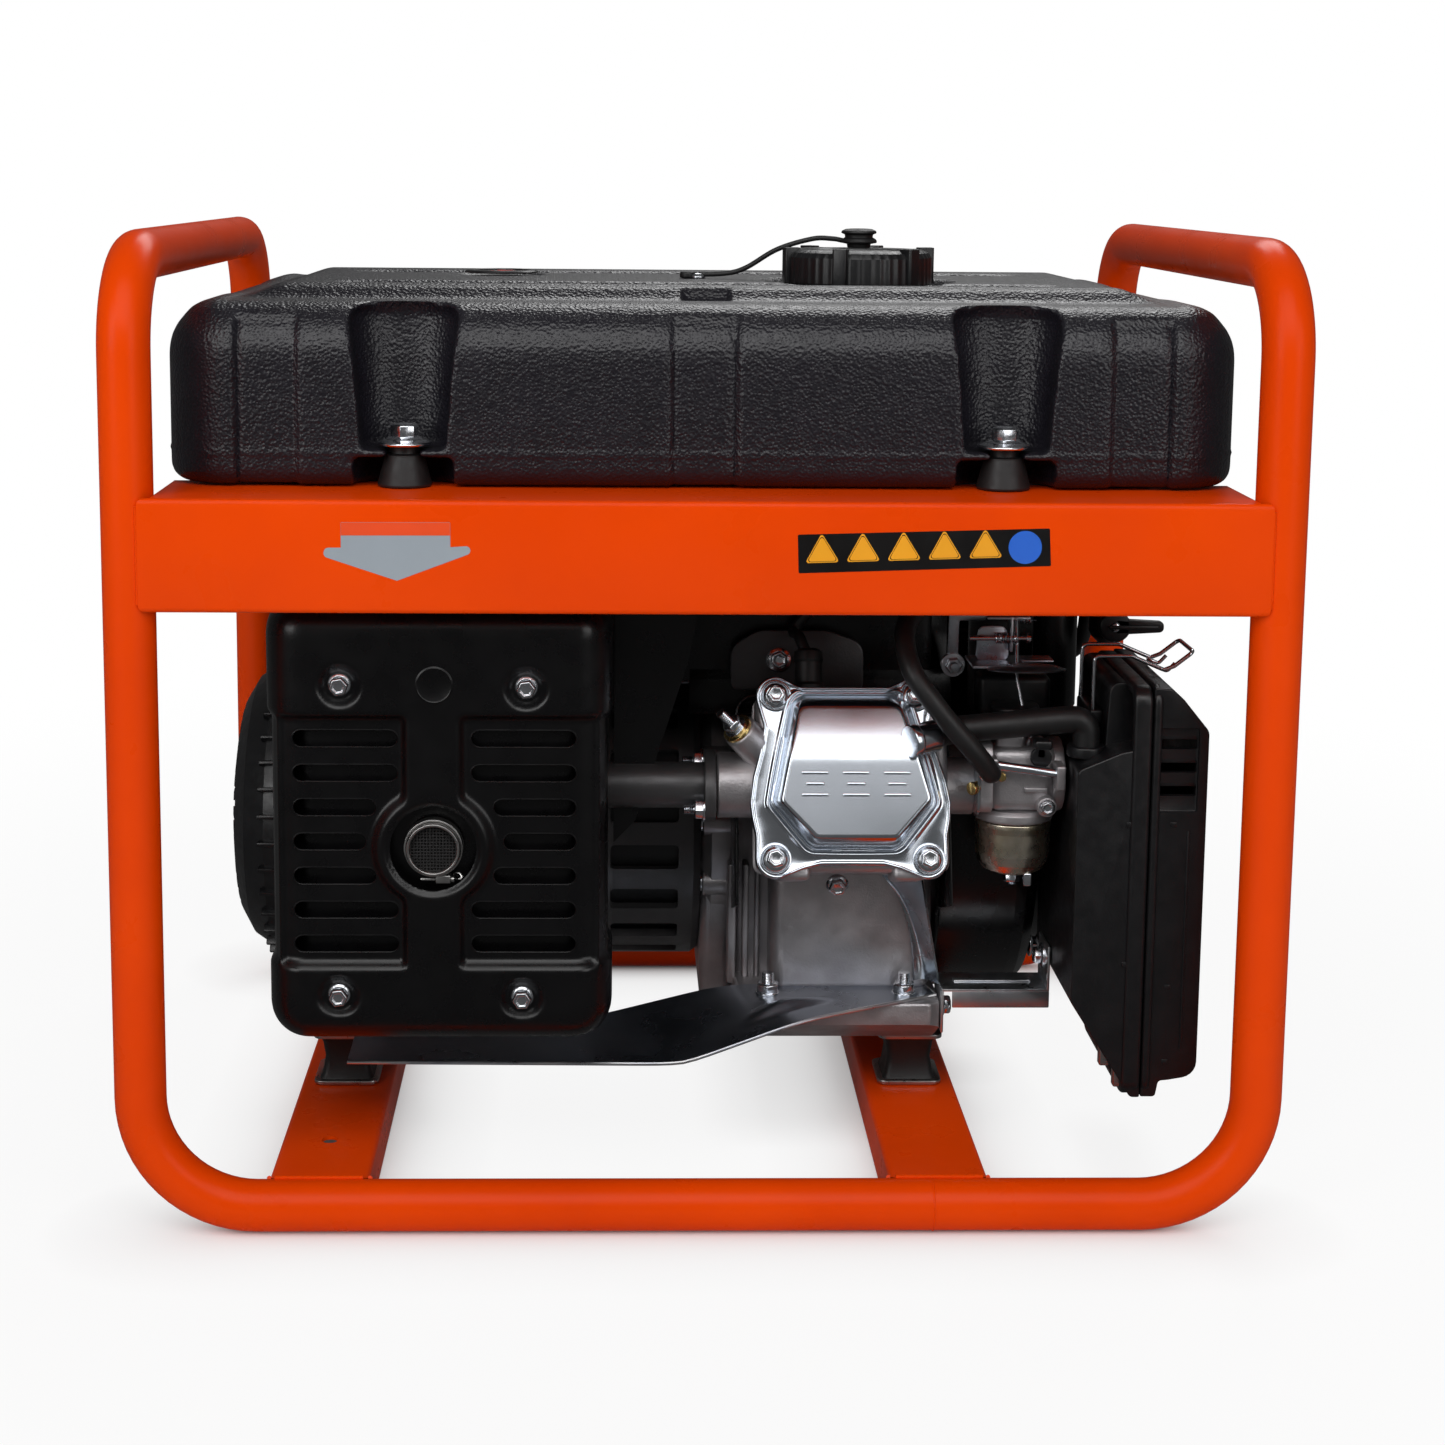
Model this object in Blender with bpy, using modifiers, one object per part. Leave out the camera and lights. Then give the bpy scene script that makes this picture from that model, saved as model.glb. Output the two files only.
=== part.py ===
"""Open-frame portable generator: a bent-tube frame with two folded beams and two cross channels, a moulded
fuel tank on top, and an air-cooled single-cylinder engine that drives an alternator on the same shaft.

Metres, +Z up. X runs along the shaft: the alternator is at -X and the engine at +X. The cylinder head and the
muffler face -Y, and the control panel faces +Y. The origin is under the middle of the frame, on the ground."""

import math

import bmesh
import bpy
from mathutils import Matrix, Vector

# Driving dimensions
GAP = 0.0003                 # between pieces that touch
TUBE_R = 0.0127              # one-inch frame tube
POST_X = 0.27875             # frame centrelines
POST_Y = 0.2000
HANDLE_Z = 0.4844
BOTTOM_BEND = 0.057
HANDLE_BEND = 0.045
SHEET = 0.0015               # folded sheet steel

BEAM_X = 0.272               # half length of the beams' front webs
BEAM_Z = (0.3160, 0.3714)
BEAM_SHELF = 0.068           # how far the beam's top flange reaches inwards
CHANNEL_X = (-0.1914, 0.1207)
CHANNEL_WIDTH = 0.050
CHANNEL_TOP = 2 * TUBE_R
MOUNT_Y = (-0.058, 0.098)    # rubber mounts under the engine and the alternator
BASE_Z = 0.0550              # what stands on the mounts

TANK_X = 0.2680
TANK_Y = 0.1720
TANK_Z = (0.3720, 0.4620)
PLATEAU_TOP = 0.4690
TANK_WALL = 0.004
TANK_BOLT = (0.1490, 0.1620)
FILLER = (0.0890, -0.0200)
FILLER_R = 0.0260

AXIS_Y, AXIS_Z = 0.0200, 0.1600   # the shaft
SHAFT_R = 0.0125
CYLINDER_X = 0.0780
CYLINDER_TILT = math.radians(19)  # above the horizontal, towards -Y
BORE_R = 0.0340
STROKE = 0.0540
DECK = 0.1300                # shaft to the cylinder's top
CASE_X = (0.0220, 0.1320)
FOOT_TOP = 0.0860
FOOT_STUDS = (0.0392, 0.1129)

ALTERNATOR_R = 0.0850
STATOR_X = (-0.1750, -0.0553)
COVER_END_X = -0.2600

MUFFLER_X = (-0.2176, -0.0449)
MUFFLER_Z = (0.0908, 0.3195)
MUFFLER_FRONT = -0.1900
OUTLET = (-0.1340, 0.1930)

FILTER_Y = (-0.1650, -0.0620)
FILTER_SPLIT_X = 0.2285
CARB_Y, CARB_Z = -0.1200, 0.2150
COCK = (0.2320, -0.0300)
SHROUD_R = 0.1035
SHROUD_X = (0.1325, 0.1900)
RECOIL_R = 0.0780
ROPE_RISE = 0.0493           # the rope leaves the pulley at this radius
ROPE_Z = AXIS_Z + ROPE_RISE
ROPE_X = 0.2030

PANEL_X = (-0.2300, -0.0050)
PANEL_Z = (0.2000, 0.3150)
PANEL_Y = (0.1370, 0.1990)

# name: (colour, roughness, metallic)
FINISHES = {
    "orange_paint": ((0.85, 0.17, 0.01), 0.35, 0.0),
    "tank_plastic": ((0.022, 0.021, 0.026), 0.45, 0.0),
    "black_plastic": ((0.02, 0.02, 0.02), 0.5, 0.0),
    "black_enamel": ((0.012, 0.012, 0.012), 0.35, 0.1),
    "rubber": ((0.018, 0.018, 0.018), 0.75, 0.0),
    "cast_aluminium": ((0.45, 0.45, 0.46), 0.5, 0.9),
    "zinc_plate": ((0.50, 0.55, 0.60), 0.3, 1.0),
    "chrome": ((0.75, 0.77, 0.80), 0.12, 1.0),
    "cast_iron": ((0.20, 0.20, 0.21), 0.6, 0.8),
    "foam": ((0.06, 0.06, 0.05), 0.95, 0.0),
    "red_plastic": ((0.6, 0.02, 0.02), 0.4, 0.0),
}


def start_scene():
    for old in list(bpy.data.objects):
        bpy.data.objects.remove(old, do_unlink=True)
    made = []
    for name in ("portable_generator", "cutters"):
        collection = bpy.data.collections.new(name)
        bpy.context.scene.collection.children.link(collection)
        made.append(collection)
    return made


PARTS, CUTTERS = start_scene()


def finish_of(name):
    found = bpy.data.materials.get(name)
    if found:
        return found
    colour, roughness, metallic = FINISHES[name]
    material = bpy.data.materials.new(name)
    material.use_nodes = True
    shader = material.node_tree.nodes["Principled BSDF"]
    shader.inputs["Base Color"].default_value = (*colour, 1)
    shader.inputs["Roughness"].default_value = roughness
    shader.inputs["Metallic"].default_value = metallic
    return material


def add(name, data, finish, location=(0, 0, 0), rotation=(0, 0, 0), parent=None):
    """A part, or a cutter when finish is None."""
    made = bpy.data.objects.new(name, data)
    made.location = location
    made.rotation_euler = rotation
    made.parent = parent
    if finish:
        data.materials.append(finish_of(finish))
        PARTS.objects.link(made)
    else:
        CUTTERS.objects.link(made)
        made.hide_render = True
        made.display_type = "WIRE"
    return made


def bevel(obj, width, segments=2, angle=30):
    modifier = obj.modifiers.new("rounded_edges", "BEVEL")
    modifier.width = width
    modifier.segments = segments
    modifier.limit_method = "ANGLE"
    modifier.angle_limit = math.radians(angle)
    return obj


def boolean(obj, other, operation="DIFFERENCE"):
    modifier = obj.modifiers.new(operation.lower(), "BOOLEAN")
    modifier.operation = operation
    modifier.object = other
    return obj


def box(name, low, high, finish, rounded=0.0, segments=2, parent=None):
    """A block between two corners, with its origin at its middle."""
    low, high = Vector(low), Vector(high)
    mesh = bpy.data.meshes.new(name)
    shape = bmesh.new()
    bmesh.ops.create_cube(shape, size=1.0)
    bmesh.ops.scale(shape, vec=high - low, verts=shape.verts)
    shape.to_mesh(mesh)
    shape.free()
    made = add(name, mesh, finish, (low + high) / 2, parent=parent)
    if rounded:
        bevel(made, rounded, segments)
    return made


AXES = {"X": (0, math.pi / 2, 0), "Z": (0, 0, 0), "-Y": (math.pi / 2, 0, 0), "Y": (-math.pi / 2, 0, 0)}


def rod(name, centre, radius, length, finish, axis="Z", sides=24, end_radius=None, parent=None):
    """A cylinder, or a cone that ends at end_radius, centred on a point."""
    mesh = bpy.data.meshes.new(name)
    shape = bmesh.new()
    bmesh.ops.create_cone(shape, cap_ends=True, segments=sides, radius1=radius,
                          radius2=radius if end_radius is None else end_radius, depth=length)
    shape.to_mesh(mesh)
    shape.free()
    return add(name, mesh, finish, centre, AXES[axis], parent)


def turned(name, profile, finish, centre, axis="Z", steps=32, ring=False, parent=None):
    """A turned piece. The profile is (radius, height) pairs down the outer side; a ring closes on itself."""
    mesh = bpy.data.meshes.new(name)
    edges = [(i, i + 1) for i in range(len(profile) - 1)]
    if ring:
        edges.append((len(profile) - 1, 0))
    mesh.from_pydata([(r, 0, z) for r, z in profile], edges, [])
    made = add(name, mesh, finish, centre, AXES[axis], parent)
    screw = made.modifiers.new("turned", "SCREW")
    screw.axis = "Z"
    screw.steps = screw.render_steps = steps
    screw.use_merge_vertices = True
    screw.merge_threshold = 0.00005
    return made


def as_mesh(obj, finish):
    """The mesh object that stands in for a curve, with its caps welded."""
    bpy.context.view_layer.update()
    graph = bpy.context.evaluated_depsgraph_get()
    mesh = bpy.data.meshes.new_from_object(obj.evaluated_get(graph))
    shape = bmesh.new()
    shape.from_mesh(mesh)
    bmesh.ops.remove_doubles(shape, verts=shape.verts, dist=0.00001)
    bmesh.ops.recalc_face_normals(shape, faces=shape.faces)
    shape.to_mesh(mesh)
    shape.free()
    name, matrix = obj.name, obj.matrix_world.copy()
    bpy.data.objects.remove(obj, do_unlink=True)
    mesh.materials.clear()
    made = add(name, mesh, finish)
    made.matrix_world = matrix
    return made


def loft(name, sections, finish, parent=None, location=(0, 0, 0)):
    """A solid through sections of (outline in X and Z, depth towards -Y), all with the same point count."""
    mesh = bpy.data.meshes.new(name)
    shape = bmesh.new()
    rings = [[shape.verts.new((x, -depth, z)) for x, z in outline] for outline, depth in sections]
    count = len(rings[0])
    for first, second in zip(rings, rings[1:]):
        for i in range(count):
            shape.faces.new((first[i], first[(i + 1) % count], second[(i + 1) % count], second[i]))
    shape.faces.new(rings[0])
    shape.faces.new(rings[-1])
    bmesh.ops.recalc_face_normals(shape, faces=shape.faces)
    shape.to_mesh(mesh)
    shape.free()
    return add(name, mesh, finish, location, parent=parent)


PLANES = {"XY": (0, 0, 0), "XZ": (math.pi / 2, 0, 0), "YZ": (math.pi / 2, 0, math.pi / 2)}


def plate(name, outlines, thickness, finish, plane="XY", middle=0.0):
    """A flat outline, any further ones being holes, with a thickness about the middle of its third axis."""
    curve = bpy.data.curves.new(name, "CURVE")
    curve.dimensions = "2D"
    curve.fill_mode = "BOTH"
    curve.extrude = thickness / 2
    for outline in outlines:
        spline = curve.splines.new("POLY")
        spline.points.add(len(outline) - 1)
        for point, (x, y) in zip(spline.points, outline):
            point.co = (x, y, 0, 1)
        spline.use_cyclic_u = True
    # an outline in X and Z is drawn on a plane that faces -Y
    away = {"XY": (0, 0, middle), "XZ": (0, middle, 0), "YZ": (middle, 0, 0)}[plane]
    made = add(name, curve, finish or "rubber", away, PLANES[plane])
    return as_mesh(made, finish)


def arc(centre, radius, start, end, steps):
    """Points of an arc in the plane, with its angles in degrees."""
    angles = (math.radians(start + (end - start) * i / steps) for i in range(steps + 1))
    return [(centre[0] + radius * math.cos(a), centre[1] + radius * math.sin(a)) for a in angles]


def circle(centre, radius, steps=16):
    return arc(centre, radius, 0, 360, steps)[:-1]


def rounded_outline(low, high, radius, steps=3):
    (x0, y0), (x1, y1) = low, high
    corners = ((x1, y1, 0), (x0, y1, 90), (x0, y0, 180), (x1, y0, 270))
    found = []
    for x, y, start in corners:
        inwards = (x - math.copysign(radius, x - (x0 + x1) / 2), y - math.copysign(radius, y - (y0 + y1) / 2))
        found += arc(inwards, radius, start, start + 90, steps)
    return found


def filleted(corners, radii, steps=5, closed=False):
    """A path through corners, with each corner rounded by an arc of its own radius."""
    corners = [Vector(c) for c in corners]
    count = len(corners)
    found = []
    for i, corner in enumerate(corners):
        if not closed and i in (0, count - 1):
            found.append(corner)
            continue
        before = (corners[i - 1] - corner).normalized()
        after = (corners[(i + 1) % count] - corner).normalized()
        half = before.angle(after) / 2
        radius = radii if isinstance(radii, float) else radii[i]
        middle = corner + (before + after).normalized() * radius / math.sin(half)
        start = corner + before * radius / math.tan(half) - middle
        turn = math.pi - 2 * half
        axis = after.cross(before)
        for k in range(steps + 1):
            angle = turn * k / steps
            found.append(middle + Matrix.Rotation(angle, 3, axis) @ start)
    return found


def tube(name, points, radius, finish, closed=False, resolution=4):
    """A bent tube or wire along a polyline."""
    curve = bpy.data.curves.new(name, "CURVE")
    curve.dimensions = "3D"
    curve.bevel_depth = radius
    curve.bevel_resolution = resolution
    curve.use_fill_caps = not closed
    spline = curve.splines.new("POLY")
    spline.points.add(len(points) - 1)
    for point, place in zip(spline.points, points):
        point.co = (*place, 1)
    spline.use_cyclic_u = closed
    return add(name, curve, finish)


def smooth_path(corners, count):
    """Points of one smooth curve through the given points."""
    corners = [Vector(c) for c in corners]
    ends = [2 * corners[0] - corners[1]] + corners + [2 * corners[-1] - corners[-2]]
    found = []
    spans = len(corners) - 1
    for k in range(count + 1):
        place = k * spans / count
        i = min(int(place), spans - 1)
        t = place - i
        a, b, c, d = ends[i:i + 4]
        found.append(0.5 * (2 * b + (c - a) * t + (2 * a - 5 * b + 4 * c - d) * t ** 2
                            + (3 * b - a - 3 * c + d) * t ** 3))
    return found


# ---------------------------------------------------------------- frame

def tube_frame():
    """One closed loop of tube: a hoop at the front, a hoop at the back, and the two joining handles."""
    x, y, low, high = POST_X, POST_Y, TUBE_R, HANDLE_Z
    corners = [(-x, -y, low), (x, -y, low), (x, -y, high), (x, y, high),
               (x, y, low), (-x, y, low), (-x, y, high), (-x, -y, high)]
    radii = [BOTTOM_BEND, BOTTOM_BEND, HANDLE_BEND, HANDLE_BEND] * 2
    tube("tube_frame", filleted(corners, radii, closed=True), TUBE_R, "orange_paint", closed=True,
         resolution=6)


def beam(name, side):
    """A folded channel between two posts: a web lapping onto them, a wide shelf and a short lower lip."""
    outer = TUBE_R + POST_Y
    low, high = BEAM_Z
    inner_x = POST_X - TUBE_R - GAP
    outline = [(outer, low), (outer, high), (outer - BEAM_SHELF, high), (outer - BEAM_SHELF, high - SHEET),
               (outer - SHEET, high - SHEET), (outer - SHEET, low + SHEET), (outer - 0.012, low + SHEET),
               (outer - 0.012, low)]
    outline = [(side * y, z) for y, z in outline]
    made = plate(name, [outline], 2 * inner_x, "orange_paint", "YZ")
    web = box(name + "_web", (-BEAM_X, side * (outer - SHEET / 2) - SHEET / 2, low),
              (BEAM_X, side * (outer - SHEET / 2) + SHEET / 2, high), None)
    boolean(made, web, "UNION")
    for x in (-TANK_BOLT[0], TANK_BOLT[0]):
        hole = rod(name + "_hole", (x, side * TANK_BOLT[1], high), 0.0046, 0.02, None, sides=12)
        boolean(made, hole)


def cross_channel(name, x, holes):
    """A lipped channel that is coped onto the front and rear rails and stands on its lips."""
    half = CHANNEL_WIDTH / 2
    lip = 0.012
    top = CHANNEL_TOP
    outline = [(-half, 0), (-half, top), (half, top), (half, 0), (half - lip, 0), (half - lip, SHEET),
               (half - SHEET, SHEET), (half - SHEET, top - SHEET), (-half + SHEET, top - SHEET),
               (-half + SHEET, SHEET), (-half + lip, SHEET), (-half + lip, 0)]
    outline = [(x + px, z) for px, z in outline]
    made = plate(name, [outline], 2 * (POST_Y - 0.0030), "orange_paint", "XZ")
    for side in (-1, 1):
        rail = rod(name + "_cope", (x, side * POST_Y, TUBE_R), TUBE_R + GAP, 0.08, None, "X", 32)
        boolean(made, rail)
    for y in holes:
        boolean(made, rod(name + "_hole", (x, y, top), 0.00425, 0.02, None, sides=16))


def rubber_mount(name, x, y):
    """A rubber block between two steel plates."""
    low, high = CHANNEL_TOP + GAP, BASE_Z - GAP
    made = box(name, (x - 0.012, y - 0.012, low + 0.001), (x + 0.012, y + 0.012, high - 0.001), "rubber",
               0.002, 1)
    for z in (low, high - 0.003):
        flange = plate(name + "_plate", [rounded_outline((x - 0.018, y - 0.018), (x + 0.018, y + 0.018),
                                                         0.006)],
                       0.003, None, "XY", z + 0.0015)
        boolean(made, flange, "UNION")


def frame():
    tube_frame()
    beam("front_beam", -1)
    beam("rear_beam", 1)
    cross_channel("cross_channel_left", CHANNEL_X[0], (-0.149, 0.149))
    cross_channel("cross_channel_right", CHANNEL_X[1], ())
    for row, y in (("front", MOUNT_Y[0]), ("rear", MOUNT_Y[1])):
        for end, x in (("left", CHANNEL_X[0]), ("right", CHANNEL_X[1])):
            rubber_mount(f"rubber_mount_{row}_{end}", x, y)


# ---------------------------------------------------------------- fuel system

def rounded_block(name, low, high, finish, upright, top, bottom, segments=4):
    """A moulded block whose upright, top and bottom edges have their own radii."""
    made = box(name, low, high, finish)
    shape = bmesh.new()
    shape.from_mesh(made.data)

    def edges_where(test):
        return [e for e in shape.edges if test(e.verts[0].co, e.verts[1].co)]

    half = (high[2] - low[2]) / 2
    upright_edges = edges_where(lambda a, b: abs(a.z - b.z) > half)
    bmesh.ops.bevel(shape, geom=upright_edges, offset=upright, segments=segments, profile=0.5, affect="EDGES")
    for level, radius in ((half, top), (-half, bottom)):
        rim = edges_where(lambda a, b: abs(a.z - level) < 1e-6 and abs(b.z - level) < 1e-6)
        bmesh.ops.bevel(shape, geom=rim, offset=radius, segments=segments, profile=0.5, affect="EDGES")
    shape.to_mesh(made.data)
    shape.free()
    return made


def fuel_tank():
    """A moulded shell with a plateau, a belly between the beams, four bolt pockets and a filler neck."""
    low, high = TANK_Z
    tank = rounded_block("fuel_tank", (-TANK_X, -TANK_Y, low), (TANK_X, TANK_Y, high), "tank_plastic",
                         0.034, 0.030, 0.010, 3)
    plateau = rounded_block("tank_plateau", (-0.240, -0.115, high - 0.03), (0.240, 0.115, PLATEAU_TOP), None,
                            0.030, 0.006, 0.001, 2)
    belly = rounded_block("tank_belly", (-0.235, -0.138, 0.3500), (0.235, 0.138, low + 0.02), None,
                          0.030, 0.001, 0.010, 2)
    wall = TANK_WALL
    cavity = rounded_block("tank_cavity", (-TANK_X + wall, -0.132, low + wall),
                           (TANK_X - wall, 0.132, high - wall),
                           None, 0.030, 0.027, 0.006, 2)
    belly_cavity = box("tank_belly_cavity", (-0.231, -0.128, 0.3500 + wall), (0.231, 0.128, low + 0.02), None)
    boolean(tank, plateau, "UNION")
    boolean(tank, belly, "UNION")
    boolean(cavity, belly_cavity, "UNION")
    dish = rod("tank_dish", (*FILLER, PLATEAU_TOP), 0.055, 0.010, None, sides=24)
    boolean(tank, dish)
    neck = rod("tank_neck", (*FILLER, PLATEAU_TOP - 0.004), FILLER_R + 0.004, 0.012, None, sides=24)
    boolean(tank, neck, "UNION")
    boolean(tank, cavity)
    boolean(tank, rod("tank_mouth", (*FILLER, PLATEAU_TOP), FILLER_R, 0.05, None, sides=24))
    boolean(tank, rod("tank_outlet", (*COCK, 0.352), 0.005, 0.02, None, sides=12))
    for x in (-TANK_BOLT[0], TANK_BOLT[0]):
        for y in (-TANK_BOLT[1], TANK_BOLT[1]):
            boolean(tank, rod("tank_pocket", (x, y, 0.392 + 0.05), 0.0225, 0.1, None, sides=20))
            boolean(tank, rod("tank_undercut", (x, y, low + 0.0035), 0.0190, 0.020, None, sides=20))
            boolean(tank, rod("tank_bolt_hole", (x, y, low + 0.01), 0.0045, 0.06, None, sides=12))


def tank_bolt(name, x, y):
    """A flange bolt down through the tank's ledge, with the rubber bush that carries the tank on the beam."""
    shelf, ledge = BEAM_Z[1] + GAP, 0.392 + GAP
    profile = [(0, ledge + 0.0085), (0.0062, ledge + 0.0085), (0.0068, ledge + 0.002),
               (0.0115, ledge + 0.001),
               (0.0115, ledge), (0.0040, ledge), (0.0040, 0.3817), (0.0105, 0.3817), (0.0130, shelf),
               (0.0040, shelf), (0.0040, BEAM_Z[1] - 0.012), (0, BEAM_Z[1] - 0.012)]
    turned(name, profile, "zinc_plate", (x, y, 0), steps=12)


def fuel_cap():
    """A lobed cap over the neck, a vent knob on top, and the strap from the knob to the tank."""
    x, y = FILLER
    top = 0.4855
    skirt = 0.4665
    cap = turned("fuel_cap", [(0, top), (0.034, top), (0.040, top - 0.003), (0.040, skirt), (0.0345, skirt),
                              (0.0345, skirt + 0.010), (0, skirt + 0.010)], "black_plastic", (x, y, 0),
                              steps=36)
    for k in range(6):
        angle = math.radians(60 * k + 10)
        place = (x + 0.040 * math.cos(angle), y + 0.040 * math.sin(angle), (top + skirt) / 2)
        lobe = box("cap_lobe", (-0.0035, -0.004, -0.0095), (0.0035, 0.004, 0.0095), None)
        lobe.location = place
        lobe.rotation_euler = (0, 0, angle)
        boolean(cap, lobe, "UNION")
    turned("cap_knob", [(0, 0.4962), (0.0075, 0.4962), (0.0100, 0.4925), (0.0100, 0.4895), (0.0070, 0.4885),
                        (0.0070, top + GAP), (0, top + GAP)], "rubber", (x, y, 0), steps=20)
    route = smooth_path([(x - 0.0107, y, 0.4905), (x - 0.026, y - 0.002, 0.4912),
                         (x - 0.045, y + 0.001, 0.4850),
                         (x - 0.062, y + 0.006, 0.4745), (x - 0.080, y + 0.010, 0.4712),
                         (x - 0.094, y + 0.012, 0.4710)],
                        24)
    tube("cap_tether", route, 0.0016, "rubber", resolution=2)


def fuel_cock():
    x, y = COCK
    low = 0.2660
    cock = turned("fuel_cock", [(0, 0.3497), (0.0110, 0.3497), (0.0110, 0.3440), (0.0065, 0.3430),
                                (0.0065, 0.2920),
                                (0.0105, 0.2900), (0.0105, 0.2700), (0.0070, low), (0, low)],
                  "black_plastic", (x, y, 0), steps=20)
    boolean(cock, rod("cock_spigot", (x - 0.013, y, 0.2990), 0.0032, 0.026, None, "X", 12), "UNION")
    boolean(cock, rod("cock_boss", (x, y - 0.009, 0.2800), 0.0070, 0.012, None, "Y", 16), "UNION")
    front = y - 0.0150 - GAP
    lever = rod("fuel_cock_lever", (x, front - 0.003, 0.2800), 0.0085, 0.006, "black_plastic", "Y", 20)
    blade = box("cock_lever_blade", (x, front - 0.006, 0.2760), (x + 0.0270, front - 0.001, 0.2840), None,
                0.0015, 1)
    boolean(lever, blade, "UNION")


def fuel_system():
    fuel_tank()
    for row, y in (("front", -TANK_BOLT[1]), ("rear", TANK_BOLT[1])):
        for end, x in (("left", -TANK_BOLT[0]), ("right", TANK_BOLT[0])):
            tank_bolt(f"tank_bolt_{row}_{end}", x, y)
    fuel_cap()
    turned("fuel_gauge", [(0, PLATEAU_TOP + 0.0045), (0.014, PLATEAU_TOP + 0.0040),
                          (0.021, PLATEAU_TOP + 0.0020),
                          (0.021, PLATEAU_TOP + GAP), (0, PLATEAU_TOP + GAP)], "black_plastic",
                          (-0.110, 0.030, 0),
           steps=24)
    fuel_cock()
    route = smooth_path([(COCK[0] - 0.0265, COCK[1], 0.2990), (0.200, COCK[1] - 0.001, 0.2992),
                         (0.180, -0.040, 0.3040), (0.140, -0.080, 0.3060), (0.108, -0.128, 0.2990),
                         (0.1060, -0.1500, 0.2790), (0.1200, -0.1585, 0.2580), (0.1380, -0.1590, 0.2370),
                         (0.1478, -0.1540, 0.2243), (0.1480, -0.1466, 0.2240)], 36)
    tube("fuel_hose", route, 0.0050, "rubber", resolution=2)


# ---------------------------------------------------------------- engine

def on_cylinder():
    """An empty on the shaft whose -Y axis runs up the cylinder."""
    found = bpy.data.objects.get("cylinder_axis")
    if not found:
        found = bpy.data.objects.new("cylinder_axis", None)
        found.location = (CYLINDER_X, AXIS_Y, AXIS_Z)
        found.rotation_euler = (-CYLINDER_TILT, 0, 0)
        PARTS.objects.link(found)
    return found


def up_cylinder(along, across=0.0, x=0.0):
    """A world point at a distance up the cylinder from the shaft."""
    c, s = math.cos(CYLINDER_TILT), math.sin(CYLINDER_TILT)
    return Vector((CYLINDER_X + x, AXIS_Y - along * c + across * s, AXIS_Z + along * s + across * c))


def crankcase():
    """The block: a round case on a foot, open at -X, with the cylinder barrel cast on."""
    low, high = CASE_X
    middle = (low + high) / 2
    axis = on_cylinder()
    case = rod("crankcase", (middle, AXIS_Y, AXIS_Z), 0.0780, high - low, "cast_aluminium", "X", 32)
    outline = [(low, -0.0900), (low + 0.023, -0.1090), (low + 0.033, -0.1120), (high, -0.1120),
               (high, 0.1300),
               (low, 0.1300)]
    foot = plate("case_foot", [outline], FOOT_TOP - BASE_Z, None, "XY", (FOOT_TOP + BASE_Z) / 2)
    trunk = box("case_trunk", (low, -0.045, BASE_Z + 0.02), (high, 0.085, AXIS_Z), None)
    barrel = box("case_barrel", (-0.043, -DECK, -0.042), (0.043, -0.040, 0.042), None, 0.004, 1, parent=axis)
    for solid in (foot, trunk, barrel):
        boolean(case, solid, "UNION")
    boolean(case, rod("case_hollow", (low + 0.049, AXIS_Y, AXIS_Z), 0.0680, 0.106, None, "X", 32))
    boolean(case, rod("case_shaft_hole", (high, AXIS_Y, AXIS_Z), SHAFT_R + 0.0010, 0.03, None, "X", 24))
    boolean(case, rod("case_bore", (0, -DECK / 2 - 0.02, 0), BORE_R, DECK + 0.01, None, "Y", 32, parent=axis))
    for x in FOOT_STUDS:
        boolean(case, rod("foot_stud", (x, -0.1000, FOOT_TOP + 0.006), 0.0040, 0.020, None, sides=12),
                "UNION")
    boolean(case, rod("case_filler", (0, 0, 0), 0.0085, 0.050, None, sides=16, parent=dipstick_axis()))
    for k in range(5):
        along = DECK - 0.012 - 0.011 * k
        groove = box("case_fin_gap", (-0.060, -along - 0.0025, -0.060), (0.060, -along + 0.0025, 0.060), None,
                     parent=axis)
        core = rod("case_fin_core", (0, -along, 0), BORE_R + 0.0035, 0.02, None, "Y", 24, parent=axis)
        boolean(groove, core)
        boolean(case, groove)


def dipstick_axis():
    """An empty at the oil filler whose Z axis points out of the case, up and towards +Y."""
    found = bpy.data.objects.new("dipstick_axis", None)
    found.location = (0.0450, 0.1150, FOOT_TOP)
    found.rotation_euler = (math.radians(-40), 0, 0)
    PARTS.objects.link(found)
    return found


def oil_dipstick(axis):
    """A screwed cap with a flat blade that hangs in the oil."""
    turned("oil_dipstick", [(0, 0.0330), (0.0100, 0.0330), (0.0140, 0.0300), (0.0140, 0.0210),
                            (0.0070, 0.0205),
                            (0.0070, -0.0080), (0.0030, -0.0090), (0.0030, -0.0200), (0, -0.0200)],
           "black_plastic", (0, 0, 0), steps=20, parent=axis)


def side_cover():
    """The cover that closes the case on the alternator's side and carries the shaft's bearing."""
    high = CASE_X[0] - GAP
    low = 0.0040
    cover = rod("crankcase_cover", ((low + high) / 2, AXIS_Y, AXIS_Z), 0.0800, high - low,
                "cast_aluminium", "X", 32)
    skirt = box("cover_skirt", (low, -0.0500, BASE_Z + 0.010), (high, 0.0900, AXIS_Z), None, 0.003, 1)
    boolean(cover, skirt, "UNION")
    boolean(cover, rod("cover_hole", (0.01, AXIS_Y, AXIS_Z), SHAFT_R + 0.0010, 0.05, None, "X", 24))


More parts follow.
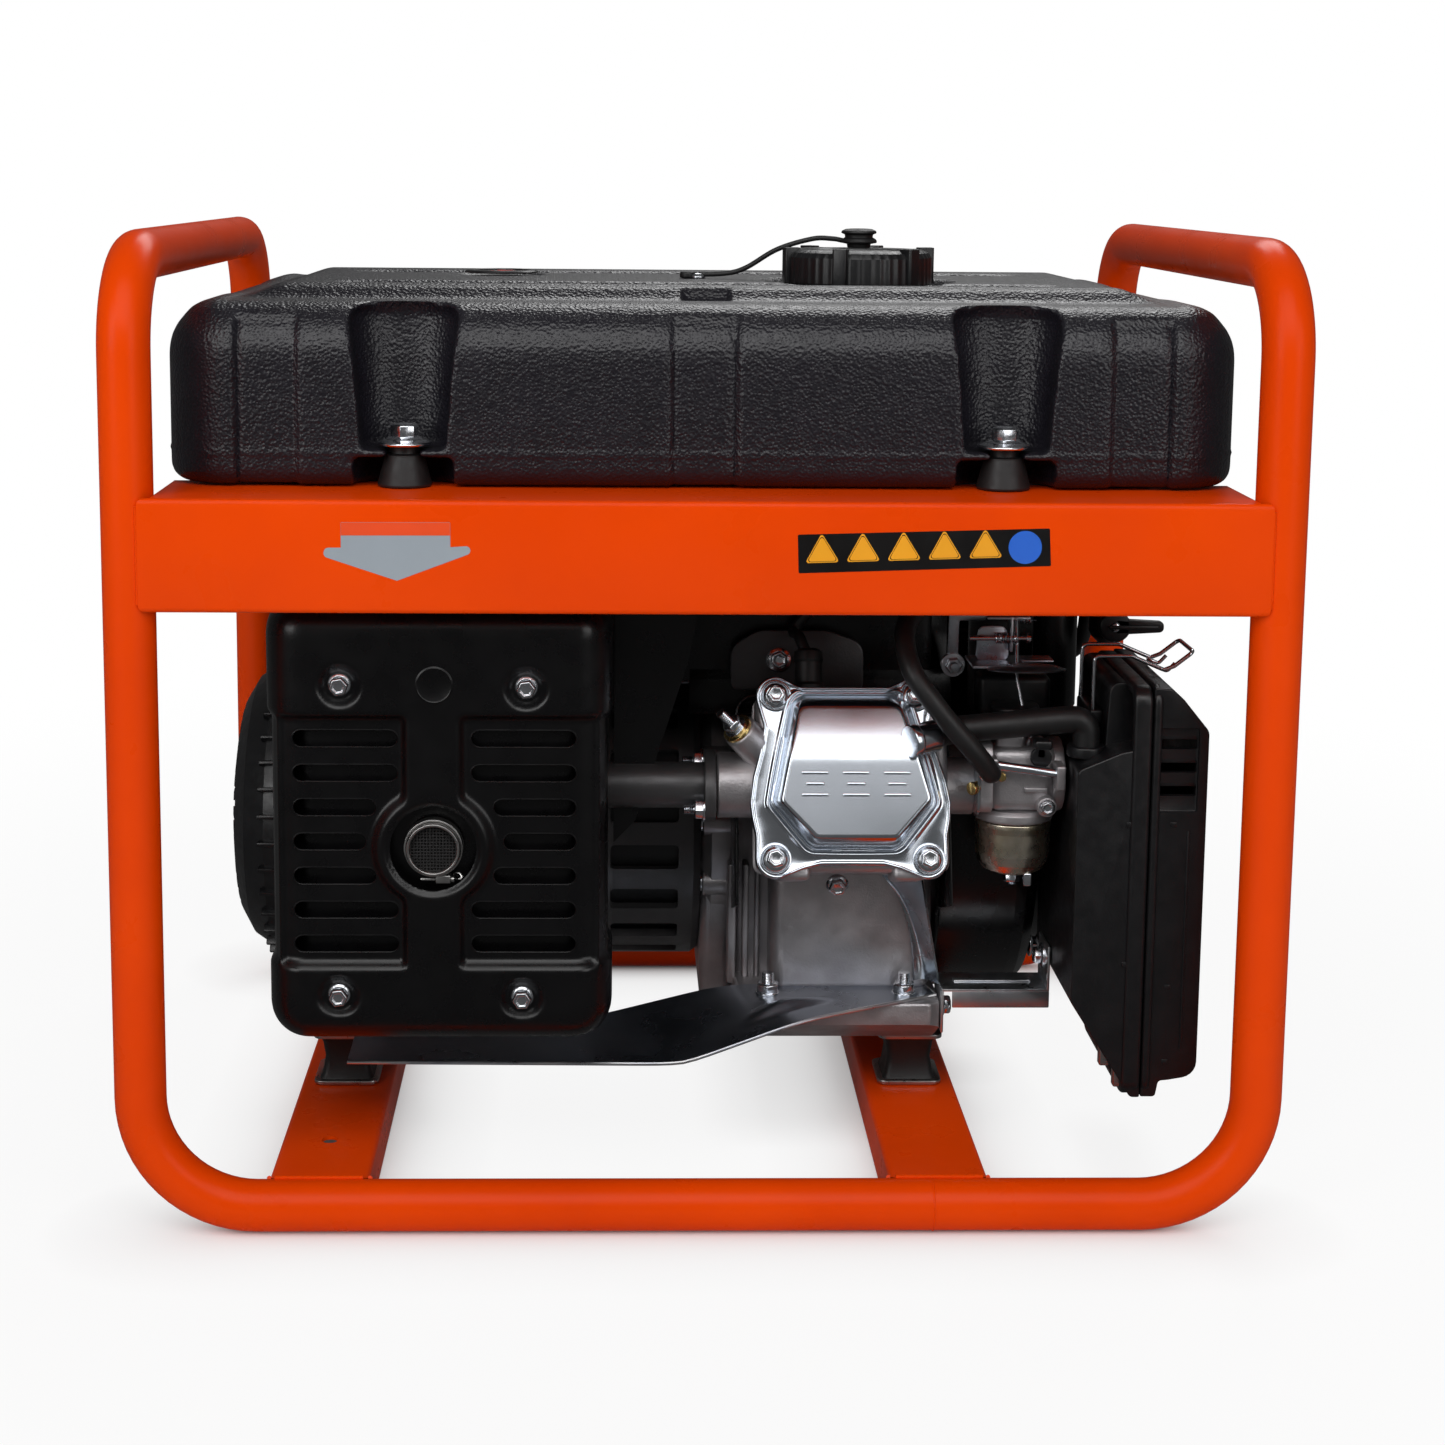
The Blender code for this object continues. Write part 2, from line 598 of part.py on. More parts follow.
def crankshaft():
    """The shaft with its two webs and the crank pin between them, at the top of its stroke."""
    low, high = 0.0005, 0.1850
    shaft = rod("crankshaft", ((low + high) / 2, AXIS_Y, AXIS_Z), SHAFT_R, high - low, "cast_iron", "X", 20)
    axis = on_cylinder()
    gap = rod("crank_throw_gap", (0, 0, 0), 0.02, 0.024, None, "X", 12, parent=axis)
    boolean(shaft, gap)
    for x in (-0.016, 0.016):
        boolean(shaft, rod("crank_web", (x, 0, 0), 0.036, 0.009, None, "X", 24, parent=axis), "UNION")
    boolean(shaft, rod("crank_pin", (0, -0.0220, 0), 0.0120, 0.034, None, "X", 20, parent=axis), "UNION")


def piston():
    turned("piston", [(0, DECK - 0.002), (BORE_R - 0.0005, DECK - 0.002), (BORE_R - 0.0005, DECK - 0.030),
                      (BORE_R - 0.006, DECK - 0.030), (BORE_R - 0.006, DECK - 0.008), (0, DECK - 0.008)],
           "cast_aluminium", (0, 0, 0), "-Y", steps=28, parent=on_cylinder())


def cylinder_head():
    """The finned head, with the exhaust port on its left, the intake on its right and the plug's well."""
    axis = on_cylinder()
    low, high = DECK + GAP, DECK + 0.0380
    head = box("cylinder_head", (-0.049, -high, -0.046), (0.051, -low, 0.046), "cast_aluminium", 0.004, 1,
               parent=axis)
    for k in range(2):
        along = DECK + 0.010 + 0.011 * k
        groove = box("head_fin_gap", (-0.060, -along - 0.0025, -0.060), (0.060, -along + 0.0025, 0.060), None,
                     parent=axis)
        core = box("head_fin_core", (-0.040, -along - 0.01, -0.036), (0.042, -along + 0.01, 0.036), None,
                   parent=axis)
        boolean(groove, core)
        boolean(head, groove)
    port_y, port_z = up_cylinder(DECK + 0.019)[1:]
    left = rod("exhaust_port", (0.0240, port_y, port_z), 0.0170, 0.030, None, "X", 20)
    right = rod("intake_port", (0.1340, port_y, port_z), 0.0150, 0.020, None, "X", 20)
    boolean(head, left, "UNION")
    boolean(head, right, "UNION")
    boolean(head, rod("exhaust_bore", (0.0200, port_y, port_z), 0.0105, 0.060, None, "X", 16))
    boolean(head, rod("intake_bore", (0.1340, port_y, port_z), 0.0105, 0.040, None, "X", 16))
    plug_well = rod("plug_well", (-0.020, -DECK - 0.022, 0.040), 0.0070, 0.024, None, "Z", 16, parent=axis)
    boolean(head, plug_well)


def spark_plug():
    """The plug in its well, with the rubber cap on it."""
    place = (-0.020, -DECK - 0.022, 0)
    turned("spark_plug", [(0, 0.0720), (0.0050, 0.0720), (0.0062, 0.0560), (0.0062, 0.0500), (0.0095, 0.0500),
                          (0.0095, 0.0465), (0.0060, 0.0465), (0.0060, 0.0300), (0, 0.0300)],
           "rubber", place, steps=16, parent=on_cylinder())


def inset(outline, amount):
    """The outline drawn in towards its middle."""
    middle = (sum(x for x, _ in outline) / len(outline), sum(z for _, z in outline) / len(outline))
    return [(x - math.copysign(amount, x - middle[0]), z - math.copysign(amount, z - middle[1]))
            for x, z in outline]


def valve_cover():
    """A pressed cover: a flange with four ears, and a dome with chamfered lower corners."""
    axis = on_cylinder()
    base = DECK + 0.0380 + GAP
    ears = [(-0.0385, 0.0500, 70), (-0.0395, -0.0395, 160), (0.0395, -0.0395, 250), (0.0325, 0.0500, 340)]
    outline = []
    for x, z, start in ears:
        outline += arc((x, z), 0.0105, start, start + 130, 4)
    flange = loft("valve_cover", [(outline, base), (outline, base + 0.0030)], "chrome", axis)
    foot = [(-0.0330, 0.0510), (0.0280, 0.0510), (0.0430, -0.0170), (0.0240, -0.0400), (-0.0290, -0.0400),
            (-0.0430, -0.0170)]
    face = [(-0.0260, 0.0180), (0.0220, 0.0180), (0.0380, -0.0160), (0.0220, -0.0350), (-0.0260, -0.0350),
            (-0.0380, -0.0160)]
    rise = base + 0.0240
    dome = loft("valve_dome", [(foot, base + 0.001), (inset(foot, 0.004), base + 0.0120), (face, rise)],
                None, axis)
    boolean(flange, dome, "UNION")
    hollow = loft("valve_hollow", [(inset(foot, 0.003), base - 0.010), (inset(foot, 0.007), base + 0.0100),
                                   (inset(face, 0.003), rise - 0.003)], None, axis)
    boolean(flange, hollow)


def flywheel():
    """The flywheel on the end of the shaft, with the blades that blow air over the cylinder."""
    low, high = 0.1400, 0.1540
    wheel = turned("flywheel", [(SHAFT_R + GAP, high), (0.0850, high), (0.0880, high - 0.003), (0.0880, low),
                                (SHAFT_R + GAP, low)], "cast_aluminium", (0, AXIS_Y, AXIS_Z), "X", 32,
                                ring=True)
    for k in range(10):
        angle = math.radians(36 * k)
        blade = box("fan_blade", (-0.0110, -0.0020, -0.0150), (0.0110, 0.0020, 0.0150), None)
        blade.location = (high + 0.0100, AXIS_Y + 0.065 * math.sin(angle), AXIS_Z + 0.065 * math.cos(angle))
        blade.rotation_euler = (-angle, 0, 0)
        boolean(wheel, blade, "UNION")


def fan_shroud():
    """The black cup round the flywheel, open towards the cylinder and round the starter."""
    low, high = SHROUD_X
    turned("fan_shroud", [(0.0660, high), (SHROUD_R - 0.012, high), (SHROUD_R - 0.003, high - 0.004),
                          (SHROUD_R, high - 0.013), (SHROUD_R, low), (SHROUD_R - 0.002, low),
                          (SHROUD_R - 0.002, high - 0.012), (SHROUD_R - 0.010, high - 0.002),
                          (0.0660, high - 0.002)], "black_enamel", (0, AXIS_Y, AXIS_Z), "X", 32,
                          ring=True)


def recoil_starter():
    """The pull starter: a cup with a post, the pulley on the post, the rope and its grip."""
    low, high = SHROUD_X[1] + GAP, 0.2200
    cup = turned("recoil_cover", [(0, high), (RECOIL_R - 0.014, high), (RECOIL_R - 0.003, high - 0.006),
                                  (RECOIL_R, high - 0.014), (RECOIL_R, low), (RECOIL_R - 0.002, low),
                                  (RECOIL_R - 0.002, high - 0.013), (RECOIL_R - 0.014, high - 0.002),
                                  (0.0075, high - 0.002), (0.0075, low), (0, low)],
                 "black_enamel", (0, AXIS_Y, AXIS_Z), "X", 32)
    boolean(cup, rod("rope_outlet", (ROPE_X, AXIS_Y + 0.070, ROPE_Z), 0.0045, 0.060, None, "Y", 16))
    for k in range(10):
        angle = math.radians(36 * k)
        slot = box("recoil_slot", (-0.010, -0.0035, -0.0130), (0.010, 0.0035, 0.0130), None)
        slot.location = (high, AXIS_Y + 0.042 * math.sin(angle), AXIS_Z + 0.042 * math.cos(angle))
        slot.rotation_euler = (-angle, 0, 0)
        boolean(cup, slot)
    rim = ROPE_RISE + 0.0032
    turned("recoil_pulley", [(0.0080, 0.2110), (rim, 0.2110), (rim, 0.2080), (rim - 0.0055, 0.2060),
                             (rim - 0.0055, 0.2000), (rim, 0.1980), (rim, 0.1960), (0.0080, 0.1960)],
           "black_plastic", (0, AXIS_Y, AXIS_Z), "X", 32, ring=True)
    start, end = AXIS_Y + 0.0040, 0.1075
    rod("starter_rope", (ROPE_X, (start + end) / 2, ROPE_Z), 0.0019, end - start, "rubber", "Y", 10)
    grip = turned("starter_grip", [(0, 0.1300), (0.0060, 0.1300), (0.0110, 0.1260), (0.0110, 0.1180),
                                   (0.0065, 0.1150),
                                   (0.0060, end + GAP), (0, end + GAP)],
                  "rubber", (ROPE_X, 0, ROPE_Z), "Y", 20)
    bar = box("grip_bar", (ROPE_X - 0.0100, 0.1165, ROPE_Z - 0.0450),
              (ROPE_X + 0.0100, 0.1335, ROPE_Z + 0.0450), None,
              0.0060, 2)
    boolean(grip, bar, "UNION")


def engine():
    crankcase()
    oil_dipstick(bpy.data.objects["dipstick_axis"])
    side_cover()
    crankshaft()
    piston()
    cylinder_head()
    spark_plug()
    valve_cover()
    flywheel()
    fan_shroud()
    recoil_starter()


# ---------------------------------------------------------------- intake

def carburetor():
    """The body between the head and the air filter, its float bowl, and the choke lever on its end."""
    port_y, port_z = up_cylinder(DECK + 0.019)[1:]
    left = 0.1440 + GAP
    body = box("carburetor", (left + 0.006, CARB_Y - 0.020, 0.1960), (0.1850, CARB_Y + 0.018, 0.2340),
               "cast_aluminium", 0.003, 1)
    flange = box("carb_flange", (left, CARB_Y - 0.026, 0.1980), (left + 0.0075, CARB_Y + 0.024, 0.2360),
                 None, 0.002, 1)
    inlet = rod("carb_inlet", (0.1865, CARB_Y, CARB_Z), 0.0180, 0.0080, None, "X", 24)
    rim = rod("carb_rim", (0.1660, CARB_Y, 0.1945), 0.0195, 0.0050, None, "Z", 24)
    nut = rod("carb_hose_tail", (0.1480, -0.1390, 0.2240), 0.0040, 0.014, None, "Y", 12)
    for solid in (flange, inlet, rim, nut):
        boolean(body, solid, "UNION")
    boolean(body, rod("carb_throat", (0.165, CARB_Y, CARB_Z), 0.0105, 0.080, None, "X", 16))
    turned("float_bowl", [(0, 0.1915), (0.0190, 0.1915), (0.0190, 0.1850), (0.0178, 0.1680), (0.0130, 0.1615),
                          (0.0060, 0.1600), (0.0060, 0.1545), (0, 0.1545)],
           "zinc_plate", (0.1660, CARB_Y, 0), steps=24)
    lever = rod("choke_lever", (0.1760, CARB_Y - 0.0218, 0.2290), 0.0055, 0.0030, "black_plastic", "Y", 14)
    arm = box("choke_arm", (0.1745, CARB_Y - 0.0235, 0.2290), (0.1775, CARB_Y - 0.0205, 0.2380), None)
    tab = box("choke_tab", (0.1720, CARB_Y - 0.0300, 0.2335), (0.1800, CARB_Y - 0.0205, 0.2395), None,
              0.001, 1)
    boolean(lever, arm, "UNION")
    boolean(lever, tab, "UNION")


def governor_arm():
    """The lever that works the throttle, on its pivot beside the cylinder."""
    pivot = (0.1380, -0.0800, 0.2650)
    arm = rod("governor_arm", pivot, 0.0065, 0.0030, "zinc_plate", "Y", 16)
    boolean(arm, box("governor_blade", (0.1350, -0.0815, 0.2650), (0.1410, -0.0785, 0.2940), None), "UNION")
    boolean(arm, box("governor_hook", (0.1350, -0.0815, 0.2890), (0.1560, -0.0785, 0.2940), None), "UNION")


def filter_outline(points, low_y, high_y, name, finish):
    return plate(name, [points], high_y - low_y, finish, "XZ", (low_y + high_y) / 2)


def air_filter():
    """The box: a base on the carburetor, a foam element, a louvred cover, and the clip that holds it."""
    low_y, high_y = FILTER_Y
    split = FILTER_SPLIT_X
    base = filter_outline([(split, 0.2720), (0.2080, 0.2720), (0.2080, 0.2330), (0.1912, 0.2330),
                           (0.1912, 0.1050),
                           (0.2240, 0.0540), (split, 0.0540)][::-1], low_y, high_y, "air_filter_base",
                           "black_plastic")
    hollow = filter_outline([(split + 0.01, 0.2640), (0.2110, 0.2640), (0.2110, 0.2295), (0.1942, 0.2295),
                             (0.1942, 0.1070), (0.2240, 0.0680), (split + 0.01, 0.0680)][::-1],
                            low_y + 0.0035, high_y - 0.0035, "base_hollow", None)
    boolean(base, hollow)
    boolean(base, rod("base_inlet", (0.190, CARB_Y, CARB_Z), 0.0150, 0.020, None, "X", 20))
    boolean(base, rod("base_breather", (0.1990, -0.1420, 0.2330), 0.0045, 0.020, None, "Z", 12))

    start = split + GAP
    cover = filter_outline([(start, 0.2720), (0.2400, 0.2700), (0.2653, 0.2475), (0.2653, 0.0830),
                            (0.2560, 0.0670),
                            (0.2490, 0.0630), (0.2340, 0.0630), (0.2340, 0.0545), (start, 0.0545)][::-1],
                           low_y, high_y, "air_filter_cover", "black_plastic")
    boolean(cover, filter_outline([(start - 0.01, 0.2640), (0.2380, 0.2640), (0.2625, 0.2440),
                                   (0.2625, 0.0850),
                                   (0.2540, 0.0690), (0.2480, 0.0670), (start - 0.01, 0.0670)][::-1],
                                  low_y + 0.0030, high_y - 0.0030, "cover_hollow", None))
    for k in range(3):
        z = 0.2400 - 0.0115 * k
        boolean(cover, box("cover_louvre", (0.2420, low_y - 0.006, z - 0.0035),
                           (0.2600, high_y + 0.006, z + 0.0035),
                           None))

    box("air_filter_element", (0.1990, low_y + 0.006, 0.1150), (0.2275, high_y - 0.006, 0.2250), "foam",
        0.002, 1)

    front, back, pivot_x, pivot_z = -0.1300, -0.0980, 0.2045, 0.2480
    profile = [(pivot_x, pivot_z), (pivot_x, 0.2800), (0.2240, 0.2800), (0.2350, 0.2760), (0.2460, 0.2748),
               (0.2560, 0.2825)]
    wire = [(x, front, z) for x, z in profile] + [(x, back, z) for x, z in reversed(profile)]
    tube("air_filter_clip", filleted(wire, 0.0012, 1), 0.0010, "zinc_plate", resolution=2)

    left, right, level = CASE_X[1] + GAP, 0.1907, 0.0945
    filter_outline([(left, 0.0680), (left, level + SHEET), (right - SHEET, level + SHEET),
                    (right - SHEET, 0.1160),
                    (right, 0.1160), (right, level), (left + SHEET, level), (left + SHEET, 0.0680)][::-1],
                   -0.1080, -0.0800, "air_filter_bracket", "zinc_plate")


def breather_hose():
    route = filleted([(0.1150, -0.1420, 0.2430), (0.1350, -0.1420, 0.2440), (0.1990, -0.1420, 0.2500),
                      (0.1990, -0.1420, 0.2333)], 0.0080, 5)
    tube("breather_hose", route, 0.0072, "rubber", resolution=4)


def intake():
    carburetor()
    governor_arm()
    air_filter()
    breather_hose()


# ---------------------------------------------------------------- exhaust

def stadium(cx, cz, length, height, steps=3):
    half = (length - height) / 2
    right = arc((cx + half, cz), height / 2, -90, 90, steps)
    left = arc((cx - half, cz), height / 2, 90, 270, steps)
    return right + left


def muffler_slots():
    """(x, z, length) of the guard's slots: seven rows each side, shorter beside the outlet."""
    rows = []
    top, pitch = 0.2485, 0.01750
    lengths = (0.0520, 0.0520, 0.0410, 0.0360, 0.0410, 0.0520, 0.0520)
    for side in (-1, 1):
        outer = -0.2034 if side < 0 else -0.0632
        for k, length in enumerate(lengths):
            rows.append((outer - side * length / 2, top - pitch * k, length))
    return rows


def exhaust():
    """The pipe from the head, the silencer, its slotted guard, and the plate that carries them."""
    port_y, port_z = up_cylinder(DECK + 0.019)[1:]
    low_x, high_x = MUFFLER_X
    low_z, high_z = MUFFLER_Z
    body = rounded_block("muffler_body", (low_x + 0.006, -0.1780, low_z + 0.006),
                         (high_x - 0.006, -0.0900, high_z - 0.006),
                         "black_enamel", 0.018, 0.016, 0.016, 2)
    boolean(body, rod("outlet_stub", (OUTLET[0], -0.1780, OUTLET[1]), 0.0135, 0.020, None, "Y", 24), "UNION")
    boolean(body, rod("outlet_bore", (OUTLET[0], -0.1700, OUTLET[1]), 0.0115, 0.060, None, "Y", 24))
    chamber = rounded_block("muffler_chamber", (low_x + 0.009, -0.1750, low_z + 0.009),
                            (high_x - 0.009, -0.0930, high_z - 0.009), None, 0.015, 0.013, 0.013, 2)
    boolean(body, chamber)
    boolean(body, rod("muffler_inlet", (high_x - 0.012, port_y, port_z), 0.0105, 0.030, None, "X", 16))

    guard = rounded_block("muffler_guard", (low_x, MUFFLER_FRONT, low_z), (high_x, -0.1100, high_z),
                          "black_enamel",
                          0.020, 0.019, 0.019, 2)
    inner = rounded_block("guard_hollow", (low_x + SHEET, MUFFLER_FRONT + SHEET, low_z + SHEET),
                          (high_x - SHEET, -0.0800, high_z - SHEET), None, 0.0185, 0.0175, 0.0175, 2)
    boolean(guard, inner)
    boolean(guard, box("guard_open_back", (low_x - 0.01, -0.1320, low_z - 0.01),
                       (high_x + 0.01, -0.1, high_z + 0.01), None))
    outlines = [stadium(x, z, length, 0.0082) for x, z, length in muffler_slots()]
    for k, outline in enumerate(outlines):
        boolean(guard, plate(f"guard_slot_{k}", [outline[::-1]], 0.020, None, "XZ", MUFFLER_FRONT))
    boolean(guard, rod("guard_mouth", (OUTLET[0], MUFFLER_FRONT, OUTLET[1]), 0.0220, 0.030, None, "Y", 32))

    right = 0.0090 - GAP
    pipe = rod("exhaust_pipe", ((high_x - 0.005 + right) / 2, port_y, port_z), 0.0120,
               right - high_x + 0.005 - GAP, "black_enamel",
               "X", 20)
    boolean(pipe, rod("pipe_flange", (right - 0.003, port_y, port_z), 0.0210, 0.006, None, "X", 20), "UNION")
    boolean(pipe, rod("pipe_bore", (-0.02, port_y, port_z), 0.0100, 0.12, None, "X", 16))
    boolean(guard, rod("guard_pipe_gap", (high_x, port_y, port_z), 0.0140, 0.012, None, "X", 20))

    muffler_bracket()


def muffler_bracket():
    """A sheet bolted on the engine's foot that slopes down to a flat shelf under the silencer."""
    shelf, foot = BASE_Z + 0.0120 + GAP, FOOT_TOP + GAP
    front = [(-0.1820, -0.1500, shelf), (-0.0080, -0.1530, shelf), (0.0560, -0.1400, foot),
             (0.1300, -0.1020, foot)]
    back = [(-0.1820, -0.0600, shelf), (-0.0600, -0.0880, shelf), (0.0140, -0.0880, foot),
            (0.1240, -0.0780, foot)]
    grid = bmesh.new()
    bmesh.ops.create_grid(grid, x_segments=3, y_segments=1, size=1)
    for corners, row in ((front, -1), (back, 1)):
        found = sorted((v for v in grid.verts if v.co.y * row > 0), key=lambda v: v.co.x)
        for vert, corner in zip(found, corners):
            vert.co = corner
    mesh = bpy.data.meshes.new("muffler_bracket")
    grid.to_mesh(mesh)
    grid.free()
    bracket = add("muffler_bracket", mesh, "zinc_plate")
    thickness = bracket.modifiers.new("sheet", "SOLIDIFY")
    thickness.thickness = SHEET
    thickness.offset = 1
    for x in FOOT_STUDS:
        boolean(bracket, rod("bracket_hole", (x, -0.1000, foot), 0.0044, 0.02, None, sides=12))


# ---------------------------------------------------------------- alternator

def alternator():
    """The slotted front bracket, the stator, the rotor on its shaft, the rear bracket and the end cover."""
    at = (0, AXIS_Y, AXIS_Z)
    radius = ALTERNATOR_R
    low, high = STATOR_X[1] + GAP, 0.0040 - GAP
    bracket = turned("alternator_front_bracket", [(radius - 0.010, high), (radius - 0.002, high),
                                                  (radius, high - 0.004),
                                                  (radius, low), (radius - 0.005, low),
                                                  (radius - 0.005, high - 0.005),
                                                  (radius - 0.010, high - 0.005)],
                     "cast_aluminium", at, "X", 32, ring=True)
    for k in range(12):
        angle = math.radians(30 * k + 8)
        slot = box("bracket_slot", (-0.0190, -0.0060, -0.0100), (0.0190, 0.0060, 0.0100), None)
        slot.location = (-0.0270, AXIS_Y + radius * math.sin(angle), AXIS_Z + radius * math.cos(angle))
        slot.rotation_euler = (-angle, 0, 0)
        boolean(bracket, slot)

    left, right = STATOR_X
    turned("stator", [(0.0485, right), (radius - 0.002, right), (radius - 0.002, left), (0.0485, left)],
           "cast_iron", at, "X", 32, ring=True)
    turned("rotor", [(0, 0.0000), (SHAFT_R, 0.0000), (SHAFT_R, -0.0320), (0.0600, -0.0330), (0.0600, -0.0420),
                     (0.0200, -0.0430), (0.0200, -0.0620), (0.0475, -0.0630), (0.0475, -0.1670),
                     (0.0140, -0.1680),
                     (0.0095, -0.1700), (0.0095, -0.1960), (0, -0.1960)], "cast_iron", at, "X", 28)

    end, start = left - GAP, -0.2000
    rear = rod("alternator_rear_bracket", ((start + end) / 2, AXIS_Y, AXIS_Z), radius - 0.001, end - start,
               "cast_aluminium", "X", 36)
    foot = box("rear_foot", (start, MOUNT_Y[0] - 0.016, BASE_Z),
               (end, MOUNT_Y[1] + 0.016, BASE_Z + 0.012), None, 0.002, 1)
    trunk = box("rear_trunk", (start, -0.030, BASE_Z + 0.002), (end, 0.070, AXIS_Z), None)
    boolean(rear, foot, "UNION")
    boolean(rear, trunk, "UNION")
    boolean(rear, rod("rear_bore", (-0.19, AXIS_Y, AXIS_Z), 0.0098, 0.08, None, "X", 20))

    face = COVER_END_X
    rim = start - GAP
    cover = turned("alternator_end_cover", [(0, face + 0.0025), (0.050, face + 0.0025),
                                            (radius - 0.018, -0.2510),
                                            (radius - 0.008, -0.2400), (radius - 0.003, -0.2250),
                                            (radius - 0.003, rim), (radius + 0.001, rim),
                                            (radius + 0.001, -0.2250),
                                            (radius - 0.005, -0.2420), (radius - 0.016, -0.2540),
                                            (0.050, face),
                                            (0, face)], "black_plastic", at, "X", 32)
    for k in range(12):
        angle = math.radians(30 * k)
        slot = box("end_slot", (-0.0120, -0.0030, -0.0140), (0.0120, 0.0030, 0.0140), None)
        slot.location = (face, AXIS_Y + 0.046 * math.sin(angle), AXIS_Z + 0.046 * math.cos(angle))
        slot.rotation_euler = (-angle, 0, 0)
        boolean(cover, slot)


# ---------------------------------------------------------------- control panel

def control_panel():
    """The box under the rear beam: two sockets under flaps, the engine switch, the breaker and the meter."""
    low_x, high_x = PANEL_X
    low_z, high_z = PANEL_Z
    back, face = PANEL_Y
    panel = box("control_panel", (low_x, back, low_z), (high_x, face, high_z), "black_enamel", 0.004, 1)
    boolean(panel, box("panel_inside", (low_x + 0.002, back - 0.01, low_z + 0.002),
                       (high_x - 0.002, face - 0.003, high_z - 0.002), None))
    sockets = (-0.1750, -0.1150)
    for x in sockets:
        ring = rod("socket_ring", (x, face, 0.2440), 0.0230, 0.0120, None, "Y", 24)
        boolean(panel, ring, "UNION")
    for x in sockets:
        boolean(panel, rod("socket_well", (x, face + 0.002, 0.2440), 0.0195, 0.0120, None, "Y", 24))
    boolean(panel, rod("meter_bezel", (-0.0500, face, 0.2850), 0.0220, 0.0080, None, "Y", 24), "UNION")
    boolean(panel, box("switch_hole", (-0.0720, face - 0.02, 0.2220), (-0.0480, face + 0.02, 0.2500), None))
    boolean(panel, rod("breaker_hole", (-0.0250, face, 0.2360), 0.0065, 0.040, None, "Y", 16))
    for name, x in zip(("socket_flap_left", "socket_flap_right"), sockets):
        flap = rod(name, (x, face + 0.0080, 0.2440), 0.0225, 0.0030, "black_plastic", "Y", 24)
        hinge = rod("flap_hinge", (x, face + 0.0080, 0.2700), 0.0022, 0.0200, None, "X", 12)
        web = box("flap_web", (x - 0.0090, face + 0.0068, 0.2600), (x + 0.0090, face + 0.0092, 0.2700), None)
        boolean(flap, web, "UNION")
        boolean(flap, hinge, "UNION")
    box("engine_switch", (-0.0710, face - 0.0080, 0.2250), (-0.0490, face + 0.0040, 0.2470),
        "red_plastic", 0.002, 1)
    rod("breaker_button", (-0.0250, face + 0.0020, 0.2360), 0.0060, 0.0160, "red_plastic", "Y", 16)


frame()
fuel_system()
engine()
intake()
exhaust()
alternator()
control_panel()
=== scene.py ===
"""Looks of a portable petrol generator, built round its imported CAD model.

Lengths are metres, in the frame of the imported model."""
import math

import bmesh
import bpy
import numpy as np
from mathutils import Matrix, Vector


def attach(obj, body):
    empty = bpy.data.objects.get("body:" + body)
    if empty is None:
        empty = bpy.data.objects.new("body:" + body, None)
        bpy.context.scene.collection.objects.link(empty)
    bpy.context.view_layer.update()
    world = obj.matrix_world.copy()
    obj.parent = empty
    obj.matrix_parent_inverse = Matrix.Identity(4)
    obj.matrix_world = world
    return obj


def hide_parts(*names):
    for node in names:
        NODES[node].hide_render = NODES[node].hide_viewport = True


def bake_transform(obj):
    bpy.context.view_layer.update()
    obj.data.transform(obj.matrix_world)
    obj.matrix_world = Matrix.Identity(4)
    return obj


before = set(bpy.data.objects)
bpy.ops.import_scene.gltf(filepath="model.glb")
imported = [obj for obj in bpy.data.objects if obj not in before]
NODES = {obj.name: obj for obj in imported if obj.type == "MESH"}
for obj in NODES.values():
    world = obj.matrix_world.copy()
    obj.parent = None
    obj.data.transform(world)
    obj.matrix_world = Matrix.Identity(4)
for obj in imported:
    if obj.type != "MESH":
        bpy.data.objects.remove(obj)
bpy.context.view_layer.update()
SCENE = bpy.context.scene

# Driving dimensions shared with the CAD source
TUBE_R = 0.0127
POST_X, POST_Y, HANDLE_Z = 0.27875, 0.2000, 0.4844
BEAM_X, BEAM_Z, BEAM_SHELF = 0.272, (0.3160, 0.3714), 0.068
CHANNEL_X, CHANNEL_TOP = (-0.1914, 0.1207), 0.0254
MOUNT_Y, BASE_Z = (-0.058, 0.098), 0.0550
TANK_X, TANK_Y, TANK_Z, PLATEAU_TOP = 0.2680, 0.1720, (0.3720, 0.4620), 0.4690
TANK_BOLT = (0.1490, 0.1620)
FILLER = (0.0890, -0.0200)
AXIS_Y, AXIS_Z, SHAFT_R = 0.0200, 0.1600, 0.0125
CYLINDER_X, CYLINDER_TILT, DECK = 0.0780, math.radians(19), 0.1300
CASE_X, FOOT_TOP, FOOT_STUDS = (0.0220, 0.1320), 0.0860, (0.0392, 0.1129)
ALTERNATOR_R, STATOR_X, COVER_END_X = 0.0850, (-0.1750, -0.0553), -0.2600
MUFFLER_X, MUFFLER_Z, MUFFLER_FRONT = (-0.2176, -0.0449), (0.0908, 0.3195), -0.1900
OUTLET = (-0.1340, 0.1930)
GUARD_BOLTS = ((-0.1797, 0.2758), (-0.0878, 0.2747), (-0.1814, 0.1175), (-0.0899, 0.1162))
FILTER_Y, FILTER_SPLIT_X = (-0.1650, -0.0620), 0.2285
CARB_Y, CARB_Z = -0.1200, 0.2150
COCK = (0.2320, -0.0300)
SHROUD_R, SHROUD_X, RECOIL_R = 0.1035, (0.1325, 0.1900), 0.0780
ROPE_X, ROPE_RISE = 0.2030, 0.0493
PANEL_X, PANEL_Z, PANEL_Y = (-0.2300, -0.0050), (0.2000, 0.3150), (0.1370, 0.1990)
SOCKETS, SOCKET_Z = (-0.1750, -0.1150), 0.2440
GAUGE, METER, BREAKER = (-0.1100, 0.0300), (-0.0500, 0.2850), (-0.0250, 0.2360)
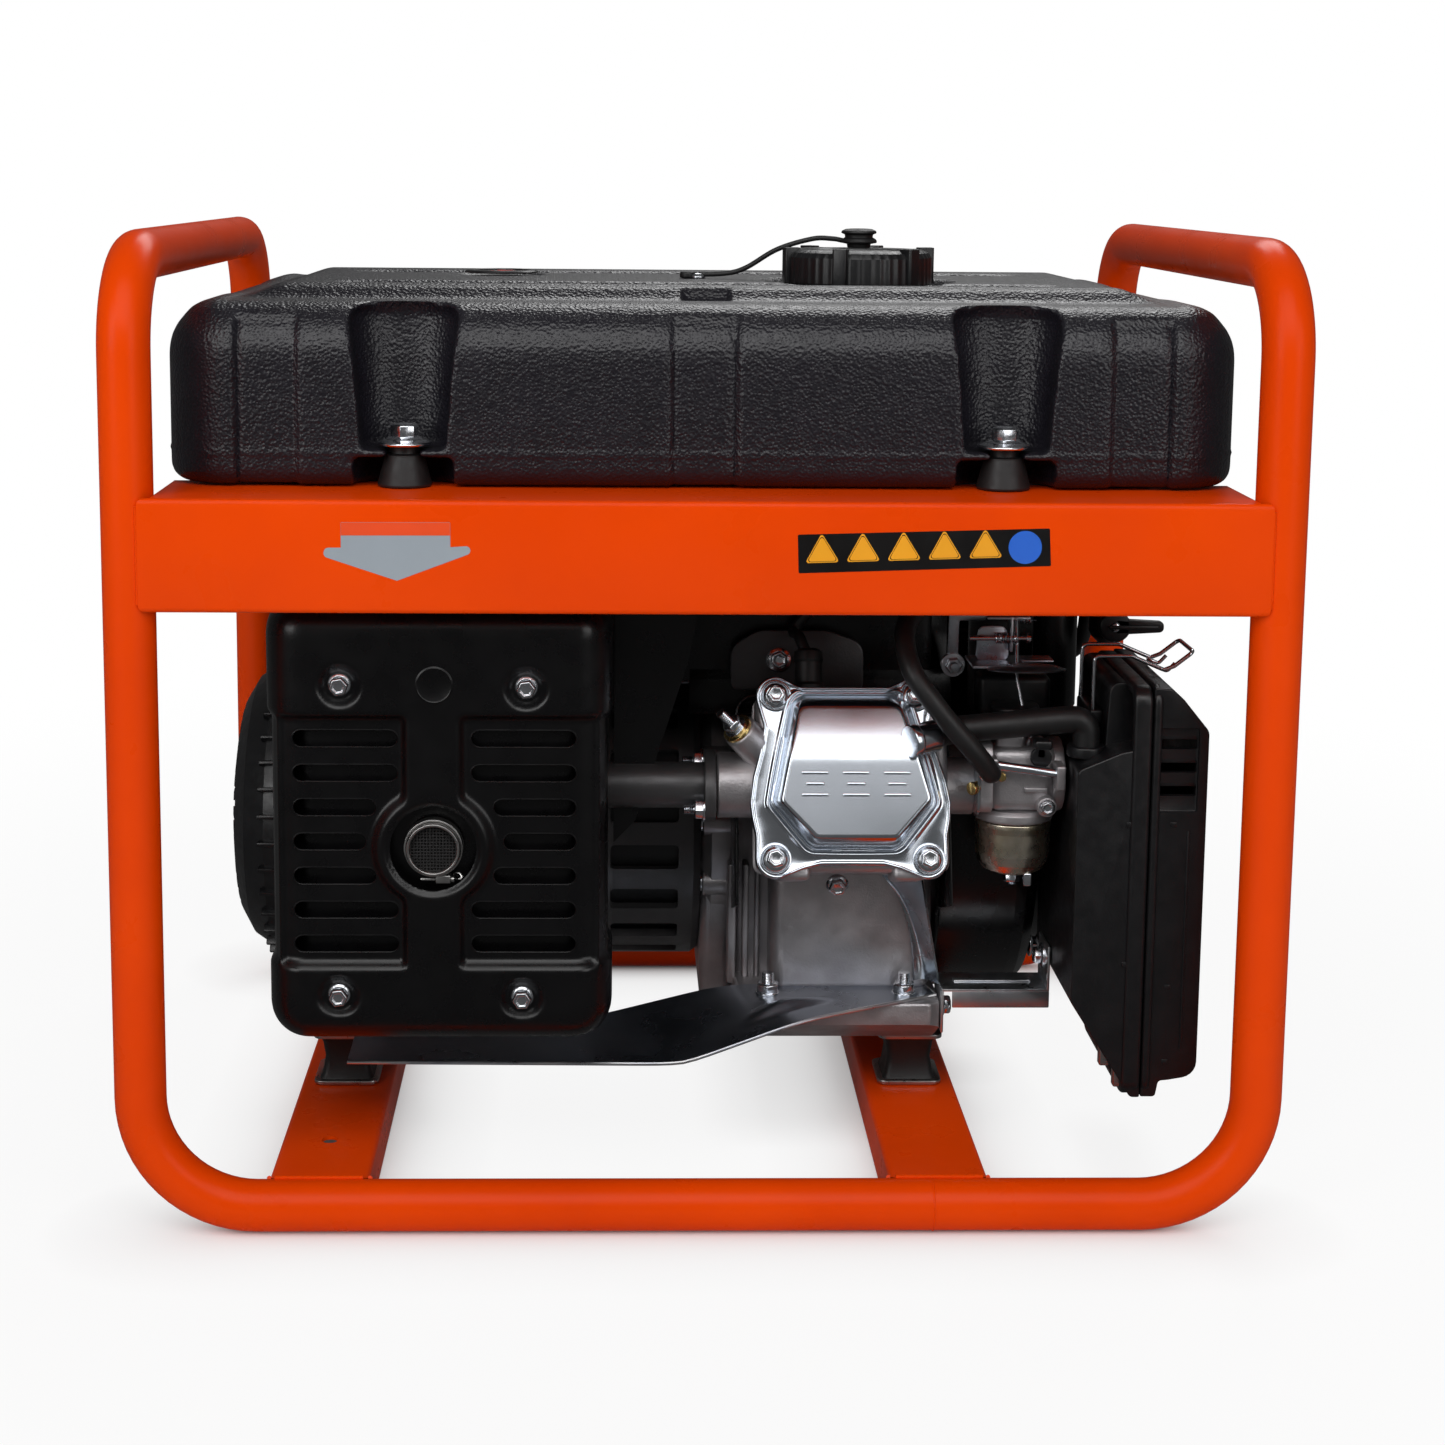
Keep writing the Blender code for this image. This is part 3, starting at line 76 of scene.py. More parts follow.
SWITCH_X, SWITCH_Z = (-0.0720, -0.0480), (0.2220, 0.2500)
SHEET = 0.0018  # wall of the folded frame parts
GAP = 0.0003  # clearance left between pieces that stand on one another


# ---------------------------------------------------------------- shapes

def link(name, mesh):
    piece = bpy.data.objects.new(name, mesh)
    SCENE.collection.objects.link(piece)
    return piece


def from_shape(name, shape):
    """A bmesh as a piece of its own."""
    mesh = bpy.data.meshes.new(name)
    shape.to_mesh(mesh)
    shape.free()
    return link(name, mesh)


def from_lists(name, points, faces):
    mesh = bpy.data.meshes.new(name)
    mesh.from_pydata([tuple(p) for p in points], [], faces)
    shape = bmesh.new()
    shape.from_mesh(mesh)
    bmesh.ops.recalc_face_normals(shape, faces=shape.faces)
    shape.to_mesh(mesh)
    shape.free()
    return link(name, mesh)


def bake(piece):
    """The piece's modifiers made part of its mesh."""
    graph = bpy.context.evaluated_depsgraph_get()
    mesh = bpy.data.meshes.new_from_object(piece.evaluated_get(graph))
    piece.modifiers.clear()
    piece.data = mesh
    return piece


def remove(*pieces):
    for piece in pieces:
        bpy.data.objects.remove(piece)


def combine(piece, operation, *tools):
    for tool in tools:
        step = piece.modifiers.new("join", "BOOLEAN")
        step.operation = operation
        step.solver = "EXACT"
        step.object = tool
    bake(piece)
    remove(*tools)
    return piece


def cut(piece, *tools):
    return combine(piece, "DIFFERENCE", *tools)


def union(piece, *tools):
    return combine(piece, "UNION", *tools)


def soften(piece, width, segments=2, angle=32):
    """Rounds the piece's sharp edges."""
    step = piece.modifiers.new("edges", "BEVEL")
    step.width = width
    step.segments = segments
    step.limit_method = "ANGLE"
    step.angle_limit = math.radians(angle)
    step.use_clamp_overlap = True
    step.miter_outer = "MITER_ARC"
    return bake(piece)


def skin(piece, voxel, factor, times):
    """The piece's surface rebuilt as an even, slightly melted grid that can take a relief."""
    step = piece.modifiers.new("skin", "REMESH")
    step.mode = "VOXEL"
    step.voxel_size = voxel
    bake(piece)
    step = piece.modifiers.new("melt", "SMOOTH")
    step.factor = factor
    step.iterations = times
    return bake(piece)


def coordinates(mesh):
    co = np.empty(len(mesh.vertices) * 3)
    mesh.vertices.foreach_get("co", co)
    return co.reshape(-1, 3)


def set_coordinates(mesh, co):
    mesh.vertices.foreach_set("co", co.ravel())
    mesh.update()


def merge(name, *pieces):
    """Several meshes as one piece, each keeping its own material."""
    slots, shape = [], bmesh.new()
    for piece in pieces:
        piece.data.transform(piece.matrix_world)
        own = [m for m in piece.data.materials] or [None]
        for m in own:
            if m not in slots:
                slots.append(m)
        first = len(shape.faces)
        shape.from_mesh(piece.data)
        shape.faces.ensure_lookup_table()
        for k in range(first, len(shape.faces)):
            shape.faces[k].material_index = slots.index(own[min(shape.faces[k].material_index,
                                                                len(own) - 1)])
    mesh = bpy.data.meshes.new(name)
    shape.to_mesh(mesh)
    shape.free()
    for m in slots:
        if m:
            mesh.materials.append(m)
    remove(*pieces)
    return link(name, mesh)


def placed(at=(0, 0, 0), axis=(0, 0, 1), turn=0.0):
    """The matrix that stands a shape's own Z along axis at a point."""
    z = Vector(axis).normalized()
    side = Vector((0, 0, 1)).cross(z) if abs(z.z) < 0.99 else Vector((1, 0, 0))
    x = side.normalized()
    matrix = Matrix((x, z.cross(x), z)).transposed().to_4x4()
    matrix.translation = Vector(at)
    return matrix @ Matrix.Rotation(turn, 4, "Z")


X_AXIS, Y_AXIS, Z_AXIS, FRONT = (1, 0, 0), (0, 1, 0), (0, 0, 1), (0, -1, 0)
# Matrices that lay an outline drawn in (x, y) on a plane of the frame, its extrusion along the third axis
ON_XY = Matrix.Identity(4)
ON_XZ = Matrix(((1, 0, 0, 0), (0, 0, 1, 0), (0, 1, 0, 0), (0, 0, 0, 1)))
ON_YZ = Matrix(((0, 0, 1, 0), (1, 0, 0, 0), (0, 1, 0, 0), (0, 0, 0, 1)))
SHAFT = placed((0, AXIS_Y, AXIS_Z), X_AXIS)
UP_CYLINDER = Matrix.Translation((CYLINDER_X, AXIS_Y, AXIS_Z)) @ Matrix.Rotation(-CYLINDER_TILT, 4, "X")


def cuboid(low, high):
    shape = bmesh.new()
    bmesh.ops.create_cube(shape, size=1)
    for v in shape.verts:
        v.co = Vector(c * s for c, s in zip(v.co, high - low)) + (low + high) / 2
    return shape


def block(name, low, high, radius=0.001, segments=3, matrix=None):
    """A box with rounded edges between two corners."""
    shape = cuboid(Vector(low), Vector(high))
    if radius:
        bmesh.ops.bevel(shape, geom=shape.edges[:], offset=radius, segments=segments, profile=0.5,
                        affect="EDGES")
    if matrix:
        shape.transform(matrix)
    return from_shape(name, shape)


def edged_block(name, low, high, upright, top, bottom, segments=6):
    """A moulded block whose upright, top and bottom edges have their own radii."""
    low, high = Vector(low), Vector(high)
    shape = cuboid(low, high)
    uprights = [e for e in shape.edges if abs(e.verts[0].co.z - e.verts[1].co.z) > 1e-6]
    bmesh.ops.bevel(shape, geom=uprights, offset=upright, segments=segments, profile=0.5, affect="EDGES")
    for level, radius in ((high.z, top), (low.z, bottom)):
        if radius:
            rim = [e for e in shape.edges if all(abs(v.co.z - level) < 1e-6 for v in e.verts)]
            bmesh.ops.bevel(shape, geom=rim, offset=radius, segments=segments, profile=0.5, affect="EDGES")
    return from_shape(name, shape)


def fillet(points, radius, steps=4, closed=True):
    """The 2-D or 3-D corners rounded with arcs; radius is one number or one for each corner."""
    points = [Vector(p) for p in points]
    radii = radius if isinstance(radius, (list, tuple)) else [radius] * len(points)
    out = []
    for k, (here, r) in enumerate(zip(points, radii)):
        if not closed and k in (0, len(points) - 1):
            out.append(here)
            continue
        a, b = points[k - 1] - here, points[(k + 1) % len(points)] - here
        angle = a.angle(b)
        if r <= 0 or angle > math.radians(176):
            out.append(here)
            continue
        share = 0.999 if not closed and len(points) == 3 else 0.4999
        reach = min(r / math.tan(angle / 2), a.length * share, b.length * share)
        r = reach * math.tan(angle / 2)
        a, b = a.normalized(), b.normalized()
        centre = here + (a + b).normalized() * (r / math.sin(angle / 2))
        start, end = here + a * reach - centre, here + b * reach - centre
        sweep = start.angle(end)
        for i in range(steps + 1):
            t = i / steps
            out.append(centre + (start * math.sin((1 - t) * sweep) + end * math.sin(t * sweep))
                       / math.sin(sweep))
    return out


def arc(cx, cy, radius, start, end, steps=8):
    angles = [math.radians(start + (end - start) * k / steps) for k in range(steps + 1)]
    return [(cx + radius * math.cos(a), cy + radius * math.sin(a)) for a in angles]


def stadium(cx, cy, length, height, steps=8):
    half = (length - height) / 2
    return arc(cx + half, cy, height / 2, -90, 90, steps) + arc(cx - half, cy, height / 2, 90, 270, steps)


def prism(name, outline, low, high, matrix=ON_XY):
    """A flat outline given a thickness from low to high along the third axis."""
    n = len(outline)
    points = [matrix @ Vector((p[0], p[1], z)) for z in (low, high) for p in outline]
    faces = [tuple(range(n)), tuple(range(2 * n - 1, n - 1, -1))]
    faces += [(k, (k + 1) % n, n + (k + 1) % n, n + k) for k in range(n)]
    return from_lists(name, points, faces)


def loft(name, sections):
    """Sections are (outline, height) with as many points each."""
    n = len(sections[0][0])
    points = [(p[0], p[1], z) for outline, z in sections for p in outline]
    faces = [tuple(range(n)), tuple(range(len(points) - 1, len(points) - n - 1, -1))]
    for s in range(len(sections) - 1):
        faces += [(s * n + k, s * n + (k + 1) % n, (s + 1) * n + (k + 1) % n, (s + 1) * n + k)
                  for k in range(n)]
    return from_lists(name, points, faces)


def lathe(name, profile, matrix=None, steps=48, rounding=0.0, ring=False, pull=None):
    """A profile of (radius, height) turned about Z; pull(angle, radius) scales the radius, for flutes."""
    if rounding:
        profile = fillet(profile, rounding, 3, closed=ring)
    matrix = matrix or ON_XY
    points, rows = [], []
    for r, z in profile:
        if r < 1e-6 and not ring:
            rows.append([len(points)])
            points.append(matrix @ Vector((0, 0, z)))
            continue
        row = []
        for k in range(steps):
            a = 2 * math.pi * k / steps
            reach = r * (pull(a, r) if pull else 1)
            row.append(len(points))
            points.append(matrix @ Vector((reach * math.cos(a), reach * math.sin(a), z)))
        rows.append(row)
    faces = []
    pairs = list(zip(rows, rows[1:])) + ([(rows[-1], rows[0])] if ring else [])
    for a, b in pairs:
        if len(a) == 1 and len(b) == 1:
            continue
        for k in range(steps):
            j = (k + 1) % steps
            if len(a) == 1:
                faces.append((a[0], b[k], b[j]))
            elif len(b) == 1:
                faces.append((a[k], b[0], a[j]))
            else:
                faces.append((a[k], b[k], b[j], a[j]))
    return from_lists(name, points, faces)


def spline(points, steps):
    """A smooth route through the points."""
    p = [Vector(q) for q in points]
    p = [p[0] * 2 - p[1]] + p + [p[-1] * 2 - p[-2]]
    out = []
    spans = len(p) - 3
    for k in range(steps + 1):
        t = k / steps * spans
        i = min(int(t), spans - 1)
        t -= i
        a, b, c, d = p[i:i + 4]
        out.append(0.5 * ((2 * b) + (c - a) * t + (2 * a - 5 * b + 4 * c - d) * t * t
                          + (3 * b - a - 3 * c + d) * t * t * t))
    return out


def sweep(name, route, radius, sides=16, closed=False):
    """A round tube carried along a route; radius is one number or one for each point."""
    route = [Vector(p) for p in route]
    n = len(route)
    tangents = []
    for k in range(n):
        before = route[k - 1] if closed or k else route[k]
        after = route[(k + 1) % n] if closed or k < n - 1 else route[k]
        tangents.append((after - before).normalized())
    side = tangents[0].orthogonal().normalized()
    frames = []
    for k in range(n):
        if k:
            side = tangents[k - 1].rotation_difference(tangents[k]) @ side
        side = (side - tangents[k] * side.dot(tangents[k])).normalized()
        frames.append((side.copy(), tangents[k].cross(side)))
    twist = 0.0
    if closed:
        last = tangents[-1].rotation_difference(tangents[0]) @ frames[-1][0]
        twist = math.atan2(last.dot(frames[0][1]), last.dot(frames[0][0]))
    outline = [(math.cos(2 * math.pi * j / sides), math.sin(2 * math.pi * j / sides)) for j in range(sides)]
    points = []
    for k, ((u, v), here) in enumerate(zip(frames, route)):
        r = radius[k] if isinstance(radius, (list, tuple)) else radius
        a = -twist * k / n
        for px, py in outline:
            qx, qy = px * math.cos(a) - py * math.sin(a), px * math.sin(a) + py * math.cos(a)
            points.append(here + (u * qx + v * qy) * r)
    faces = []
    for k in range(n if closed else n - 1):
        j = (k + 1) % n
        faces += [(k * sides + i, k * sides + (i + 1) % sides, j * sides + (i + 1) % sides, j * sides + i)
                  for i in range(sides)]
    if not closed:
        faces += [tuple(range(sides)), tuple(range(n * sides - 1, (n - 1) * sides - 1, -1))]
    return from_lists(name, points, faces)


def helix(at, axis, radius, length, turns, steps=24):
    """The route of a coil spring with short straight ends."""
    matrix, tail = placed(at, axis), 0.003
    out = [matrix @ Vector((0, 0, -tail))]
    for k in range(int(turns * steps) + 1):
        a = 2 * math.pi * k / steps
        out.append(matrix @ Vector((radius * math.cos(a), radius * math.sin(a),
                                    length * k / (turns * steps))))
    out.append(matrix @ Vector((0, 0, length + tail)))
    return out


def disc(name, radius, low, high, matrix=None, rounding=0.0006, steps=40):
    return lathe(name, [(0, low), (radius, low), (radius, high), (0, high)], matrix, steps, rounding)


def hexagon_radius(across):
    return across / 2 / math.cos(math.pi / 6)


def bolt(at, axis, across=0.010, head=0.0055, flange=0.0070, turn=0.2, dish=0.0008, stem=0.0):
    """A hexagon flange bolt whose flange face lies at the point, its head along axis."""
    matrix = placed(at, axis, turn)
    r = hexagon_radius(across)
    hexagon = lathe("hexagon", [(0, 0), (r, 0), (r, head - 0.0009), (r * 0.86, head), (r * 0.62, head),
                                (r * 0.52, head - 0.0006), (0, head - 0.0006)], matrix, 6)
    soften(hexagon, 0.00022, 2, 20)
    washer = lathe("washer", [(0, 0), (flange, 0), (flange, 0.0009), (flange - 0.0004, 0.0013),
                              (r * 0.98, 0.0013 + dish), (0, 0.0013 + dish)], matrix, 32, 0.0003)
    pieces = [hexagon, washer]
    if stem:
        pieces.append(lathe("stem", [(0, 0.0002), (across * 0.29, 0.0002), (across * 0.29, -stem),
                                     (0, -stem)],
                            matrix, 16))
    return merge("bolt", *pieces)


def nut(at, axis, across=0.010, height=0.0055, stud=0.004, turn=0.1, washer=0.0065):
    """A nut with a washer under it and the end of its stud."""
    matrix = placed(at, axis, turn)
    r = hexagon_radius(across)
    hexagon = lathe("hexagon", [(0, 0), (r, 0), (r, height - 0.0008), (r * 0.86, height), (0, height)],
                    matrix, 6)
    soften(hexagon, 0.00025, 2, 20)
    under = disc("under", washer, -0.0002, 0.0010, matrix, 0.0003, 28)
    thread = []
    for k in range(7):
        z = height + stud * k / 6
        thread += [(across * 0.30, z), (across * 0.27, z + stud / 12)]
    end = lathe("stud", [(0, 0)] + [(across * 0.30, 0)] + thread + [(across * 0.22, height + stud * 1.1),
                                                                   (0, height + stud * 1.1)], matrix, 18)
    return merge("nut", hexagon, under, end)


def screw(at, axis, radius=0.004, height=0.0022, turn=0.3):
    """A cross-recessed pan-head screw."""
    matrix = placed(at, axis, turn)
    head = lathe("head", [(0, 0), (radius, 0), (radius, height * 0.35), (radius * 0.72, height * 0.85),
                          (radius * 0.3, height), (0, height)], matrix, 28, 0.0003)
    arm = radius * 0.55
    for a, b in ((arm, arm * 0.22), (arm * 0.22, arm)):
        cut(head, block("slot", (-a, -b, height * 0.45), (a, b, height * 2), 0, matrix=matrix))
    return head


# ---------------------------------------------------------------- finishes

def add_node(tree, kind, inputs=()):
    """A shader node with its sockets set, each to a value or to another node's output."""
    node = tree.nodes.new("ShaderNode" + kind)
    for socket, value in dict(inputs).items():
        if isinstance(value, bpy.types.NodeSocket):
            tree.links.new(value, node.inputs[socket])
        else:
            node.inputs[socket].default_value = value
    return node


def material(name, colour, rough, metal=0.0, mottle=(30, 0.07), spread=0.07, grain=(700, 0.00005),
             cells=False,
             second=None, specular=0.5):
    """A procedural finish in the piece's own coordinates: mottled colour, uneven gloss and a surface grain.

    mottle is (scale, share of the colour), grain is (scale, height), spread is how far the gloss swings.
    """
    made = bpy.data.materials.new(name)
    made.use_nodes = True
    tree = made.node_tree
    shader = tree.nodes["Principled BSDF"]
    place = add_node(tree, "TexCoord").outputs["Object"]

    def noise(scale, detail=4.0, distortion=0.0):
        inputs = {"Scale": scale, "Detail": detail, "Distortion": distortion, "Vector": place}
        return add_node(tree, "TexNoise", inputs).outputs["Fac"]

    def stretched(value, low=0.0, high=1.0):
        inputs = {"From Min": 0.3, "From Max": 0.7, "To Min": low, "To Max": high, "Value": value}
        return add_node(tree, "MapRange", inputs).outputs["Result"]

    mix = tree.nodes.new("ShaderNodeMix")
    mix.data_type = "RGBA"
    scale, amount = mottle
    mix.inputs["A"].default_value = (*[c * (1 - amount) for c in colour], 1)
    mix.inputs["B"].default_value = (*[min(1.0, c * (1 + amount)) for c in (second or colour)], 1)
    tree.links.new(stretched(noise(scale)), mix.inputs["Factor"])
    tree.links.new(mix.outputs["Result"], shader.inputs["Base Color"])
    gloss = stretched(noise(scale * 3.1, 5.0), max(0.03, rough - spread), min(1.0, rough + spread))
    tree.links.new(gloss, shader.inputs["Roughness"])
    shader.inputs["Metallic"].default_value = metal
    shader.inputs["Specular IOR Level"].default_value = specular
    if cells:
        texture = tree.nodes.new("ShaderNodeTexVoronoi")
        texture.feature = "SMOOTH_F1"
        texture.inputs["Scale"].default_value = grain[0]
        tree.links.new(place, texture.inputs["Vector"])
        height = texture.outputs["Distance"]
    else:
        height = noise(grain[0], 3.0, 0.4)
    bump = add_node(tree, "Bump", {"Strength": 1.0, "Distance": grain[1], "Height": height})
    tree.links.new(bump.outputs["Normal"], shader.inputs["Normal"])
    return made


ORANGE = material("orange_paint", (0.80, 0.054, 0.0002), 0.30, mottle=(9, 0.045), spread=0.05,
                  grain=(420, 0.00003),
                  second=(0.82, 0.061, 0.0002), specular=0.10)
TANK = material("tank_plastic", (0.0085, 0.0075, 0.0115), 0.36, mottle=(60, 0.15), spread=0.05,
                grain=(700, 0.00050), cells=True)
BLACK = material("black_plastic", (0.0060, 0.0060, 0.0068), 0.36, mottle=(60, 0.2), spread=0.07,
                 grain=(900, 0.00006))
ENAMEL = material("black_enamel", (0.0022, 0.0020, 0.0024), 0.29, mottle=(25, 0.2), spread=0.05,
                  grain=(500, 0.00002),
                  specular=0.42)
RUBBER = material("rubber", (0.0065, 0.0062, 0.0065), 0.50, mottle=(80, 0.2), spread=0.08,
                  grain=(1200, 0.00004))
CAST = material("cast_aluminium", (0.40, 0.38, 0.39), 0.42, 0.85, mottle=(35, 0.14), spread=0.09,
                grain=(800, 0.00016), second=(0.47, 0.45, 0.46))
ZINC = material("zinc_plate", (0.56, 0.60, 0.68), 0.32, 1.0, mottle=(28, 0.10), spread=0.06,
                grain=(700, 0.00001),
                second=(0.72, 0.72, 0.72))
BOLTS = material("bright_zinc", (0.74, 0.76, 0.80), 0.20, 1.0, mottle=(120, 0.08), spread=0.07,
                 grain=(900, 0.00003))
CHROME = material("chrome", (0.66, 0.70, 0.76), 0.19, 1.0, mottle=(9, 0.04), spread=0.025,
                  grain=(900, 0.000004))
DARK_CAST = material("dark_casting", (0.070, 0.068, 0.070), 0.42, 0.6, mottle=(35, 0.14), spread=0.08,
                     grain=(800, 0.0001))
PLATE = material("dark_zinc_sheet", (0.30, 0.34, 0.42), 0.30, 1.0, mottle=(12, 0.14), spread=0.07,
                 grain=(500, 0.00001),
                 second=(0.36, 0.38, 0.42))
TEAL = material("passivated_zinc", (0.30, 0.42, 0.48), 0.26, 1.0, mottle=(16, 0.2), spread=0.07,
                grain=(500, 0.00001),
                second=(0.50, 0.50, 0.52))
YELLOW_ZINC = material("yellow_zinc", (0.72, 0.62, 0.42), 0.28, 1.0, mottle=(50, 0.14), spread=0.08,
                       grain=(700, 0.00004), second=(0.72, 0.66, 0.58))
BRASS = material("brass", (0.78, 0.56, 0.22), 0.25, 1.0, mottle=(90, 0.08), spread=0.06,
                 grain=(900, 0.00003))
STEEL = material("bare_steel", (0.46, 0.45, 0.44), 0.33, 1.0, mottle=(60, 0.12), spread=0.1,
                 grain=(900, 0.00005))
IRON = material("cast_iron", (0.16, 0.15, 0.145), 0.55, 0.7, mottle=(70, 0.18), spread=0.1,
                grain=(700, 0.00015))
LAMINATE = material("laminated_steel", (0.30, 0.30, 0.31), 0.45, 0.8, mottle=(50, 0.18), spread=0.1,
                    grain=(500, 0.0001))
COPPER = material("copper_wire", (0.55, 0.20, 0.08), 0.34, 0.9, mottle=(200, 0.15), spread=0.08,
                  grain=(1500, 0.0001))
FOAM = material("foam", (0.020, 0.020, 0.022), 0.9, mottle=(300, 0.4), spread=0.05, grain=(700, 0.0008),
                cells=True)
RED = material("red_plastic", (0.45, 0.010, 0.008), 0.35, mottle=(60, 0.08), spread=0.05,
               grain=(900, 0.00003))
# Dark steel of the spark arrester screen's wires, and also the painted shade on the disc that closes the
# silencer's bore
OUTLET_MESH_AND_SHADE = material("outlet_mesh_and_painted_shade", (0.012, 0.011, 0.011), 0.8, mottle=(200, 0.3), spread=0.08,
                     grain=(900, 0.0001))
LABEL_GREY = material("label_grey", (0.32, 0.36, 0.40), 0.36, mottle=(25, 0.04), spread=0.04,
                      grain=(500, 0.00001))
LABEL_BAND = material("label_band", (0.86, 0.075, 0.010), 0.36, mottle=(25, 0.04), spread=0.04,
                      grain=(500, 0.00001))
LABEL_BLACK = material("label_black", (0.0045, 0.0035, 0.0035), 0.34, mottle=(25, 0.15), spread=0.05,
                       grain=(500, 0.00001))
AMBER = material("label_amber", (0.86, 0.36, 0.010), 0.36, mottle=(25, 0.04), spread=0.04,
                 grain=(500, 0.00001))
BLUE = material("label_blue", (0.020, 0.13, 0.62), 0.36, mottle=(25, 0.05), spread=0.04,
                grain=(500, 0.00001))
WHITE = material("dial_white", (0.75, 0.75, 0.72), 0.4, mottle=(25, 0.04), spread=0.04,
                 grain=(500, 0.00001))
FLOOR = material("pale_floor", (0.90, 0.90, 0.90), 0.75, mottle=(2, 0.01), spread=0.03, grain=(60, 0.00002))

BY_SLOT = {"orange_paint": ORANGE, "tank_plastic": TANK, "black_plastic": BLACK, "black_enamel": ENAMEL,
           "rubber": RUBBER, "cast_aluminium": CAST, "zinc_plate": ZINC, "chrome": CHROME,
           "cast_iron": IRON,
           "foam": FOAM, "red_plastic": RED}


def dress(piece, name, finish, body="chassis", replaces=(), smooth=35):
    """Names a finished piece, gives it its finish, and lets it ride on a body."""
    piece.name = name
    piece.data.name = name
    if finish:
        piece.data.materials.clear()
        piece.data.materials.append(finish)
    piece.data.shade_smooth()
    piece.data.set_sharp_from_angle(angle=math.radians(smooth))
    if body:
        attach(piece, body)
    if replaces:
        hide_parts(*replaces)
    return piece


def steps_of(value, low, high):
    """0 below low and 1 above high, easing between them."""
    t = np.clip((value - low) / (high - low), 0, 1)
    return t * t * (3 - 2 * t)


def hump(value, middle, half, edge):
    """1 within half of the middle, easing to 0 over edge."""
    return 1 - steps_of(np.abs(value - middle), half, half + edge)


# ---------------------------------------------------------------- frame

def tube_frame():
    x, y, low, high = POST_X, POST_Y, TUBE_R, HANDLE_Z
    corners = [(-x, -y, low), (x, -y, low), (x, -y, high), (x, y, high),
               (x, y, low), (-x, y, low), (-x, y, high), (-x, -y, high)]
    route = fillet(corners, [0.057, 0.057, 0.045, 0.045] * 2, 16)
    dress(sweep("loop", route, TUBE_R, 44, True), "frame_tube", ORANGE, replaces=["tube_frame"], smooth=60)
    joint = [(0.1168, y_of, z_of) for y_of, z_of in arc(-y, low, TUBE_R + 0.00005, 0, 345, 23)]
    dress(sweep("joint", joint, 0.0005, 8, True), "tube_weld", ORANGE)


def bead(route, radius):
    """A weld bead with its ripples."""
    route = spline(route, 40)
    radii = [radius * (0.85 + 0.15 * math.sin(k * 1.9)) for k in range(len(route))]
    return sweep("bead", route, radii, 8)


def beams():
    outer = POST_Y + TUBE_R
    low, high = BEAM_Z
    sheet, hem = SHEET, 0.012
    for name, side in (("front_beam", -1), ("rear_beam", 1)):
        outline = [(outer, low), (outer, high), (outer - BEAM_SHELF, high),
                   (outer - BEAM_SHELF, high - sheet),
                   (outer - sheet, high - sheet), (outer - sheet, low + sheet), (outer - hem, low + sheet),
                   (outer - hem, low)]
        rounds = [0.0032, 0.0032, 0.0004, 0.0004, 0.0014, 0.0014, 0.0004, 0.0004]
        outline = fillet([(side * y, z) for y, z in outline], rounds, 5)
        beam = prism(name, outline, -BEAM_X, BEAM_X, ON_YZ)
        for end in (-1, 1):
            a, b = sorted((end * 0.2659, end * 0.30))
            y0, y1 = sorted((side * (outer - sheet - 0.0006), side * 0.12))
            cut(beam, block("clearance", (a, y0, low - 0.01), (b, y1, high + 0.01), 0))
            for z, sign in ((low, 1), (high, -1)):
                corner = [(end * (BEAM_X + 0.002), z - sign * 0.002),
                          (end * (BEAM_X - 0.003), z - sign * 0.002),
                          (end * (BEAM_X - 0.003), z), (end * (BEAM_X - 0.0014), z + sign * 0.0005),
                          (end * (BEAM_X - 0.0004), z + sign * 0.0016), (end * BEAM_X, z + sign * 0.0032),
                          (end * (BEAM_X + 0.002), z + sign * 0.0032)]
                y0, y1 = sorted((side * (outer - 0.006), side * (outer + 0.002)))
                cut(beam, prism("corner", corner, y0, y1, ON_XZ))
        for x in (-TANK_BOLT[0], TANK_BOLT[0]):
            cut(beam, disc("hole", 0.0046, -0.01, 0.01, placed((x, side * TANK_BOLT[1], high)), 0, 24))
        dress(beam, name + "_sheet", ORANGE, replaces=[name], smooth=40)
        beads = []
        for end in (-1, 1):
            x = end * (BEAM_X + 0.0004)
            beads.append(bead([(x, side * (outer - 0.0012), low + 0.004),
                               (x, side * (outer - 0.0012), high - 0.004)],
                              0.0010))
        dress(merge("beads", *beads), name + "_welds", ORANGE)


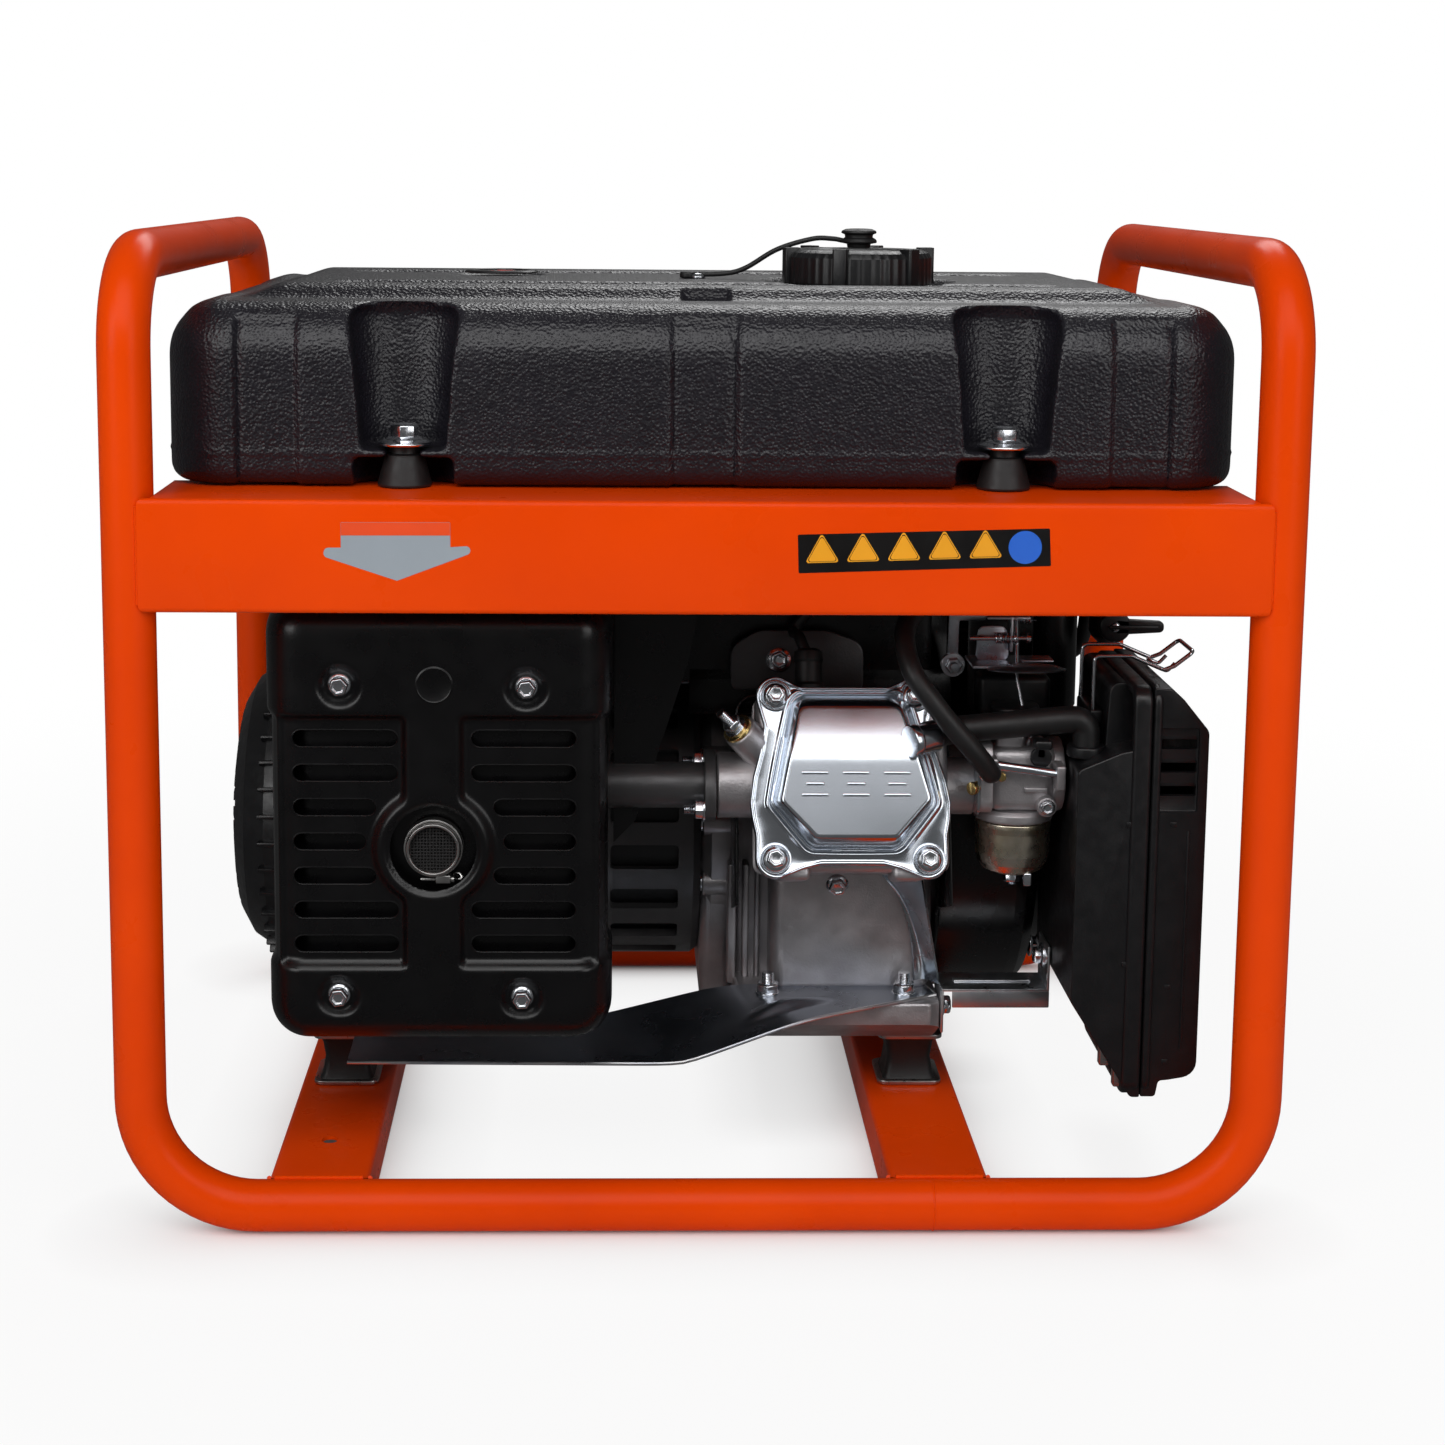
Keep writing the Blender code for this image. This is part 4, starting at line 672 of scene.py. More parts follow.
def channels():
    lip, top, half, sheet = 0.012, CHANNEL_TOP, 0.025, SHEET
    for name, x, holes in (("cross_channel_left", CHANNEL_X[0], (-0.149, 0.149)),
                           ("cross_channel_right", CHANNEL_X[1], ())):
        outline = [(-half, 0), (-half, top), (half, top), (half, 0), (half - lip, 0), (half - lip, sheet),
                   (half - sheet, sheet), (half - sheet, top - sheet), (-half + sheet, top - sheet),
                   (-half + sheet, sheet), (-half + lip, sheet), (-half + lip, 0)]
        rounds = [0.003, 0.003, 0.003, 0.003, 0.0004, 0.0004, 0.0012, 0.0012, 0.0012, 0.0012, 0.0004,
                  0.0004]
        outline = fillet([(x + px, z) for px, z in outline], rounds, 4)
        channel = prism(name, outline, -0.197, 0.197, ON_XZ)
        beads = []
        for side in (-1, 1):
            cut(channel, disc("cope", TUBE_R + 0.0003, -0.05, 0.05,
                              placed((x, side * POST_Y, TUBE_R), X_AXIS), 0, 48))
            for edge in (-1, 1):
                curve = [(x + edge * (half + 0.0003), side * (POST_Y - (TUBE_R + 0.0004) * math.cos(a)),
                          TUBE_R + (TUBE_R + 0.0004) * math.sin(a)) for a in np.radians(range(-60, 75, 15))]
                beads.append(bead(curve, 0.0013))
            seam = [(x + dx, side * (POST_Y - 0.0035), top + 0.0002)
                    for dx in (-half + 0.003, 0, half - 0.003)]
            beads.append(bead(seam, 0.0013))
        for y in holes:
            cut(channel, disc("hole", 0.00425, -0.01, 0.01, placed((x, y, top)), 0, 32))
        dress(channel, name + "_sheet", ORANGE, replaces=[name], smooth=40)
        dress(merge("beads", *beads), name + "_welds", ORANGE)


def square(x, y, half):
    return [(x - half, y - half), (x + half, y - half), (x + half, y + half), (x - half, y + half)]


def mounts():
    low, high, plate = CHANNEL_TOP + GAP, BASE_Z - GAP, 0.0025
    for row, y in (("front", MOUNT_Y[0]), ("rear", MOUNT_Y[1])):
        for end, x in (("left", CHANNEL_X[0]), ("right", CHANNEL_X[1])):
            plates = []
            for z in (low, high - plate):
                outline = fillet(square(x, y, 0.0178), 0.005, 5)
                plates.append(soften(prism("plate", outline, z, z + plate), 0.0005))
            waist = []
            for z, half in ((low + 0.002, 0.0150), (low + 0.006, 0.0132), (low + 0.0145, 0.0120),
                            (high - 0.006, 0.0132), (high - 0.002, 0.0150)):
                waist.append((fillet(square(x, y, half), 0.0035, 4), z))
            name = f"rubber_mount_{row}_{end}"
            dress(loft("rubber", waist), name + "_block", RUBBER, replaces=[name], smooth=50)
            dress(merge("plates", *plates), name + "_plates", STEEL)


# ---------------------------------------------------------------- tank

TANK_TRIANGLES = 150000
# The shallow moulded bands on the tank's long sides: middle, half width, depth
TANK_BANDS = ((-0.2165, 0.0135, -0.0024), (0.2165, 0.0135, -0.0024), (-0.0005, 0.0145, -0.0020))


def tank_shape():
    low, high = TANK_Z
    tank = edged_block("tank", (-TANK_X, -TANK_Y, low), (TANK_X, TANK_Y, high), 0.034, 0.026, 0.009, 8)
    union(tank, edged_block("belly", (-0.235, -0.138, 0.3500), (0.235, 0.138, low + 0.02), 0.03, 0, 0.012,
                            6))
    for x in (-TANK_BOLT[0], TANK_BOLT[0]):
        for y in (-TANK_BOLT[1], TANK_BOLT[1]):
            side = math.copysign(1, y)
            rings = []
            for z, radius in ((0.3905, 0.0185), (0.4000, 0.0190), (0.4150, 0.0198), (0.4350, 0.0214),
                              (0.4500, 0.0232),
                              (0.4560, 0.0236), (0.4600, 0.0215), (0.4625, 0.0180)):
                back = radius * 0.98
                outline = [(x + radius * 1.14, y + side * 0.03)]
                outline += [(x + radius * 1.14 * math.cos(a), y - side * back * math.sin(a) ** 0.8)
                            for a in np.linspace(0, math.pi, 17)]
                outline += [(x - radius * 1.14, y + side * 0.03)]
                rings.append((outline, z))
            cut(tank, loft("pocket", rings))
            under = [(x + 0.0245 * math.cos(a), y - side * 0.018 * math.sin(a))
                     for a in np.linspace(0, math.pi, 17)]
            under = [(x + 0.0245, y + side * 0.03)] + under + [(x - 0.0245, y + side * 0.03)]
            cut(tank, prism("undercut", under, low - 0.004, 0.3865))
            y0, y1 = sorted((y, y + side * 0.03))
            cut(tank, block("notch", (x - 0.0085, y0, 0.380), (x + 0.0085, y1, 0.395), 0))
    return tank


def tank_relief(co):
    """The moulded relief: how far each point of the tank moves out, along the way its surface faces."""
    x, y, z = co[:, 0], co[:, 1], co[:, 2]
    out = np.zeros(len(co))
    flank = steps_of(np.abs(y), 0.120, 0.150)
    for middle, half, depth in TANK_BANDS:
        out += flank * depth * hump(x, middle, half, 0.002)
        for edge in (middle - half - 0.001, middle + half + 0.001):
            out -= flank * 0.0013 * hump(x, edge, 0.0003, 0.0022)
    ends = steps_of(np.abs(x), 0.249, 0.263)
    out -= 0.0018 * ends * hump(np.abs(y), 0.095, 0.012, 0.003)
    seam = hump(z, 0.3885, 0.0003, 0.0016) * np.maximum(flank, ends)
    return out + 0.0005 * seam


def tank_top(co):
    """How far the tank's top stands above its rounded block: a plate with two grooves and a notch."""
    x, y = co[:, 0], co[:, 1]
    reach = 1 - steps_of(np.abs(x), 0.214, 0.238)
    plate = reach * (1 - steps_of(np.abs(y), 0.108, 0.122))
    rise = 0.0062 * plate
    rise -= 0.0030 * reach * hump(np.abs(y), 0.066, 0.008, 0.006) * (1 - steps_of(np.abs(x), 0.17, 0.20))
    rise += 0.0008 * reach * hump(y, -0.098, 0.004, 0.005)
    rise -= 0.0045 * hump(x, 0.0012, 0.0110, 0.002) * hump(y, -0.116, 0.0035, 0.004)
    corner = steps_of(np.abs(x), 0.236, 0.244) * steps_of(np.abs(y), 0.06, 0.10)
    rise += 0.0010 * corner
    away = np.hypot(x - FILLER[0], y - FILLER[1])
    rise -= 0.0042 * (1 - steps_of(away, 0.048, 0.054)) * plate
    gauge = np.hypot(x - GAUGE[0], y - GAUGE[1])
    rise -= 0.0012 * (1 - steps_of(gauge, 0.0225, 0.0245)) * plate
    return rise


def fuel_tank():
    tank = tank_shape()
    skin(tank, 0.00165, 0.6, 4)
    mesh = tank.data
    co = coordinates(mesh)
    normals = np.empty(co.size)
    mesh.vertex_normals.foreach_get("vector", normals)
    normals = normals.reshape(-1, 3)
    sideways = normals * np.array([1, 1, 0.35])
    facing_up = steps_of(normals[:, 2], 0.55, 0.85) * steps_of(co[:, 2], 0.452, 0.458)
    moved = co + sideways * (tank_relief(co) * (1 - facing_up))[:, None]
    moved[:, 2] += tank_top(co) * facing_up
    set_coordinates(mesh, moved)
    step = tank.modifiers.new("fewer", "DECIMATE")
    step.ratio = min(1.0, TANK_TRIANGLES / (2 * len(mesh.polygons)))
    bake(tank)
    dress(tank, "fuel_tank_shell", TANK, replaces=["fuel_tank"], smooth=70)

    x, y = FILLER
    neck = lathe("neck", [(0.0262, 0.4560), (0.0300, 0.4560), (0.0300, 0.4630), (0.0305, 0.4645),
                          (0.0300, 0.4660),
                          (0.0300, 0.4745), (0.0290, 0.4752), (0.0262, 0.4752)], placed((x, y, 0)), 56,
                          0.0003, True)
    dress(neck, "filler_neck", BLACK)
    dress(screw((0.0009, -0.0085, PLATEAU_TOP - 0.0006), Z_AXIS, 0.0042, 0.0030), "tank_top_screw", BOLTS)


def tank_bolts():
    shelf, ledge = BEAM_Z[1] + GAP, 0.3923
    for row, y in (("front", -TANK_BOLT[1]), ("rear", TANK_BOLT[1])):
        for end, x in (("left", -TANK_BOLT[0]), ("right", TANK_BOLT[0])):
            head = bolt((x, y, ledge + 0.0014), Z_AXIS, 0.0122, 0.0088, 0.0098, 0.3, 0.0014, 0.032)
            dish = lathe("dish", [(0.0050, -0.0002), (0.0132, -0.0002), (0.0138, 0.0007), (0.0132, 0.0015),
                                  (0.0095, 0.0026), (0.0050, 0.0030)], placed((x, y, ledge)), 40, 0.0003,
                                  True)
            name = f"tank_bolt_{row}_{end}"
            dress(merge("flange_bolt", head, dish), name + "_head", BOLTS, replaces=[name], smooth=30)
            bush = lathe("bush", [(0.0042, shelf), (0.0132, shelf), (0.0135, shelf + 0.0012),
                                  (0.0098, 0.3868),
                                  (0.0098, 0.3874), (0.0072, 0.3880), (0.0072, 0.3918), (0.0098, 0.3921),
                                  (0.0098, 0.3926), (0.0042, 0.3926)], placed((x, y, 0)), 40, 0.0004, True)
            dress(bush, name + "_bush", RUBBER)


def fuel_cap():
    x, y = FILLER
    top, skirt = 0.4855, 0.4665

    def flutes(a, r):
        return 1 - (0.012 * (0.5 + 0.5 * math.cos(48 * a)) ** 0.6 if r >= 0.036 else 0)

    body = lathe("cap", [(0, top - 0.0012), (0.024, top - 0.0012), (0.0255, top), (0.0350, top),
                         (0.0385, top - 0.0016),
                         (0.0402, top - 0.0042), (0.0404, skirt + 0.0012), (0.0400, skirt), (0.0345, skirt),
                         (0.0345, top - 0.004), (0, top - 0.004)], placed((x, y, 0)), 288, 0.0007,
                         pull=flutes)
    pieces = [body]
    for k in range(6):
        turn = math.radians(60 * k + 10)
        at = placed((x, y, 0)) @ Matrix.Rotation(turn, 4, "Z")
        outline = fillet([(0.0340, -0.0034), (0.0425, -0.0040), (0.0425, 0.0040), (0.0340, 0.0034)],
                         [0.0004, 0.0012, 0.0012, 0.0004], 4)
        lobe = soften(prism("lobe", outline, skirt + 0.0004, top + 0.0010, at), 0.0006, 3)
        pieces.append(lobe)
        pieces.append(block("spoke", (0.0262, -0.0012, top - 0.001), (0.0345, 0.0012, top + 0.0003), 0.0003,
                            matrix=at))
    dress(merge("cap", *pieces), "fuel_cap_shell", BLACK, "fuel_cap", ["fuel_cap"], 30)

    knob = lathe("knob", [(0, 0.4862), (0.0062, 0.4862), (0.0066, 0.4884), (0.0098, 0.4890),
                          (0.0100, 0.4900),
                          (0.0092, 0.4912), (0.0076, 0.4920), (0.0078, 0.4935), (0.0098, 0.4944),
                          (0.0094, 0.4956),
                          (0.0072, 0.4966), (0.0050, 0.4968), (0.0044, 0.4962), (0, 0.4962)],
                 placed((x, y, 0)), 44, 0.0004)
    dress(knob, "vent_knob", RUBBER, "cap_knob", ["cap_knob"], 40)

    # From the knob's neck over the cap's edge down to the anchor, measured from the filler's axis
    way = [(-0.0088, 0, 0.4902), (-0.0150, -0.0010, 0.4912), (-0.026, -0.002, 0.4910),
           (-0.045, 0.001, 0.4850),
           (-0.062, 0.006, 0.4745), (-0.074, 0.009, 0.4712), (-0.094, 0.012, 0.4704)]
    route = spline([(x + dx, y + dy, z) for dx, dy, z in way], 60)
    anchor = disc("anchor", 0.0042, PLATEAU_TOP - 0.0006, PLATEAU_TOP + 0.0030,
                  placed((x + way[-1][0], y + way[-1][1], 0)), 0.0010, 28)
    ring = sweep("ring", [(x + 0.0076 * math.cos(a), y + 0.0076 * math.sin(a), 0.4900)
                          for a in np.linspace(0, 2 * math.pi, 33)[:-1]], 0.0011, 8, True)
    tether = merge("tether", sweep("strap", route, 0.0014, 10), ring)
    dress(tether, "vent_tether", RUBBER, None, ["cap_tether"], 60)
    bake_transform(tether)
    dress(anchor, "tether_anchor", RUBBER)


def fuel_gauge():
    at = placed((*GAUGE, PLATEAU_TOP))
    bezel = lathe("bezel", [(0.0152, 0.0001), (0.0210, 0.0001), (0.0210, 0.0008), (0.0200, 0.0016),
                            (0.0172, 0.0019),
                            (0.0152, 0.0016)], at, 56, 0.0003, True)
    dress(bezel, "fuel_gauge_bezel", BLACK, replaces=["fuel_gauge"])
    dress(disc("dial", 0.0153, 0.0001, 0.0007, at, 0.0001), "fuel_gauge_dial", WHITE)
    marks = []
    for k in range(5):
        a = math.radians(30 + 30 * k)
        mark = Matrix.Rotation(a, 4, "Z")
        marks.append(block("mark", (0.0100, -0.0005, 0.0005), (0.0135, 0.0005, 0.0009), 0.0001, 1,
                           at @ mark))
    marks.append(block("needle", (-0.002, -0.0006, 0.0009), (0.0115, 0.0006, 0.0013), 0.0002, 2,
                       at @ Matrix.Rotation(math.radians(60), 4, "Z")))
    marks.append(disc("hub", 0.0026, 0.0005, 0.0016, at, 0.0003, 24))
    dress(merge("marks", *marks), "fuel_gauge_marks", RED)


def fuel_cock():
    x, y = COCK
    body = lathe("cock", [(0, 0.3497), (0.0110, 0.3497), (0.0110, 0.3445), (0.0065, 0.3430),
                          (0.0065, 0.3100),
                          (0.0080, 0.3090), (0.0080, 0.3050), (0.0065, 0.3040), (0.0065, 0.2925),
                          (0.0105, 0.2900),
                          (0.0105, 0.2740), (0.0090, 0.2712), (0.0060, 0.2680), (0.0040, 0.2660),
                          (0, 0.2660)],
                 placed((x, y, 0)), 40, 0.0006)
    spigot = lathe("spigot", [(0, 0), (0.0036, 0), (0.0036, 0.018), (0.0042, 0.019), (0.0034, 0.023),
                              (0, 0.026)],
                   placed((x, y, 0.2990), (-1, 0, 0)), 24)
    boss = disc("boss", 0.0082, 0.0, 0.0148, placed((x, y, 0.2800), FRONT), 0.0008, 32)
    dress(merge("cock", body, spigot, boss), "fuel_cock_body", BLACK, replaces=["fuel_cock"])
    front = y - 0.0153
    hub = disc("hub", 0.0088, 0.0, 0.0058, placed((x, front, 0.2800), FRONT), 0.0012, 36)
    outline = fillet([(x, 0.2755), (x + 0.0270, 0.2770), (x + 0.0270, 0.2830), (x, 0.2845)],
                     [0, 0.0026, 0.0026, 0], 5)
    blade = soften(prism("blade", outline, front - 0.0058, front - 0.0008, ON_XZ), 0.0009, 3)
    ridge = block("ridge", (x - 0.004, front - 0.0074, 0.2788), (x + 0.024, front - 0.0050, 0.2812), 0.0008)
    dress(merge("lever", hub, blade, ridge), "fuel_cock_handle", BLACK, "fuel_cock_lever",
          ["fuel_cock_lever"], 40)
    dress(screw((x, front - 0.0056, 0.2800), FRONT, 0.0028, 0.0014), "fuel_cock_screw", BOLTS,
          "fuel_cock_lever")


# ---------------------------------------------------------------- labels

def sticker(name, outline, finish, lift):
    """A flat label on the front beam, lift above its face."""
    face = -(POST_Y + TUBE_R)
    piece = prism(name, outline, face - lift - 0.00012, face - lift + 0.0001, ON_XZ)
    return dress(piece, name, finish)


def labels():
    left, right, tip = -0.1752, -0.1231, -0.1486
    arrow = [(left, 0.3605), (right, 0.3607), (right, 0.3487), (-0.1140, 0.3494), (-0.1132, 0.3458),
             (tip, 0.3324),
             (-0.1836, 0.3440), (-0.1832, 0.3482), (left, 0.3483)]
    sticker("arrow_label", fillet(arrow, [0.0004, 0.0004, 0.0002, 0.0022, 0.0022, 0.0004, 0.0022, 0.0022,
                                          0.0002], 4),
            LABEL_GREY, 0.00005)
    sticker("arrow_label_band", [(left + 0.0001, 0.3542), (left + 0.0001, 0.3604), (right - 0.0001, 0.3606),
                                 (right - 0.0001, 0.3544)], LABEL_BAND, 0.00018)
    low = [(0.0435, 0.3369), (0.1648, 0.3410), (0.1637, 0.3592), (0.0428, 0.3556)]
    sticker("warning_label", fillet(low, 0.0006, 3), LABEL_BLACK, 0.00005)
    tilt = math.atan2(0.0041, 0.1213)
    for k in range(5):
        cx, cz = 0.0546 + 0.0196 * k, 0.3466 + 0.0196 * k * math.tan(tilt) + 0.0003
        for name, size, lift, finish in ((f"warning_triangle_{k}", 0.0089, 0.00018, AMBER),
                                         (f"warning_triangle_line_{k}", 0.0080, 0.00030, LABEL_BLACK),
                                         (f"warning_triangle_field_{k}", 0.0076, 0.00042, AMBER)):
            corners = []
            for a in (90, 210, 330):
                turn = math.radians(a) + tilt
                corners.append((cx + 1.08 * size * math.cos(turn), cz + 1.08 * size * math.sin(turn)))
            sticker(name, fillet(corners, 0.0010, 4), finish, lift)
    sticker("warning_disc", arc(0.1521, 0.3500, 0.0080, 0, 354, 59), BLUE, 0.00018)


# ---------------------------------------------------------------- exhaust

# The guard's two slotted fields (x ranges, middle, half height) and its slots (top row, pitch, height,
# lengths from the top row down, side and outer end of each column)
FIELDS_X, FIELD_Z, FIELD_HALF = ((-0.2500, -0.1475), (-0.1205, -0.0200)), 0.1965, 0.0605
SLOT_Z, SLOT_PITCH, SLOT_HEIGHT = 0.2485, 0.0175, 0.0084
SLOT_LENGTHS = (0.0520, 0.0520, 0.0410, 0.0360, 0.0410, 0.0520, 0.0520)
SLOT_ENDS = ((-1, -0.2034), (1, -0.0632))


def guard_slots(extra):
    """The outlines of the guard's slots, each grown by extra."""
    return [stadium(outer - side * length / 2, SLOT_Z - SLOT_PITCH * k, length + extra, SLOT_HEIGHT + extra,
                    7)
            for side, outer in SLOT_ENDS for k, length in enumerate(SLOT_LENGTHS)]


def guard_face(u, v):
    """How far the guard's face is pressed in at (x, z), in its fields and round its bolts and outlet."""
    cx, cz = OUTLET
    sunk = np.zeros_like(u)
    for low, high in FIELDS_X:
        side = hump(u, (low + high) / 2, (high - low) / 2 - 0.0030, 0.0048)
        tall = hump(v, FIELD_Z, FIELD_HALF, 0.0055)
        sunk = np.maximum(sunk, side * tall)
    away = np.hypot(u - cx, v - cz)
    sunk *= steps_of(away, 0.0258, 0.0325)
    depth = 0.0046 * sunk
    for x, z in GUARD_BOLTS:
        r = np.hypot(u - x, v - z)
        depth = np.maximum(depth, 0.0034 * (1 - steps_of(r, 0.0070, 0.0120)))
    depth += 0.0024 * (1 - steps_of(away, 0.0215, 0.0245))
    return depth


def muffler():
    low_x, high_x = MUFFLER_X
    low_z, high_z = MUFFLER_Z
    shell = edged_block("guard", (low_x, MUFFLER_FRONT, low_z), (high_x, -0.1000, high_z), 0.020, 0.0195,
                        0.0195, 7)
    skin(shell, 0.0013, 0.5, 6)
    co = coordinates(shell.data)
    front = steps_of(-co[:, 1], 0.183, 0.188)
    co[:, 1] += guard_face(co[:, 0], co[:, 2]) * front
    off = co[:, 0] - (low_x + high_x) / 2
    edge = steps_of(np.abs(off), (high_x - low_x) / 2 - 0.010, (high_x - low_x) / 2 - 0.002)
    co[:, 0] -= np.sign(off) * 0.0024 * edge * hump(co[:, 2], FIELD_Z, FIELD_HALF, 0.0055)
    set_coordinates(shell.data, co)
    inner = link("inner", shell.data.copy())
    middle = np.array([(low_x + high_x) / 2, -0.10, (low_z + high_z) / 2])
    half = np.array([(high_x - low_x) / 2, 0.09, (high_z - low_z) / 2])
    inside = middle + (co - middle) * (1 - 0.0016 / half)
    set_coordinates(inner.data, inside)
    cut(shell, inner, block("open_back", (low_x - 0.01, -0.132, low_z - 0.01),
                            (high_x + 0.01, -0.09, high_z + 0.01), 0))
    tools = [prism("slot", outline, MUFFLER_FRONT - 0.01, -0.175, ON_XZ) for outline in guard_slots(0.0)]
    tools.append(disc("mouth", 0.0215, -0.03, 0.03, placed((OUTLET[0], MUFFLER_FRONT, OUTLET[1]), FRONT), 0,
                      56))
    for x, z in GUARD_BOLTS:
        tools.append(disc("hole", 0.0031, -0.02, 0.02, placed((x, MUFFLER_FRONT, z), FRONT), 0, 20))
    cut(shell, *tools)
    dress(shell, "muffler_guard_sheet", ENAMEL, replaces=["muffler_guard"], smooth=42)

    lips = [sweep("lip", [(px, MUFFLER_FRONT + 0.0048, pz) for px, pz in outline], 0.00045, 6, True)
            for outline in guard_slots(0.0006)]
    dress(merge("lips", *lips), "muffler_guard_slot_lips", ENAMEL)
    badge = lathe("badge", [(0, 0), (0.0094, 0), (0.0094, 0.0003), (0.0086, 0.0006), (0.0080, 0.0003),
                            (0, 0.0003)],
                  placed((-0.1330, MUFFLER_FRONT + 0.0001, 0.2765), FRONT), 48)
    dress(badge, "muffler_guard_blank_badge", ENAMEL)
    heads = [bolt((x, MUFFLER_FRONT + 0.0034, z), FRONT, 0.0086, 0.0062, 0.0060, 0.2 + k, 0.0006, 0.010)
             for k, (x, z) in enumerate(GUARD_BOLTS)]
    dress(merge("bolts", *heads), "muffler_guard_bolts", BOLTS)

    body = edged_block("body", (low_x + 0.006, -0.1780, low_z + 0.006),
                       (high_x - 0.006, -0.0900, high_z - 0.006),
                       0.018, 0.016, 0.016, 6)
    cut(body, disc("bore", 0.0115, -0.02, 0.03, placed((OUTLET[0], -0.1780, OUTLET[1]), FRONT), 0, 40))
    rolled = sweep("seam", fillet([(low_x + 0.0055, -0.134, low_z + 0.0055),
                                   (high_x - 0.0055, -0.134, low_z + 0.0055),
                                   (high_x - 0.0055, -0.134, high_z - 0.0055),
                                   (low_x + 0.0055, -0.134, high_z - 0.0055)], 0.018, 8), 0.0022, 10, True)
    dress(merge("body", body, rolled), "muffler_body_shell", ENAMEL, replaces=["muffler_body"], smooth=50)

    at = placed((OUTLET[0], -0.1780, OUTLET[1]), FRONT)
    pipe = lathe("pipe", [(0.0116, -0.02), (0.0135, -0.02), (0.0135, 0.0112), (0.0131, 0.0122),
                          (0.0121, 0.0122),
                          (0.0116, 0.0114)], at, 56, 0.0004, True)
    collar = lathe("collar", [(0.0137, 0.0025), (0.0146, 0.0025), (0.0148, 0.0032), (0.0148, 0.0080),
                              (0.0146, 0.0088),
                              (0.0137, 0.0088)], at, 56, 0.0003, True)
    ear = block("ear", (OUTLET[0] + 0.001, -0.1868, OUTLET[1] - 0.0182),
                (OUTLET[0] + 0.0085, -0.1808, OUTLET[1] - 0.0138),
                0.0007)
    pin = lathe("pin", [(0, 0), (0.0008, 0), (0.0010, 0.0008), (0.0010, 0.0150), (0.0018, 0.0152),
                        (0.0018, 0.0166),
                        (0, 0.0170)], placed((OUTLET[0] - 0.0065, -0.1838, OUTLET[1] - 0.0166), X_AXIS), 16)
    lug = sweep("lug", [(OUTLET[0] + 0.0118 + 0.0022 * math.cos(a), -0.1838 + 0.0004 * k,
                         OUTLET[1] - 0.0158 + 0.0022 * math.sin(a)) for k,
                         a in enumerate(np.linspace(0, 6.0, 14))],
                0.0006, 6)
    dress(merge("outlet", pipe, collar, ear, pin, lug), "muffler_outlet_pipe", STEEL, smooth=35)
    wires = []
    reach = 0.0119
    for k in range(-7, 8):
        offset = k * 0.0016
        half = math.sqrt(max(reach ** 2 - offset ** 2, 1e-8))
        for along in (0, 1):
            route = []
            for j in range(13):
                s = -half + 2 * half * j / 12
                weave = 0.00025 * math.cos(math.pi * (s / 0.0016 + k + along))
                px, pz = (s, offset) if along else (offset, s)
                route.append((OUTLET[0] + px, -0.1868 + weave, OUTLET[1] + pz))
            wires.append(sweep("wire", route, 0.00032, 6))
    dress(merge("screen", *wires), "spark_arrester_screen", OUTLET_MESH_AND_SHADE)
    # A dark disc closing the bore behind the screen: painted shade standing in for the silencer's dark
    # inside
    dress(disc("shade", 0.0117, 0.0, 0.0015, placed((OUTLET[0], -0.1765, OUTLET[1]), FRONT), 0.0003),
          "outlet_painted_shade_disc", OUTLET_MESH_AND_SHADE)


def exhaust_pipe():
    port, right = PORT, 0.0087
    span = right - MUFFLER_X[1] + 0.0047
    pipe = lathe("pipe", [(0.0100, 0), (0.0120, 0), (0.0120, span), (0.0100, span)],
                 placed((right, port.y, port.z), (-1, 0, 0)), 40, 0.0004, True)
    outline = []
    for a in range(0, 360, 10):
        long = 0.0215 - 0.0045 * abs(math.sin(math.radians(a)))
        outline.append((port.y + long * math.cos(math.radians(a + 35)),
                        port.z + long * math.sin(math.radians(a + 35))))
    flange = soften(prism("flange", outline, right - 0.0060, right, ON_YZ), 0.0008)
    dress(merge("exhaust", pipe, flange), "exhaust_pipe_flanged", DARK_CAST, replaces=["exhaust_pipe"])
    nuts = []
    for side in (-1, 1):
        a = math.radians(35)
        nuts.append(nut((right - 0.0060, port.y + side * 0.0165 * math.cos(a),
                         port.z + side * 0.0165 * math.sin(a)),
                        (-1, 0, 0), 0.0090, 0.0055, 0.005))
    dress(merge("nuts", *nuts), "exhaust_nuts", BOLTS)


